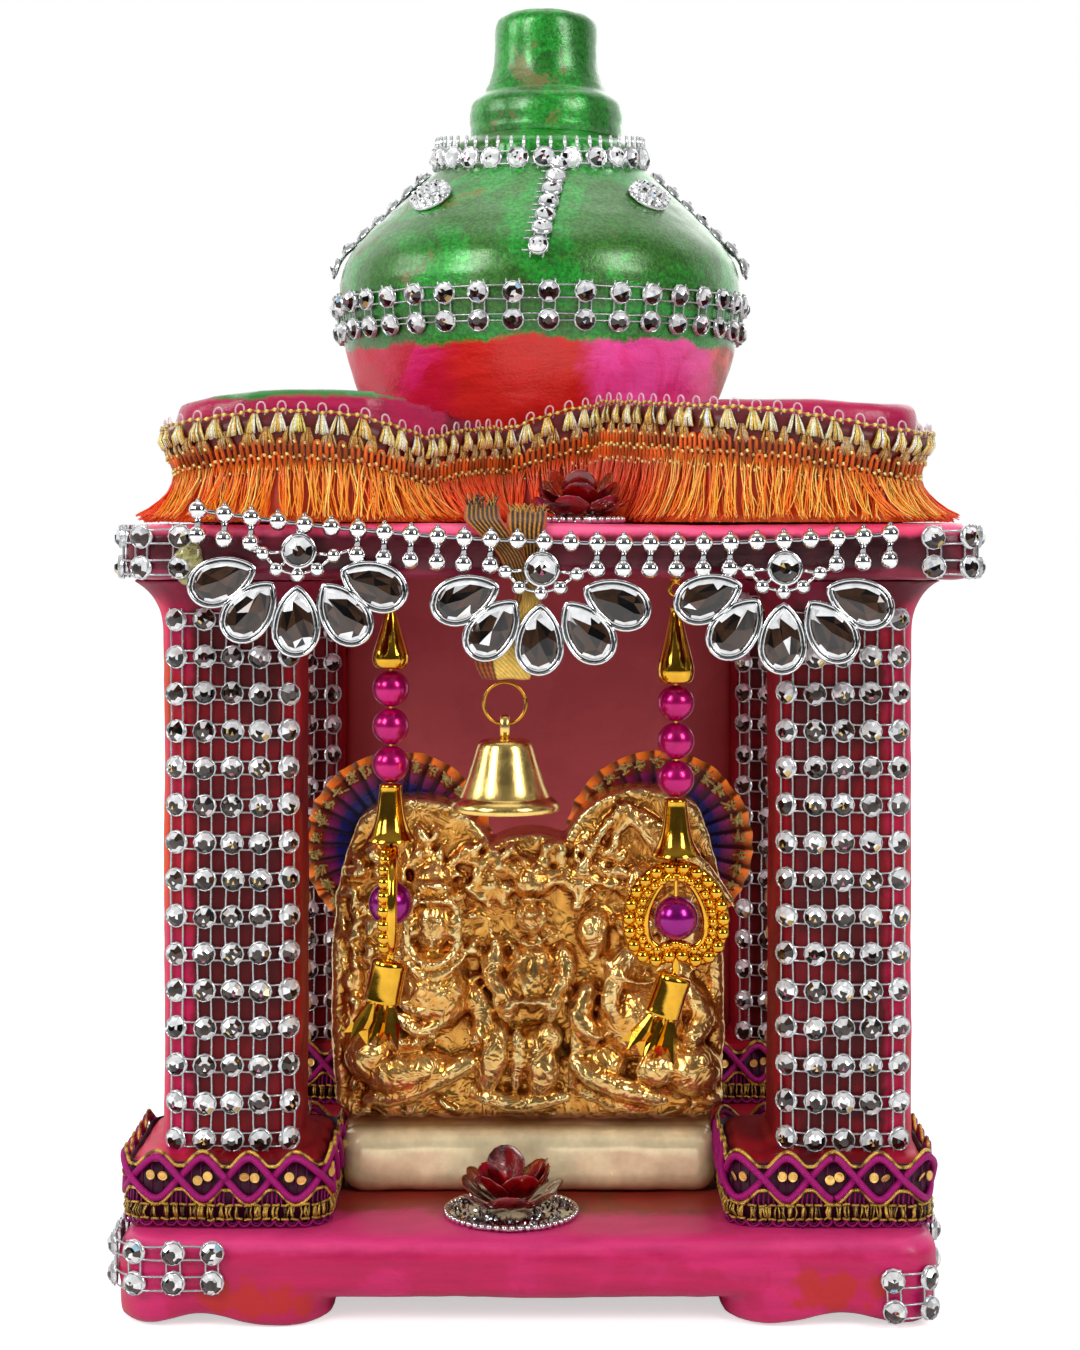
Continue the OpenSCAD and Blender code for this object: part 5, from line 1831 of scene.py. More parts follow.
# The teardrops of a fan: direction in degrees, and distance from its round stone
TEARDROPS = ((201, 17.4), (231, 16.3), (268, 15.0), (305.5, 16.3), (335.5, 17.4))


def trim_z(x):
    """Height of the top row of balls, which sags."""
    return ROOF_Z - 4.2 + 0.00077 * (np.asarray(x) - 22) ** 2


class SHRINE_OT_trim(PieceOperator):
    """Silver ball trim with three fans of teardrop stones"""
    bl_idname = "shrine.trim"
    bl_label = "Ball trim and fans"

    def rows(self):
        """Top row, second row and links between the fans."""
        heap, ball = Heap(), bead(20, 12)
        silver = (0.48, 0.49, 0.51)      # darker than the fans' silver, as a painted dark reflection
        xs = -74.2 + 5.67 * np.arange(27)
        z = trim_z(xs) + 0.12 * np.array([wobble(x, 3.3) for x in xs])
        fans = [-1 + i * FAN_PITCH for i in (-1, 0, 1)]
        under = [(x, h) for x, h in zip(xs, z) if min(abs(x - f) for f in fans) > 9.2]
        spots = [(x, TRIM_Y, h) for x, h in zip(xs, z)] + [(x - 0.2, TRIM_Y, h - 5.35) for x, h in under]
        heap.stamp(ball, spheres(spots, 2.05))
        for x, y, h in spots:
            heap.tube([(x, y, h + 1.7), (x, y, h + 2.35), (x, y, h + 2.6)], (0.75, 0.5, 0.2), 8, silver)
        for x, h in under:
            heap.tube([(x, TRIM_Y, h - 1.5), (x - 0.1, TRIM_Y, h - 2.6), (x - 0.2, TRIM_Y, h - 3.8)],
                      (1.0, 0.62, 1.0), 8, silver)
        for a in range(26):
            heap.tube([(xs[a], TRIM_Y + 0.3, z[a]), (xs[a + 1], TRIM_Y + 0.3, z[a + 1])], 0.5, 6, silver)
        finished(heap.build("ball_rows", self.chrome), "root", "silver_trim", "bead_trim")
        return ball

    def tear_outline(self, grow):
        """Pear outline 15 by 10 with its narrow end towards -X."""
        u = np.concatenate([np.linspace(0, 0.62, 30),
                            0.62 + 0.38 * np.sin(np.linspace(0.05, 1, 30) * pi / 2)])
        wide = np.where(u < 0.62, np.sin(pi / 2 * np.clip(u / 0.62, 0, 1) ** 0.74),
                        np.sqrt(np.clip(1 - ((u - 0.62) / 0.38) ** 2, 0, 1)))
        upper = np.stack([-7.5 + 15 * u, 5 * wide], 1)
        return grown(even(np.concatenate([upper, upper[-2:0:-1] * (1, -1)]), 30), grow)

    def teardrop(self, heap, centre, turn, rng):
        """One bezelled stone, its facets painted with reflections by how they hang: white painted highlights
        high up, dark painted reflections lower down.
        """
        a = radians(turn)
        rot = np.array([(cos(a), -sin(a)), (sin(a), cos(a))])

        def ring(grow, lift):
            p = self.tear_outline(grow) @ rot.T
            return np.stack([centre[0] + p[:, 0], np.full(len(p), centre[1] - lift), centre[2] + p[:, 1]], 1)

        for grow, lift, thick in ((-0.1, 1.3, 0.42), (-0.95, 1.5, 0.24)):
            heap.tube(ring(grow, lift), thick, 6, FAN_SILVER, closed=True)
        rows = [ring(0.1, -0.6), ring(0.2, 1.1), ring(-0.9, 1.1)]
        n = len(rows[0])
        heap.faces(np.concatenate(rows), net(3, n), (0.2, 0.2, 0.21))
        heap.faces(rows[0][::-1], [tuple(range(n))], (0.35, 0.35, 0.36))
        pick = np.linspace(0, n, 12, endpoint=False).astype(int)
        outer = ring(-0.95, 1.35)
        mid = ring(-1.75, 2.0)[pick]
        crown_axis = ring(-3.1, 2.45)[(pick + 1) % n][::2]
        heart = ring(-4.1, 2.6)[pick].mean(0)
        m = len(pick)

        # Painted reflection of a facet: white highlights high up and on the lowest edges, dark reflections
        # between.
        def tint(points, kind):
            c = np.mean(points, 0) - np.array(centre)
            height = c[2] / 5.0 + 0.06 * rng.normal()
            if kind == "edge":
                return WHITE if height > 0.34 or height < -0.8 else DARK
            if height > 0.52:
                return WHITE if rng.random() < 0.7 else PALE
            if height < -0.3 and rng.random() < 0.07:
                return WHITE
            dark = np.array(((0.05, 0.024, 0.013), BLACK, (0.085, 0.04, 0.022))[rng.integers(3)])
            return tuple(dark * (0.4 + 0.5 * rng.random()))

        def face(points, kind):
            points = np.asarray(points)
            heap.faces(points, [tuple(range(len(points)))], tint(points, kind), slot=1, flat=True)

        for i in range(m):
            j = (i + 1) % m
            span = list(range(pick[i], pick[j] if pick[j] > pick[i] else n))
            edge = [outer[k] for k in span] + [outer[pick[j]]]
            face(edge + [mid[j], mid[i]], "edge")
        k = len(crown_axis)
        for i in range(k):
            a0, a1, a2 = mid[(2 * i) % m], mid[(2 * i + 1) % m], mid[(2 * i + 2) % m]
            here, nxt = crown_axis[i], crown_axis[(i + 1) % k]
            face([a0, a1, here], "face")
            face([a1, a2, here], "face")
            face([here, a2, nxt], "face")
            face([here, nxt, heart - (0, 0.35, 0)], "face")

    def fan(self, i, ball, rng):
        """A round stone, an arc of small balls and five teardrops."""
        heap = Heap()
        x, y = -1 + i * FAN_PITCH, TRIM_Y - 0.4
        z = float(trim_z(x)) - 5.8
        kind = StoneSet(6.2, 31 + i).kinds[rng.integers(12)]
        heap.stamp(kind, frames([(x, y - 0.3, z)], (1, 0, 0), (0, 0, 1), (0, -1, 0)))
        heap.tube(hoop((x, y - 0.7, z), (3.4, 0, 3.4), 24), 0.5, 6, FAN_SILVER, closed=True)
        spots = [(-7.7, -0.5), (-4.8, -3.9), (-0.3, -5.1), (3.9, -3.9), (7.4, -1.0)]
        heap.stamp(ball, spheres([(x + a, y - 0.2, z + b) for a, b in spots], 1.62))
        for a, b in spots:
            heap.tube([(x + a * 0.5, y, z + b * 0.5), (x + a, y, z + b)], 0.42, 6, FAN_SILVER)
        ends = [(-11.3, 0.4), *spots, (11.3, 0.4)]
        for (a, b), (c, d) in zip(ends, ends[1:]):
            heap.tube([(x + a, y + 0.2, z + b), (x + c, y + 0.2, z + d)], 0.4, 6, FAN_SILVER)
        heap.tube([(x, y, z + 2), (x, y, float(trim_z(x)) - 1.2)], 0.7, 8, FAN_SILVER)
        for turn, out in TEARDROPS:
            a = radians(turn)
            spot = (x + out * cos(a), y + 0.6, z + out * sin(a))
            self.teardrop(heap, spot, turn, rng)
        name = ("fan_left", "fan_middle", "fan_right")[i + 1]
        finished(heap.build(name + "_stones", self.chrome, self.mirror), "root", "silver_trim", name)

    def build(self):
        """Rows, then fans."""
        rng = np.random.default_rng(41)
        self.chrome = tinted("Chrome", 0.09, 0.1, 500, metallic=1.0)
        self.mirror = tinted("Mirror stone", 0.04, 0.05, 500, metallic=0.25, coat_weight=1.0,
                             coat_roughness=0.02)
        ball = self.rows()
        for i in (-1, 0, 1):
            self.fan(i, ball, rng)


# ---------- ribbon, ring and bell ----------

BELL_X, BELL_Y = -8.9, -86.1
BELL_TOP = 126.7
RING_Z = 134.2


def polished(name, colour, rough=0.12, cloud=0.12, brush=None, tarnish=(0.6, 0.34, 0.12)):
    """Plated metal with faint clouds, and turning marks where brush gives their direction."""
    mat, t, bsdf = material(name, metallic=1.0)
    marks = use(t, handling(), {"Roughness": rough, "Amount": cloud, "Scale": 260.0})
    worn = ramp(t, grain(t, 90, 5, 0.65), 0.5, 0.85, 0.0, 0.45)
    colour = blend(t, 1.0, blend(t, worn, rgba(colour), rgba(tarnish)), marks["Shade"], "MULTIPLY")
    feed(t, bsdf, {"Base Color": colour, "Roughness": marks["Roughness"]})
    if brush:
        where = add(t, "Mapping", {"Vector": add(t, "TexCoord", out="Object"), "Scale": brush})
        bump(t, bsdf, grain(t, 900, 3, 0.6, where), 0.5, 0.05)
    else:
        bump(t, bsdf, marks["Height"], 0.3, 0.03)
    return mat


class SHRINE_OT_bell(PieceOperator):
    """Folded ribbon, split ring and spun bell"""
    bl_idname = "shrine.bell"
    bl_label = "Bell and ribbon"

    def ribbon(self):
        """One length of ribbon folded through the ring, both ends frayed over the cornice's edge."""
        front_x = [(-13.9, 7.4), (-13.9, 7.6), (-13.8, 7.9), (-13.4, 8.0), (-12.0, 7.4), (-7.4, 5.6),
                   (-3.8, 5.2), (-7.8, 9.8), (-9.0, 13.2), (-8.9, 12.0)]
        front = [(-80.6, 176.6), (-82.4, 175.0), (-84.4, 173.7), (-86.3, 173.0), (-86.75, 171.5),
                 (-86.8, 166), (-86.85, 157), (-86.9, 149), (-86.9, 144.5), (-86.8, 141.4)]
        back_x = [(-8.6, 11.0), (-8.2, 11.6), (-6.6, 8.2), (-3.4, 5.0), (-3.8, 5.6), (-4.4, 8.0),
                  (-4.2, 8.4), (-4.2, 8.6), (-4.2, 8.6)]
        back = [(-85.3, 141.2), (-85.6, 144.5), (-85.9, 149), (-85.95, 157), (-86.0, 166), (-86.1, 171.5),
                (-85.8, 172.9), (-84.2, 173.4), (-82.2, 175.2)]
        turn = [(-86.5, 139.6), (-86.05, 138.9), (-85.6, 139.6)]
        path = np.array(front + turn + back)
        place = np.array(front_x + [(-8.6, 10.0), (-8.6, 9.8), (-8.6, 10.0)] + back_x)
        run = run_of(path)
        s = np.linspace(0, run[-1], 150)
        path, place = look_up(s, run, path), look_up(s, run, place)
        for pair in (path, place):
            for v in pair.T:
                v[2:-2] = np.convolve(np.pad(v, 2, mode="edge"), np.ones(5) / 5, "valid")[2:-2]
        t = unit(np.gradient(path, axis=0))
        n = np.stack([t[:, 1], -t[:, 0]], 1)
        columns = np.linspace(-0.5, 0.5, 25)
        rng = np.random.default_rng(5)
        stripes = [srgb(216, 146, 40), srgb(44, 20, 8), srgb(60, 26, 10)] * 7
        upper = np.array([srgb(196, 84, 16)] * 2 + stripes + [srgb(200, 90, 18)] * 2)
        lower = np.array([srgb(186, 88, 22), srgb(66, 28, 10)] * 4 + [srgb(240, 196, 92)] * 17)
        top, under = [], []
        for c, u in enumerate(columns):
            gather = np.clip((9.5 - place[:, 1]) / 3.5, 0, 1) * 0.35 * np.sin(c * 2.1)
            ripple = 0.12 * np.sin(s / 4 + c * 0.5) + gather
            fray = np.where((s < 1) | (s > s[-1] - 1), rng.normal() * 0.35, 0)
            for rows, off in ((top, 0.17), (under, -0.17)):
                yz = path + n * (ripple + off)[:, None]
                rows.append(np.stack([place[:, 0] + u * place[:, 1], yz[:, 0], yz[:, 1] + fray], 1))
        m = len(columns)
        grid = np.stack(top + under[::-1], 1)
        both = [np.concatenate([c, c[::-1]]) for c in (upper, lower)]
        high = smooth((path[:, 1] - 150) / 14)[:, None, None]
        tints = (both[1] + (both[0] - both[1]) * high).reshape(-1, 3)
        weave = np.where(np.add.outer(np.arange(len(s)), np.arange(2 * m)) % 2, 1.15, 0.7).reshape(-1, 1)
        ends = [[i, i + 1, 2 * m - 2 - i, 2 * m - 1 - i] for i in range(m - 1)]
        last = (len(s) - 1) * 2 * m
        ends = ends + [[last + a for a in q[::-1]] for q in ends]
        heap = Heap()
        faces = np.concatenate([net(len(s), 2 * m), ends])
        heap.faces(grid.reshape(-1, 3), faces, np.clip(tints * weave, 0, 1))
        cloth = tinted("Ribbon", 0.34, 0.3, 1400, 0.16, metallic=0.45, sheen_weight=0.2)
        piece = finished(outward(heap.build("hanging_ribbon", cloth)), "root", "ribbon", "ribbon")
        threads = Heap()
        for end, x0, width in ((0, -13.9, 6.0), (-1, -4.2, 7.4)):
            y0, z0 = path[end]
            for _ in range(64):
                x = x0 + rng.uniform(-0.5, 0.5) * width
                lean = rng.normal(size=2) * (0.9, 0.4)
                up = rng.uniform(0.4, 2.8 if end == 0 else 1.8)
                line = [(x, y0, z0 - 1.2), (x + lean[0] * 0.4, y0 + 0.5, z0 + up * 0.5),
                        (x + lean[0], y0 + 1.0 + lean[1], z0 + up)]
                gilt = rng.random() < (0.25 if end == 0 else 0.8)
                shade = srgb(236, 180, 66) if gilt else srgb(56, 30, 14)
                threads.tube(line, 0.13, 3, np.array(shade) * rng.uniform(0.6, 1.1))
        finished(threads.build("frayed_ends", cloth), "root", "ribbon")

    def bell_skin(self):
        """Bell spun from its profile, with its eye."""
        shape = [(0, 0), (2.2, 0.06), (3.9, 0), (4.9, -0.22), (5.6, -0.8), (6.05, -1.8), (6.75, -4.4),
                 (7.55, -7), (8.45, -9.6), (9.3, -11.5), (9.75, -12.2), (9.8, -12.35), (10.4, -12.7),
                 (11.15, -13.3), (11.6, -14.0), (11.68, -14.7), (11.5, -15.3), (11.2, -15.45),
                 (10.95, -15.2), (10.6, -14.4), (9.6, -13.2), (8.6, -11.6), (7.2, -8.0), (5.9, -4.2),
                 (5.2, -2.2), (4.4, -1.4), (0, -1.2)]
        bell = spun("bell_body", [(r, BELL_TOP + z) for r, z in shape], (0, 0), 72)
        shifted(bell, BELL_X, BELL_Y)
        refine(bell)
        shade_smooth(bell, 50)
        eye = Heap()
        a = turns(28)
        ring = hoop((BELL_X, BELL_Y, 129.1), (0, 1.45, 2.35), 28)
        face = np.stack([np.zeros(28), np.cos(a), np.sin(a)], 1)
        eye.tube(ring, 1.02, 12, (1, 1, 1), closed=True, flat=0.4, face=face)
        both = join("bell_with_eye", bell, eye.build("bell_eye"))
        brass = polished("Brass", colours().brass, 0.24, 0.3, (1.2, 1.2, 0.05), (0.7, 0.45, 0.16))
        finished(both, "bell", "bell_brass", "bell", material=brass)

    def ring_and_clapper(self):
        """Split ring in the fold, and the clapper inside."""
        wire = polished("Gilt wire", srgb(206, 146, 54), 0.2, 0.25)
        ring = Heap()
        a = np.radians(np.linspace(14, 392, 56))
        coil = np.linspace(-0.28, 0.28, 56)
        ring.tube(np.stack([BELL_X + 4.5 * np.cos(a), BELL_Y + coil, RING_Z + 4.5 * np.sin(a)], 1), 0.4, 8)
        finished(ring.build("split_ring", wire), "bell_ring", "steel_wire", "bell_ring", material=wire)
        low = BELL_TOP - 1.2 - 11.9 + 1.6
        profile = [(0, BELL_TOP - 1.2), (0.6, BELL_TOP - 1.3), (0.6, low + 2.2), (0.9, low + 1.9)]
        profile += list(arc(0, low, 2.1, 62, -90, 10))
        clapper = spun("clapper", [(r, z) for r, z in profile], (0, 0), 20)
        shifted(clapper, BELL_X, BELL_Y)
        shade_smooth(clapper, 50)
        finished(clapper, "bell", "steel_wire", "bell_clapper", material=wire)

    def build(self):
        """Ribbon, bell, ring and clapper."""
        self.ribbon()
        self.bell_skin()
        self.ring_and_clapper()


# ---------- bead hangings ----------

HANG_Y, DROP_TOP = -75.4, 155.0
# For each side: x, drop length, pearls, cone top, heart top, heart pearl, tassel top, lean, heart's turn
HANGINGS = {"left": (-33.9, 14.0, (136.68, 128.43, 120.18), 115.98, 102.78, 89.83, 80.58, 12, -90),
            "right": (28.2, 17.2, (133.48, 125.23, 116.98), 112.78, 99.58, 86.63, 77.38, 19, 0)}

# Half outlines of the heart frame and of its opening, from the point down
HEART_EDGE = ((0, 0), (4.4, -1.0), (8.0, -3.6), (10.7, -7.4), (11.8, -12), (11.7, -16.3), (10.2, -20.4),
              (7.4, -23.0), (4.1, -23.7), (1.2, -22.6), (0, -21.9))
HEART_OPENING = ((0, -3.2), (2.4, -5.1), (4.5, -8.2), (5.9, -11.8), (6.1, -15.2), (5.0, -18.1), (3.0, -19.1),
                 (1.0, -18.2), (0, -17.6))


def heart_line(half, grow, count):
    """Points round a heart, even in distance."""
    half = np.array(half, float)
    loop = np.concatenate([half, half[-2:0:-1] * (-1, 1)])
    for _ in range(3):
        ahead = np.roll(loop, -1, 0)
        loop = np.stack([loop * 0.75 + ahead * 0.25, loop * 0.25 + ahead * 0.75], 1).reshape(-1, 2)
    return grown(even(loop, count), grow)


class SHRINE_OT_hangings(PieceOperator):
    """Two hangings of beads, a heart frame with a pearl, and a tassel"""
    bl_idname = "shrine.hangings"
    bl_label = "Hangings"

    def turned(self, name, profile, x, steps=32):
        """A spun bead at a hanging's axis."""
        bead = spun(name, profile, (0, 0), steps)
        shifted(bead, x, HANG_Y)
        refine(bead)
        shade_smooth(bead, 60)
        return bead

    def pearl_profile(self, z, r):
        """Round bead with a dimple at each hole."""
        ball = arc(0, z, r, 80, -80, 15)
        return [(0, z + r - 1.0), (0.42, z + r - 0.7), *ball, (0.42, z - r + 0.7), (0, z - r + 1.0)]

    def string(self, side):
        """Eyelet, drop, cone and thread, and the pearls."""
        x, drop, pearls, cone, heart = HANGINGS[side][:5]
        top, low = DROP_TOP, DROP_TOP - drop
        k = drop / 14.0
        cap = ((0, 0), (0.9, 0), (1.25, 0.5), (1.3, 1), (0.95, 1.5), (1.35, 2.2))
        body = ((2, 4.6), (2.95, 7.6), (3.75, 9.9), (4.12, 11.6), (4.02, 12.6))
        shape = [(r, top - z) for r, z in cap] + [(r, top - z * k) for r, z in body]
        shape += [(r, low + z) for r, z in ((3.6, 0.55), (3.2, 0.15), (2.7, 0), (2.45, 0.3), (0, 0.5))]
        flare = ((0, 0), (1.9, 0), (2.4, 0.15), (2.62, 0.6), (2.45, 1.1), (2.6, 2.4), (2.85, 5.0),
                 (3.25, 7.4), (3.9, 9.6), (4.8, 11.2), (5.6, 12.2), (5.5, 12.6), (4.9, 12.0), (3.4, 9.8),
                 (2.2, 7), (0, 5))
        gold = [self.turned("drop", shape, x), self.turned("cone", [(r, cone - z) for r, z in flare], x)]
        heap = Heap()
        heap.tube([(x, HANG_Y, z) for z in (top + 0.9, low - 4, cone - 2, heart + 0.4)], 0.4, 8)
        heap.tube(hoop((x, HANG_Y, top + 1.6), (0, 1.3, 1.3), 24), 0.36, 8, closed=True)
        gold.append(heap.build("thread"))
        finished(join(f"gold_beads_{side}", *gold), f"string_{side}", "gold_bead", f"string_{side}",
                 material=self.gold)
        balls = [self.turned("pearl", self.pearl_profile(z, 4.06), x, 28) for z in pearls]
        finished(join(f"pearls_{side}", *balls), f"string_{side}", "magenta_pearl", material=self.pearl)

    def heart(self, side):
        """Beaded heart frame, and the pearl in it."""
        x, turn = HANGINGS[side][0], HANGINGS[side][-1]
        top, pearl = HANGINGS[side][4:6]
        heap = Heap()
        a = radians(turn)

        def place(p, depth):
            return np.stack([x + p[:, 0] * cos(a) - depth * sin(a),
                             HANG_Y + p[:, 0] * sin(a) + depth * cos(a), top + p[:, 1]], 1)

        face = (-sin(a), cos(a), 0)
        for grow, depth, r, flat in ((-1.5, 0.7, 1.5, 0.85), (-3.3, 0.4, 1.3, 0.9)):
            line = heart_line(HEART_EDGE, grow, 90)
            heap.tube(place(line, depth), r, 10, closed=True, flat=flat, face=face)
        line = heart_line(HEART_OPENING, 0.5, 90)
        heap.tube(place(line, -0.9), 0.8, 8, closed=True)
        grain_bead = bead()
        for grow, depth, r, pitch in ((-1.45, -0.9, 1.52, 3.05), (-3.75, -1.35, 0.98, 2.1)):
            line = heart_line(HEART_EDGE, grow, 240)
            length = np.linalg.norm(np.roll(line, -1, 0) - line, axis=1).sum()
            heap.stamp(grain_bead, spheres(place(even(line, round(length / pitch)), depth), r))
        heap.tube([(x, HANG_Y, z) for z in (top + 0.3, top - 4.2, pearl, top - 20.6)], 0.45, 8)
        finished(heap.build(f"heart_frame_{side}"), f"pendant_{side}", "gold_bead", f"heart_{side}",
                 material=self.gold)
        ball = self.turned("ball", self.pearl_profile(pearl, 4.9), x, 36)
        ball.name = f"heart_pearl_bead_{side}"
        finished(ball, f"pendant_{side}", "magenta_pearl", f"heart_pearl_{side}", material=self.violet)

    def petals(self):
        """A flower tip: narrow neck and five creased, pointed petals."""
        deselect()
        bpy.ops.mesh.primitive_cone_add(vertices=10, radius1=3.0 * MM, radius2=0.9 * MM, depth=7.2 * MM,
                                        location=(0, 0, -3.6 * MM), end_fill_type="NGON")
        tip = fresh("tip")
        edit(tip, lambda: bpy.ops.mesh.bisect(plane_co=(0, 0, -3.2 * MM), plane_no=(0, 0, 1)))
        co = points_of(tip)
        for p in co:
            turn = round(degrees(atan2(p[1], p[0])) / 36) % 2
            if p[2] < -7:
                p[2] += -1.6 if turn else 1.9
                p[:2] *= 1.05 if turn else 0.72
            elif p[2] < -3:
                p[:2] *= 0.92 if turn else 1.22
        set_points(tip, co)
        edit(tip, lambda: bpy.ops.mesh.poke(), lambda f: f.normal.z < -0.8, "FACE")
        return Shape(tip)

    def tassel(self, side):
        """Leaning tube with three flower tips under it."""
        x, (top, lean) = HANGINGS[side][0], HANGINGS[side][6:8]
        a = radians(lean)
        spin = np.array([(cos(a), 0, sin(a)), (0, 1, 0), (-sin(a), 0, cos(a))])
        tube = spun("tube", [(0, 0), (2.6, 0), (3.5, -0.25), (3.9, -0.9), (3.98, -1.6), (3.85, -2.0),
                             (3.9, -5), (3.95, -8.6), (4.1, -9.0), (4.05, -9.5), (3.6, -9.3), (3.3, -6),
                             (0, -5.5)], (0, 0), 40)
        refine(tube)
        shade_smooth(tube, 50)
        origin = np.array((x, HANG_Y, top - 2.8))
        set_points(tube, points_of(tube) @ spin.T + origin)
        heap, tip = Heap(), self.petals()
        fan = ((-2.0, -0.6, 14, 20), (2.2, -0.9, -10, 75), (0.3, 1.4, 2, 130))
        for dx, dy, tilt, turn in fan:
            b, c = radians(tilt), radians(turn)
            own = np.array([(cos(b), 0, sin(b)), (0, 1, 0), (-sin(b), 0, cos(b))])
            own = own @ np.array([(cos(c), -sin(c), 0), (sin(c), cos(c), 0), (0, 0, 1)])
            m = np.eye(4)
            m[:3, :3] = spin @ own
            m[:3, 3] = origin + spin @ np.array((dx, dy, -10.2))
            heap.stamp(tip, [m])
            heap.tube([origin + spin @ (dx * 0.8, dy, -7.0), origin + spin @ (dx, dy, -10.6)], 0.6, 8)
        heap.tube([(x, HANG_Y, top + 0.6), (x, HANG_Y, top - 1.6), origin - spin @ (0, 0, 0.6)], 0.9, 8)
        both = join(f"tassel_beads_{side}", tube, heap.build("tips"))
        finished(both, f"pendant_{side}", "gold_bead", f"tassel_{side}", material=self.gold)

    def eyes(self):
        """Screw eyes under the cornice."""
        heap = Heap()
        for x in (hanging[0] for hanging in HANGINGS.values()):
            heap.tube(hoop((x, HANG_Y, 158.3), (1.4, 0, 1.4), 28), 0.4, 8, closed=True)
            heap.tube([(x, HANG_Y, 159.6), (x, HANG_Y, 161.5)], 0.5, 8)
            heap.tube([(x, HANG_Y, 160.7), (x, HANG_Y, 160.2)], 1.2, 14)
        finished(heap.build("screw_eyes"), "root", "steel_wire", "hanging_eyes", material=self.gold)

    def build(self):
        """Eyes, then both hangings."""
        self.gold = polished("Plated gold", colours().gold, 0.1, 0.12, tarnish=(0.7, 0.3, 0.03))
        self.pearl = polished("Pink pearl", colours().pearl, 0.3, 0.12, tarnish=(0.2, 0.0, 0.06))
        self.violet = polished("Violet pearl", srgb(156, 0, 128), 0.26, 0.12, tarnish=(0.16, 0.0, 0.12))
        for mat in (self.pearl, self.violet):
            t, bsdf, _ = shader_of(mat)
            feed(t, bsdf, {"Metallic": 0.8, "Coat Weight": 0.5, "Coat Roughness": 0.05})
        self.eyes()
        for side in HANGINGS:
            self.string(side)
            self.heart(side)
            self.tassel(side)


# ---------- cast figures and halos ----------

FIG_X, FIG_FACE, FIG_BACK, FIG_BASE = -3.9, -40.7, -22.7, 33.7
FIG_HALF, FIG_SIDES = 42.2, 84.0      # half the panel's width, and its height beside the arches
# Arches of the panel: middle and half width from the centre, top height
FIG_ARCHES = ((-25.0, 17.6, 108.5), (0.5, 15.5, 100.5), (25.0, 17.6, 111.0))
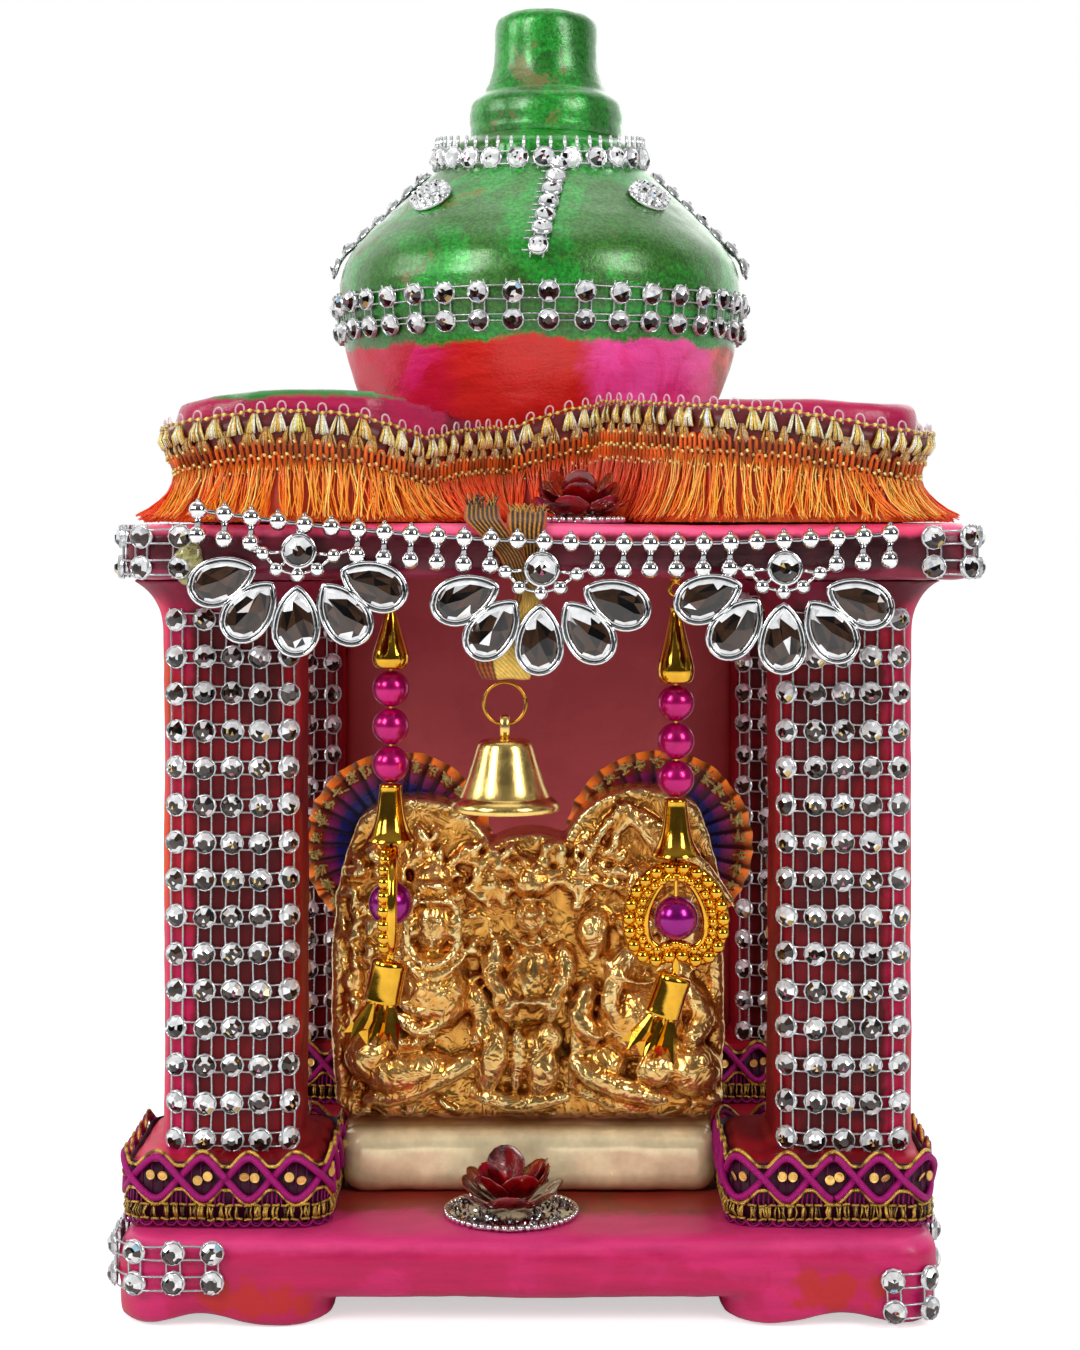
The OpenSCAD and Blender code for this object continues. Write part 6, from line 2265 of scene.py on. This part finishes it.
# Limbs and drapery: places (across, height, proud of the panel) and radii along each
FIG_LIMBS = (
    # left figure: tall crown, shoulders, arms, sash, folded legs
    (((-21, 96, 0.5), (-21, 90, 2.0), (-21, 85.5, 3.0)), (2.6, 4.6, 5.4)),
    (((-21, 76, 1.5), (-21, 66, 2.6), (-20, 56, 2.0)), (6.0, 8.0, 8.5)),
    (((-29.5, 66, 1.0), (-32, 57, 2.0), (-27.5, 52, 4.0), (-22, 54, 5.0)), (3.2, 2.8, 2.4, 2.0)),
    (((-13, 66, 1.5), (-9.5, 58, 2.5), (-11.5, 52, 4.2)), (3.0, 2.6, 2.2)),
    (((-30, 63.5, 4.2), (-22, 60, 6.4), (-14.5, 65.5, 5.2)), (1.5, 1.8, 1.6)),
    (((-31, 60, 4.0), (-23, 55.5, 6.6), (-15, 61, 5.2)), (1.3, 1.6, 1.3)),
    (((-37, 47.5, 2.0), (-29, 45.5, 4.6), (-17, 48, 4.0)), (4.4, 5.2, 4.2)),
    (((-36, 39.5, 3.0), (-27, 41.5, 5.0), (-15, 47, 4.4), (-9, 50.5, 3.4)), (2.2, 2.8, 2.6, 1.8)),
    (((-38, 53, 1.0), (-38.5, 62, 0.6), (-38, 74, 0.4)), (3.0, 2.4, 1.6)),
    # middle figure: crown, torso, raised hands, two upright legs and hanging folds
    (((0.5, 95.5, 0.2), (0.5, 90, 1.4), (0.5, 86, 2.4)), (2.0, 3.6, 4.2)),
    (((0.5, 76, 1.2), (0.5, 68, 2.4), (0.5, 61, 2.6)), (4.6, 6.0, 6.4)),
    (((-6.5, 75, 1.4), (-8.6, 68, 2.6), (-5.2, 64, 5.0), (-4.8, 58, 5.4)), (2.3, 2.1, 2.0, 2.4)),
    (((6.6, 75, 1.4), (8.6, 69, 2.8), (5.4, 64.5, 5.0), (4.8, 58, 5.2)), (2.3, 2.1, 2.0, 2.4)),
    (((-7.0, 58, 1.5), (-7.8, 50, 4.6), (-9.6, 41, 3.4)), (3.2, 3.7, 2.6)),
    (((0.4, 56, 2.0), (3.2, 47, 5.0), (1.6, 39.5, 3.8)), (3.4, 3.9, 2.8)),
    (((-2.8, 57, 4.0), (-2.2, 49, 4.8), (-3.2, 41, 3.4)), (1.2, 1.5, 1.2)),
    (((9.6, 60, 2.8), (10.6, 51, 4.2), (8.8, 42, 3.2)), (1.1, 1.5, 1.1)),
    (((13.0, 60, 2.4), (13.6, 50, 3.8), (11.4, 41.5, 3.0)), (1.1, 1.4, 1.1)),
    (((-12, 40.4, 3.4), (-2, 38.6, 4.6), (9, 40.5, 4.0)), (1.8, 2.2, 1.8)),
    # right figure: head with ears and trunk, belly, arms, crossed leg, knee
    (((24.5, 94, 0.6), (24.5, 89, 1.6), (24.5, 85, 2.4)), (2.6, 4.4, 5.6)),
    (((24.0, 82, 2.6), (23.6, 77, 3.4)), (6.6, 5.2)),
    (((22.4, 75, 5.0), (19.0, 69.5, 6.6), (17.2, 62.5, 6.8), (20.0, 57.6, 6.4), (23.6, 59.0, 5.8)),
     (2.9, 2.5, 2.1, 1.7, 1.3)),
    (((15.4, 83, 1.0), (13.6, 78, 2.4), (15.0, 72.5, 1.6)), (2.6, 3.4, 2.0)),
    (((33.2, 83, 1.0), (35.0, 78, 2.2), (33.6, 72.5, 1.4)), (2.6, 3.4, 2.0)),
    (((24.6, 62, 1.5), (24.2, 55, 2.4)), (10.0, 10.6)),
    (((13.2, 66, 2.0), (10.6, 58.5, 3.4), (14.6, 53, 5.4)), (2.8, 2.6, 2.2)),
    (((35.0, 66, 1.6), (38.2, 58, 2.4), (34.2, 51.5, 4.6)), (3.0, 2.7, 2.4)),
    (((32, 70, 3.2), (26, 62, 6.4), (17, 58.6, 5.4)), (0.9, 1.0, 0.9)),
    (((8.6, 49.5, 4.2), (14.0, 45.0, 6.2), (22.0, 42.0, 6.4), (30.0, 39.6, 5.2)), (2.0, 2.6, 2.5, 2.0)),
    (((10.0, 42.0, 2.6), (18.0, 39.0, 4.4), (27.0, 37.6, 4.6)), (1.6, 1.9, 1.7)),
    (((40.4, 84, 0.2), (40.8, 64, 0.6), (40.6, 42, 0.6)), (1.9, 1.8, 2.2)),
    (((-41.2, 84, 0.2), (-41.4, 64, 0.4), (-41.2, 42, 0.6)), (1.9, 1.7, 2.2)))
# Single swellings: across, height, proud, and the three half sizes
FIG_ROUNDS = (
    (-21, 80.2, 4.6, 4.3, 4.4, 6.2), (0.5, 81.8, 3.4, 3.1, 3.4, 4.2), (24.2, 57.4, 3.8, 9.8, 7.4, 9.2),
    (35.4, 46.6, 4.4, 6.6, 6.0, 6.6), (-34.8, 49.4, 3.8, 5.6, 4.6, 5.4), (-9.0, 47.8, 3.4, 2.6, 2.6, 3.4),
    (16.2, 47.6, 4.0, 5.0, 3.6, 4.6), (-25.4, 44.6, 4.8, 6.0, 3.8, 4.2), (-0.2, 92.6, 1.6, 1.4, 1.6, 1.4),
    (4.4, 53.8, 3.8, 3.0, 3.0, 3.6), (27.6, 46.8, 6.6, 4.6, 2.4, 3.6), (39.2, 40.0, 2.6, 3.0, 2.6, 2.2))

# Beaded bows: middle, height, half width, drop, proud and bead radius
FIG_BOWS = (
    (-21, 71.2, 6.6, 4.4, 6.6, 0.75), (-21, 68.6, 7.8, 5.6, 6.9, 0.6), (-21, 86.0, 4.6, -1.2, 7.4, 0.7),
    (-21, 89.4, 4.0, -1.0, 6.2, 0.6), (0.5, 75.6, 4.4, 2.8, 5.4, 0.6), (0.5, 86.2, 3.4, -0.8, 5.4, 0.55),
    (0.5, 62.8, 7.8, 0.4, 7.2, 0.85), (24.2, 86.0, 5.8, -1.4, 7.2, 0.75), (24.2, 67.4, 7.6, 4.6, 8.6, 0.7))


class SHRINE_OT_figures(PieceOperator):
    """Cast panel of three seated figures"""
    bl_idname = "shrine.figures"
    bl_label = "Figures"

    def at(self, u, h, proud):
        """A spot on the panel's face."""
        return (FIG_X + u, FIG_FACE - proud, h)

    def panel_top(self, u):
        """Height of the panel's scalloped top."""
        best = FIG_BASE
        for c, half, top in FIG_ARCHES:
            k = (u - c) / half
            if abs(k) < 1:
                best = max(best, top - half * 0.95 * (1 - sqrt(1 - k * k)))
        return max(best, FIG_SIDES if abs(u) < 42 else FIG_BASE)

    def panel(self):
        """The panel and its step, extruded from their outlines."""
        us = np.linspace(-FIG_HALF, FIG_HALF, 120)
        tops = np.array([self.panel_top(u) for u in us])
        edge = np.clip((FIG_HALF + 0.2 - np.abs(us)) / 5, 0, 1)
        tops = FIG_SIDES + (tops - FIG_SIDES) * np.sqrt(edge)
        loop = np.concatenate([np.stack([us, tops], 1), [(FIG_HALF, 30.0), (-FIG_HALF, 30.0)]])
        n = len(loop)
        co = [(FIG_X + u, y, h) for y in (FIG_FACE, FIG_BACK) for u, h in loop]
        mesh = bpy.data.meshes.new("panel")
        faces = [tuple(range(n)), tuple(range(2 * n - 1, n - 1, -1))]
        faces += [(i, i + n, (i + 1) % n + n, (i + 1) % n) for i in range(n)]
        mesh.from_pydata((np.array(co) * MM).tolist(), [], faces)
        low = box("figure_group")[0]
        step = slab("step", (FIG_X - 43.2, -48.4, low[2]), (FIG_X + 43.2, FIG_BACK + 0.1, 33.6), 5, 4.2)
        return outward(in_scene("panel", mesh)), step

    def strokes(self, heap, rng):
        """Ridges of the crowns, hair, leaves and folds, and beaded lines."""
        def stroke(u, h, turn, length, r, proud, bend=0.0):
            t = np.linspace(-0.5, 0.5, 5)
            a = turn + bend * t
            line = zip(u + length * t * np.cos(a), h + length * t * np.sin(a), proud + 0.5 - 2.2 * t * t)
            heap.tube([self.at(*p) for p in line], r * np.array([0.3, 0.9, 1.1, 0.9, 0.3]), 6)

        for c, h, half in ((-24, 86, 15), (0.5, 86, 12), (25, 90, 14)):
            for _ in range(58):
                turn = rng.uniform(0.06, 0.94) * pi
                out = rng.uniform(6, half + 3)
                u, z = c + out * cos(turn), h + out * 1.05 * sin(turn) - 3
                if z < self.panel_top(u) - 1.5 and not (c > 20 and u > 21):
                    stroke(u, z, turn + rng.normal() * 0.5, rng.uniform(3, 6), rng.uniform(0.6, 1.0),
                           rng.uniform(0.2, 1.4), rng.normal())
        for k in range(9):
            u = 22.5 + 2.1 * k
            stroke(u + 1.5, self.panel_top(u) - 8.5 - 0.7 * k, radians(128), 17, 0.95, 1.3, 0.2)
        for _ in range(120):
            u, h = rng.uniform(-39, 39), rng.uniform(36, 82)
            stroke(u, h, rng.uniform(0, pi), rng.uniform(2.5, 7), rng.uniform(0.45, 0.95),
                   rng.uniform(0.6, 2.6), rng.normal() * 1.2)
        for side in (-1, 1):
            for k in range(26):
                stroke(side * rng.uniform(34, 40.5), 38 + 1.9 * k, rng.uniform(1.0, 2.2), rng.uniform(3, 6),
                       0.7, rng.uniform(0.6, 1.6), rng.normal())

    def beads(self, heap):
        """Beaded lines: necklaces, bracelets, crown bands and the right arch."""
        ball = bead(8, 6)

        def row(points, r):
            points = np.array(points, float)
            run = run_of(points)
            spots = look_up(np.arange(0, run[-1], r * 2.1), run, points)
            heap.stamp(ball, spheres([self.at(*p) for p in spots], r))

        def bow(u, h, w, drop, proud, r):
            t = np.linspace(-1, 1, 15)
            row(np.stack([u + w * t, h + drop * t * t, proud - 2.6 * t * t], 1), r)

        for numbers in FIG_BOWS:
            bow(*numbers)
        row([(10.4, 84, 1.4), (11.2, 90, 1.6), (13.4, 97, 1.6), (17.0, 103, 1.6), (21.4, 107.4, 1.4)], 1.25)
        row([(-8.6, 84, 1.0), (-9.4, 90, 1.0), (-12, 97, 1.0)], 0.8)
        for u, h in ((-26.0, 53.0), (-11.6, 53.6), (-5.0, 61.4), (5.0, 61.4), (14.8, 54.8), (34.0, 53.2)):
            bow(u, h, 2.4, 0.5, 7.2, 0.55)

    def faces_of(self, heap):
        """Calm, plain faces: brows, nose, eyes and lips in soft relief, the left one in an oval setting."""
        for u, h, s, proud in ((-21, 80.2, 1.0, 8.6), (0.5, 81.8, 0.68, 6.4)):
            def line(points, r, lift=0.0):
                heap.tube([self.at(u + a * s, h + b * s, proud - 0.12 * a * a * s - 0.03 * b * b * s + lift)
                           for a, b in points], np.array(r) * s, 6)

            line([(0, 1.6), (0, 0.2), (0, -0.9)], (0.35, 0.5, 0.75), 0.35)
            for side in (-1, 1):
                line([(side * 0.7, 1.9), (side * 1.7, 2.35), (side * 2.8, 1.8)], (0.3, 0.4, 0.25))
                line([(side * 0.9, 1.0), (side * 1.7, 1.15), (side * 2.5, 0.9)], (0.25, 0.5, 0.25))
                line([(side * 4.2, 1.6), (side * 4.5, -0.4), (side * 4.0, -2.4)], (0.5, 0.75, 0.9), -1.0)
            line([(-1.2, -2.5), (0, -2.7), (1.2, -2.5)], (0.3, 0.5, 0.3), 0.1)
            line([(-0.6, -4.3), (0, -4.4), (0.6, -4.3)], (0.5, 0.7, 0.5), -0.1)
        heap.tube(hoop(self.at(-21, 79.6, 4.9), (5.9, 0, 8.2), 40), 0.85, 8, closed=True)
        for side in (-1, 1):
            eye = ((24.2 + side * 2.4, 78.8, 7.2), (24.2 + side * 3.6, 79.2, 6.6))
            heap.tube([self.at(*p) for p in eye], 0.55, 6)

    def crinkles(self, mat):
        """Sharp little creases over the relief, painted dark in their depths as shade."""
        t, bsdf, old = shader_of(mat)
        over = ramp(t, xyz(t)["Z"], (FIG_BASE + 0.8) * MM, (FIG_BASE + 2.5) * MM)
        crease = calc(t, "ABSOLUTE", minus(t, grain(t, 240, 2, 0.5, distortion=0.6), 0.5), 0.0)
        # Painted shade along the creases.
        dark = times(t, ramp(t, crease, 0.0, 0.03, 0.35, 0.0), over)
        feed(t, bsdf, {"Metallic": plus(t, times(t, over, 0.52), 0.36),
                       "Base Color": blend(t, dark, old, rgba(srgb(150, 66, 20)))})
        bump(t, bsdf, times(t, ramp(t, crease, 0.0, 0.2), over), 0.8, 0.3)

    def build(self):
        """Welds everything into one casting, crumples it like thin foil, and paints its hollows red-brown as
        shade and its ridges pale as highlights.
        """
        rng = np.random.default_rng(19)
        heap = Heap()
        for path, radii in FIG_LIMBS:
            path, radii = np.array(path, float), np.array(radii, float)
            t = np.linspace(0, len(path) - 1, 5 * len(path))
            k = np.arange(len(path))
            p, r = look_up(t, k, path), np.interp(t, k, radii)
            for _ in range(2):
                p[1:-1] = (p[:-2] + 2 * p[1:-1] + p[2:]) / 4
            cap = np.sqrt(np.clip(1 - (1 - np.minimum(t, t[-1] - t) * 1.6).clip(0) ** 2, 0.16, 1))
            heap.tube([self.at(u, h, d - rr * 0.35) for (u, h, d), rr in zip(p, r)], r * cap, 14)
        for u, h, proud, a, b, c in FIG_ROUNDS:
            heap.stamp(bead(20, 12), spheres([self.at(u, h, proud - b * 0.4)], (a, b, c)))
        self.strokes(heap, rng)
        self.beads(heap)
        self.faces_of(heap)
        casting = join("figure_casting", *self.panel(), heap.build("relief"))
        casting.data.materials.clear()
        melt(casting, 0.62, 2)
        co, n = points_of(casting), normals_of(casting)
        relief = (co[:, 1] < FIG_FACE + 3) & (co[:, 2] > FIG_BASE + 1)
        crumple = np.zeros(len(co))
        for i in np.nonzero(relief)[0]:
            p = Vector(co[i])
            p = p + 2.4 * noise.noise_vector(p / 8)
            fold = 0.28 - abs(noise.noise(Vector((p.x / 4.4, p.y / 4.4, p.z / 6.6))))
            fine = 0.28 - abs(noise.noise(p / 2.3 + Vector((7, 3, 1))))
            crumple[i] = (0.62 + 0.5 * noise.noise(p / 14)) * (fold + 0.32 * fine)
        face_ok = np.hypot((co[:, 0] - FIG_X + 21) / 4.6, (co[:, 2] - 80.2) / 6.6) < 1
        crumple[face_ok] *= 0.15
        co = co + n * crumple[:, None]
        dents = np.array([0.35 * noise.noise(Vector(p) / 9) for p in co])
        co = co + n * (dents * (co[:, 2] < FIG_BASE + 1))[:, None]
        set_points(casting, co)
        smooth_copy = casting.copy()
        smooth_copy.data = casting.data.copy()
        bpy.context.scene.collection.objects.link(smooth_copy)
        settle(smooth_copy, 26)
        height = np.sum((co - points_of(smooth_copy)) * n, 1)
        bpy.data.objects.remove(smooth_copy)
        # Painted shade and highlight: hollows darkened towards red-brown, ridges lightened towards pale
        # gold.
        gold, light, deep = (np.array(srgb(*c)) for c in ((238, 172, 78), (255, 234, 164), (104, 24, 8)))
        k = np.clip((height + 0.02) / 0.42, -1, 1)[:, None]
        tint = np.where(k > 0, gold + (light - gold) * k, gold + (deep - gold) * -k)
        # Painted shade: a dark line in the crease where the panel meets the step.
        line = np.exp(-((co[:, 2] - FIG_BASE - 1.2) / 1.6) ** 2) * (co[:, 1] < FIG_FACE + 2)
        # The step's satin band, turning pinkish brown towards its foot as a painted reflection of the floor.
        band = smooth((FIG_BASE + 0.6 - co[:, 2]) / 1.5)[:, None]
        floor_reflection = smooth((24.5 - co[:, 2]) / 5)[:, None] * 0.45
        satin = np.array(srgb(255, 236, 190))
        tint = tint + (satin + (np.array(srgb(206, 122, 74)) - satin) * floor_reflection - tint) * band
        tint = tint + (deep * 0.8 - tint) * (0.85 * line)[:, None]
        store_tints(casting.data, tint, "POINT")
        shade_smooth(casting)
        co[:, 0] = FIG_X + (co[:, 0] - FIG_X) * (1 + 0.062 * smooth((co[:, 2] - 35.5) / 3))
        set_points(casting, co)
        gold = tinted("Cast gold", 0.23, 0.2, 220, 0.05, metallic=0.88)
        self.crinkles(gold)
        finished(casting, "root", "gold_cast", "figure_group", material=gold)


class SHRINE_OT_halos(PieceOperator):
    """Pleated ribbon halos behind the figures"""
    bl_idname = "shrine.halos"
    bl_label = "Halos"

    def build(self):
        """Two pleated rings with an orange edge, sequin blocks, purple and navy bands."""
        pleats = bpy.context.scene.shrine_sizes.halo_pleats
        rng = np.random.default_rng(8)
        bands = ((7.5, (3, 2, 8)), (11.3, (4, 4, 14)), (12.0, (14, 16, 84)), (14.4, (18, 20, 104)),
                 (15.2, (96, 12, 84)), (17.2, (132, 20, 84)), (17.8, (128, 20, 14)), (20.2, (168, 50, 16)),
                 (20.6, (250, 110, 30)), (22.4, (255, 138, 40)))
        # The cloth glows a little in its own colour: painted light on the halos in the shade behind the
        # figures.
        cloth = tinted("Halo cloth", 0.32, 0.35, 900, 0.08, sheen_weight=0.5, sheen_roughness=0.3,
                       emission_strength=0.36)
        t, bsdf, colour = shader_of(cloth)
        feed(t, bsdf, {"Emission Color": colour})
        sequin = tinted("Halo sequins", 0.3, 0.3, 1200, 0.15, metallic=0.4)
        y = box("halos")[1][1] - 0.85
        for side, x, z in (("left", -35.3, 95.4), ("right", 27.0, 95.6)):
            heap, blocks = Heap(), Heap()
            n = pleats * 8
            a, step = turns(n), np.arange(n) % 8
            wave = np.where(step < 6, step / 6, (8 - step) / 2)
            shade = np.where(step < 6, 0.35 + step / 6, 0.12)[:, None]
            rows, tints = [], []
            for lift, line in ((-0.16, bands), (0.16, bands[::-1])):
                for r, screen in line:
                    reach = r + 0.45 * np.array([wobble(q * 9, r) for q in a]) + 0.2 * wave
                    deep = y - (1.0 - 0.35 * (r / 22.5)) * (wave - 0.5) + lift
                    rows.append(np.stack([x + reach * np.cos(a), deep, z + reach * np.sin(a)], 1))
                    tints.append(np.array(srgb(*screen)) * shade)
            heap.faces(np.concatenate(rows), net(len(rows), n, True), np.concatenate(tints))
            piece = outward(heap.build(f"halo_{side}", cloth))
            finished(piece, "root", "halo_cloth", *(["halos"] if side == "left" else []))
            for k in range(pleats):
                a0 = (k + 0.1) * 2 * pi / pleats
                for _ in range(14):
                    a, r = a0 + rng.uniform(0.1, 0.62) * 2 * pi / pleats, rng.uniform(18.4, 20.8)
                    da, dr = rng.normal() * 0.03, rng.normal() * 0.5
                    p = [(x + q * cos(b), y - 0.55, z + q * sin(b)) for q, b in
                         ((r - dr, a - da), (r + dr, a + da))]
                    shade = srgb(255, 236, 150) if rng.random() < 0.85 else srgb(176, 92, 24)
                    blocks.tube(p, 0.27, 4, np.clip(np.array(shade) * rng.uniform(0.7, 1.3), 0, 1))
            gilt = finished(blocks.build(f"halo_sequins_{side}", sequin), "root", "gold_bead")


# ---------- flowers and glue ----------

class SHRINE_OT_flowers(PieceOperator):
    """Red petal flowers on silver discs, and the spot of dried glue"""
    bl_idname = "shrine.flowers"
    bl_label = "Flowers"

    def petal(self, width, depth):
        """A round cupped petal facing +Z, its stem at the origin and its tip along +X."""
        deselect()
        bpy.ops.mesh.primitive_uv_sphere_add(segments=18, ring_count=10, radius=MM)
        petal = fresh("petal")
        co = points_of(petal)
        u, v, w = co.T.copy()
        co[:, 0] = (u + 1) * depth / 2
        narrow = 0.45 + 0.55 * np.clip((u + 1) / 1.1, 0, 1)
        co[:, 1] = v * width / 2 * narrow
        co[:, 2] = w * 0.42 + 0.28 * depth * ((u + 1) / 2) ** 2 + 0.5 * v * v - 0.12 * np.cos(v * 9)
        set_points(petal, co)
        shade_smooth(petal)
        return Shape(petal)

    def put(self, place, spin, rise):
        """Placing matrix for a petal that leaves a centre at an angle."""
        c, s = cos(spin), sin(spin)
        a, b = cos(rise), sin(rise)
        return frames([place], (c * a, s * a, b), (-s, c, 0), (-c * b, -s * b, a))

    def flower(self, name, node, disc_r, petal_size, rings):
        """A glittered disc, rings of petals and a cluster of beads."""
        rng = np.random.default_rng(len(name))
        x, y, z = (*middle(node)[:2], box(node)[0][2])
        red, silver = Heap(), Heap()
        petal = self.petal(*petal_size)
        for count, rise, out, lift, offset in rings:
            for k in range(count):
                spin = (k + offset) * 2 * pi / count + rng.normal() * 0.08
                place = (x + out * cos(spin), y + out * sin(spin), z + lift)
                m = self.put(place, spin, radians(rise + rng.normal() * 5))
                red.stamp(petal, m, np.ones(3) * rng.uniform(0.7, 1.15))
        ball = bead(10, 7)
        top = z + max(r[3] for r in rings)
        for k in range(15):
            a, out = k * 2.4, 0.62 * sqrt(k) * disc_r / 13
            r = rng.uniform(0.62, 0.95)
            spot = (x + out * 1.35 * cos(a), y + out * 1.35 * sin(a), top + 1.9 - 0.12 * out * out)
            silver.stamp(ball, spheres([spot], r), (0.9, 0.9, 0.92))
        self.disc(silver, x, y, z, disc_r, ball, rng)
        finished(red.build(name + "_petals", self.red), "root", "flower", node)
        finished(silver.build(name + "_disc", self.silver), "root", "silver_trim")

    def disc(self, heap, x, y, z, r, ball, rng):
        """Thin disc with a beaded rim, strewn with glitter flakes."""
        a = turns(60)
        rim = r * (0.93 + 0.03 * np.cos(a * 12))
        levels = ((0.02, 0.9), (0.6, 1.0), (0.96, 0.9), (1.0, 0.5), (0.97, 0.15), (0.02, 0.15))
        rows = [np.stack([x + rim * scale * np.cos(a), y + rim * scale * np.sin(a),
                          np.full(len(a), z + h)], 1) for scale, h in levels]
        heap.faces(np.concatenate(rows), net(len(rows), len(a))[:, (0, 3, 2, 1)], (0.72, 0.72, 0.74))
        b = turns(int(2 * pi * r * 0.95 / 1.7))
        spots = np.stack([x + r * 0.95 * np.cos(b), y + r * 0.95 * np.sin(b), np.full(len(b), z + 1.0)], 1)
        heap.stamp(ball, spheres(spots, 0.72), (0.85, 0.85, 0.87))
        for _ in range(420):
            b, out = rng.uniform(0, 2 * pi), r * sqrt(rng.uniform(0.1, 0.82))
            p = np.array((x + out * cos(b), y + out * sin(b), z + 1.15))
            u = unit(rng.normal(size=3)) * 0.42
            v = unit(np.cross(u, rng.normal(size=3) + (0, 0, 0.01))) * 0.42
            shade = (1, 1, 1) if rng.random() < 0.6 else (0.3, 0.3, 0.34)
            heap.faces(np.array([p - u, p + v, p + u, p - v]), [(0, 1, 2, 3)], shade, flat=True)

    def glue(self):
        """A flattened drop of clear yellow glue over the left end of the trim."""
        deselect()
        bpy.ops.mesh.primitive_uv_sphere_add(segments=24, ring_count=14, radius=MM)
        drop = fresh("glue_drop")
        co = points_of(drop) * (3.4, 1.3, 4.6)
        co = co + 0.5 * np.array([noise.noise_vector(Vector(p) / 3) for p in co])
        co[:, 1] = np.minimum(co[:, 1], 0.3)
        set_points(drop, co + (-76.6, CORNICE_FRONT - 0.5, 164.0))
        shade_smooth(drop)
        mat, t, bsdf = material("Dried glue", roughness=0.12, alpha=0.7, coat_weight=0.6)
        cloud = ramp(t, grain(t, 700, 4), 0.35, 0.65)
        feed(t, bsdf, {"Base Color": blend(t, cloud, rgba(srgb(196, 190, 120)), rgba(srgb(110, 96, 60)))})
        bump(t, bsdf, grain(t, 500, 3), 0.5, 0.2)
        finished(drop, "root", "rhinestone_mesh", material=mat)

    def build(self):
        """Both flowers and the glue."""
        self.red = tinted("Petal", 0.1, 0.1, 400, 0.1, coat_weight=1.0, coat_roughness=0.04)
        t, bsdf, colour = shader_of(self.red)
        cloudy = blend(t, ramp(t, grain(t, 260, 4), 0.4, 0.7), rgba(srgb(146, 8, 12)), rgba(srgb(62, 2, 6)))
        feed(t, bsdf, {"Base Color": blend(t, 1.0, colour, cloudy, "MULTIPLY")})
        self.silver = tinted("Silver glitter", 0.12, 0.15, 900, metallic=1.0)
        self.flower("floor_bloom", "floor_flower", 15.2, (9.4, 9.8),
                    ((7, 10, 3.2, 2.0, 0.2), (6, 30, 2.4, 3.4, 0.75), (3, 52, 3.0, 4.4, 0.9)))
        self.flower("roof_bloom", "roof_flower", 10.2, (8.2, 9.2),
                    ((7, 12, 2.6, 1.6, 0.1), (6, 26, 2.0, 2.8, 0.5), (3, 44, 2.4, 3.6, 0.2)))
        self.glue()


PIECES = (SHRINE_OT_stage, SHRINE_OT_base, SHRINE_OT_posts, SHRINE_OT_wall, SHRINE_OT_cornice,
          SHRINE_OT_canopy, SHRINE_OT_dome, SHRINE_OT_post_mesh, SHRINE_OT_bands, SHRINE_OT_fringe,
          SHRINE_OT_lace, SHRINE_OT_trim, SHRINE_OT_bell, SHRINE_OT_hangings,
          SHRINE_OT_figures, SHRINE_OT_halos, SHRINE_OT_flowers)


# ---------- add-on ----------

class SHRINE_PT_panel(bpy.types.Panel):
    """Sidebar panel that lists the pieces"""
    bl_label = "Shrine"
    bl_idname = "SHRINE_PT_panel"
    bl_space_type = "VIEW_3D"
    bl_region_type = "UI"
    bl_category = "Shrine"

    def draw(self, context):
        """Settings, then a button for each piece."""
        for settings in (context.scene.shrine_colours, context.scene.shrine_sizes):
            column = self.layout.column(align=True)
            for key in settings.__annotations__:
                column.prop(settings, key)
        for piece in PIECES:
            self.layout.operator(piece.bl_idname, text=piece.bl_label)


def register():
    """Registers the classes and the settings."""
    for cls in (ShrineColours, ShrineSizes, *PIECES, SHRINE_PT_panel):
        bpy.utils.register_class(cls)
    bpy.types.Scene.shrine_colours = PointerProperty(type=ShrineColours)
    bpy.types.Scene.shrine_sizes = PointerProperty(type=ShrineSizes)


def unregister():
    """Takes them away again."""
    del bpy.types.Scene.shrine_colours, bpy.types.Scene.shrine_sizes
    for cls in (SHRINE_PT_panel, *reversed(PIECES), ShrineSizes, ShrineColours):
        bpy.utils.unregister_class(cls)


def main():
    """Builds everything in order."""
    register()
    for piece in PIECES:
        getattr(bpy.ops.shrine, piece.bl_idname.split(".")[1])()
    bpy.context.view_layer.update()


if __name__ == "__main__":
    main()
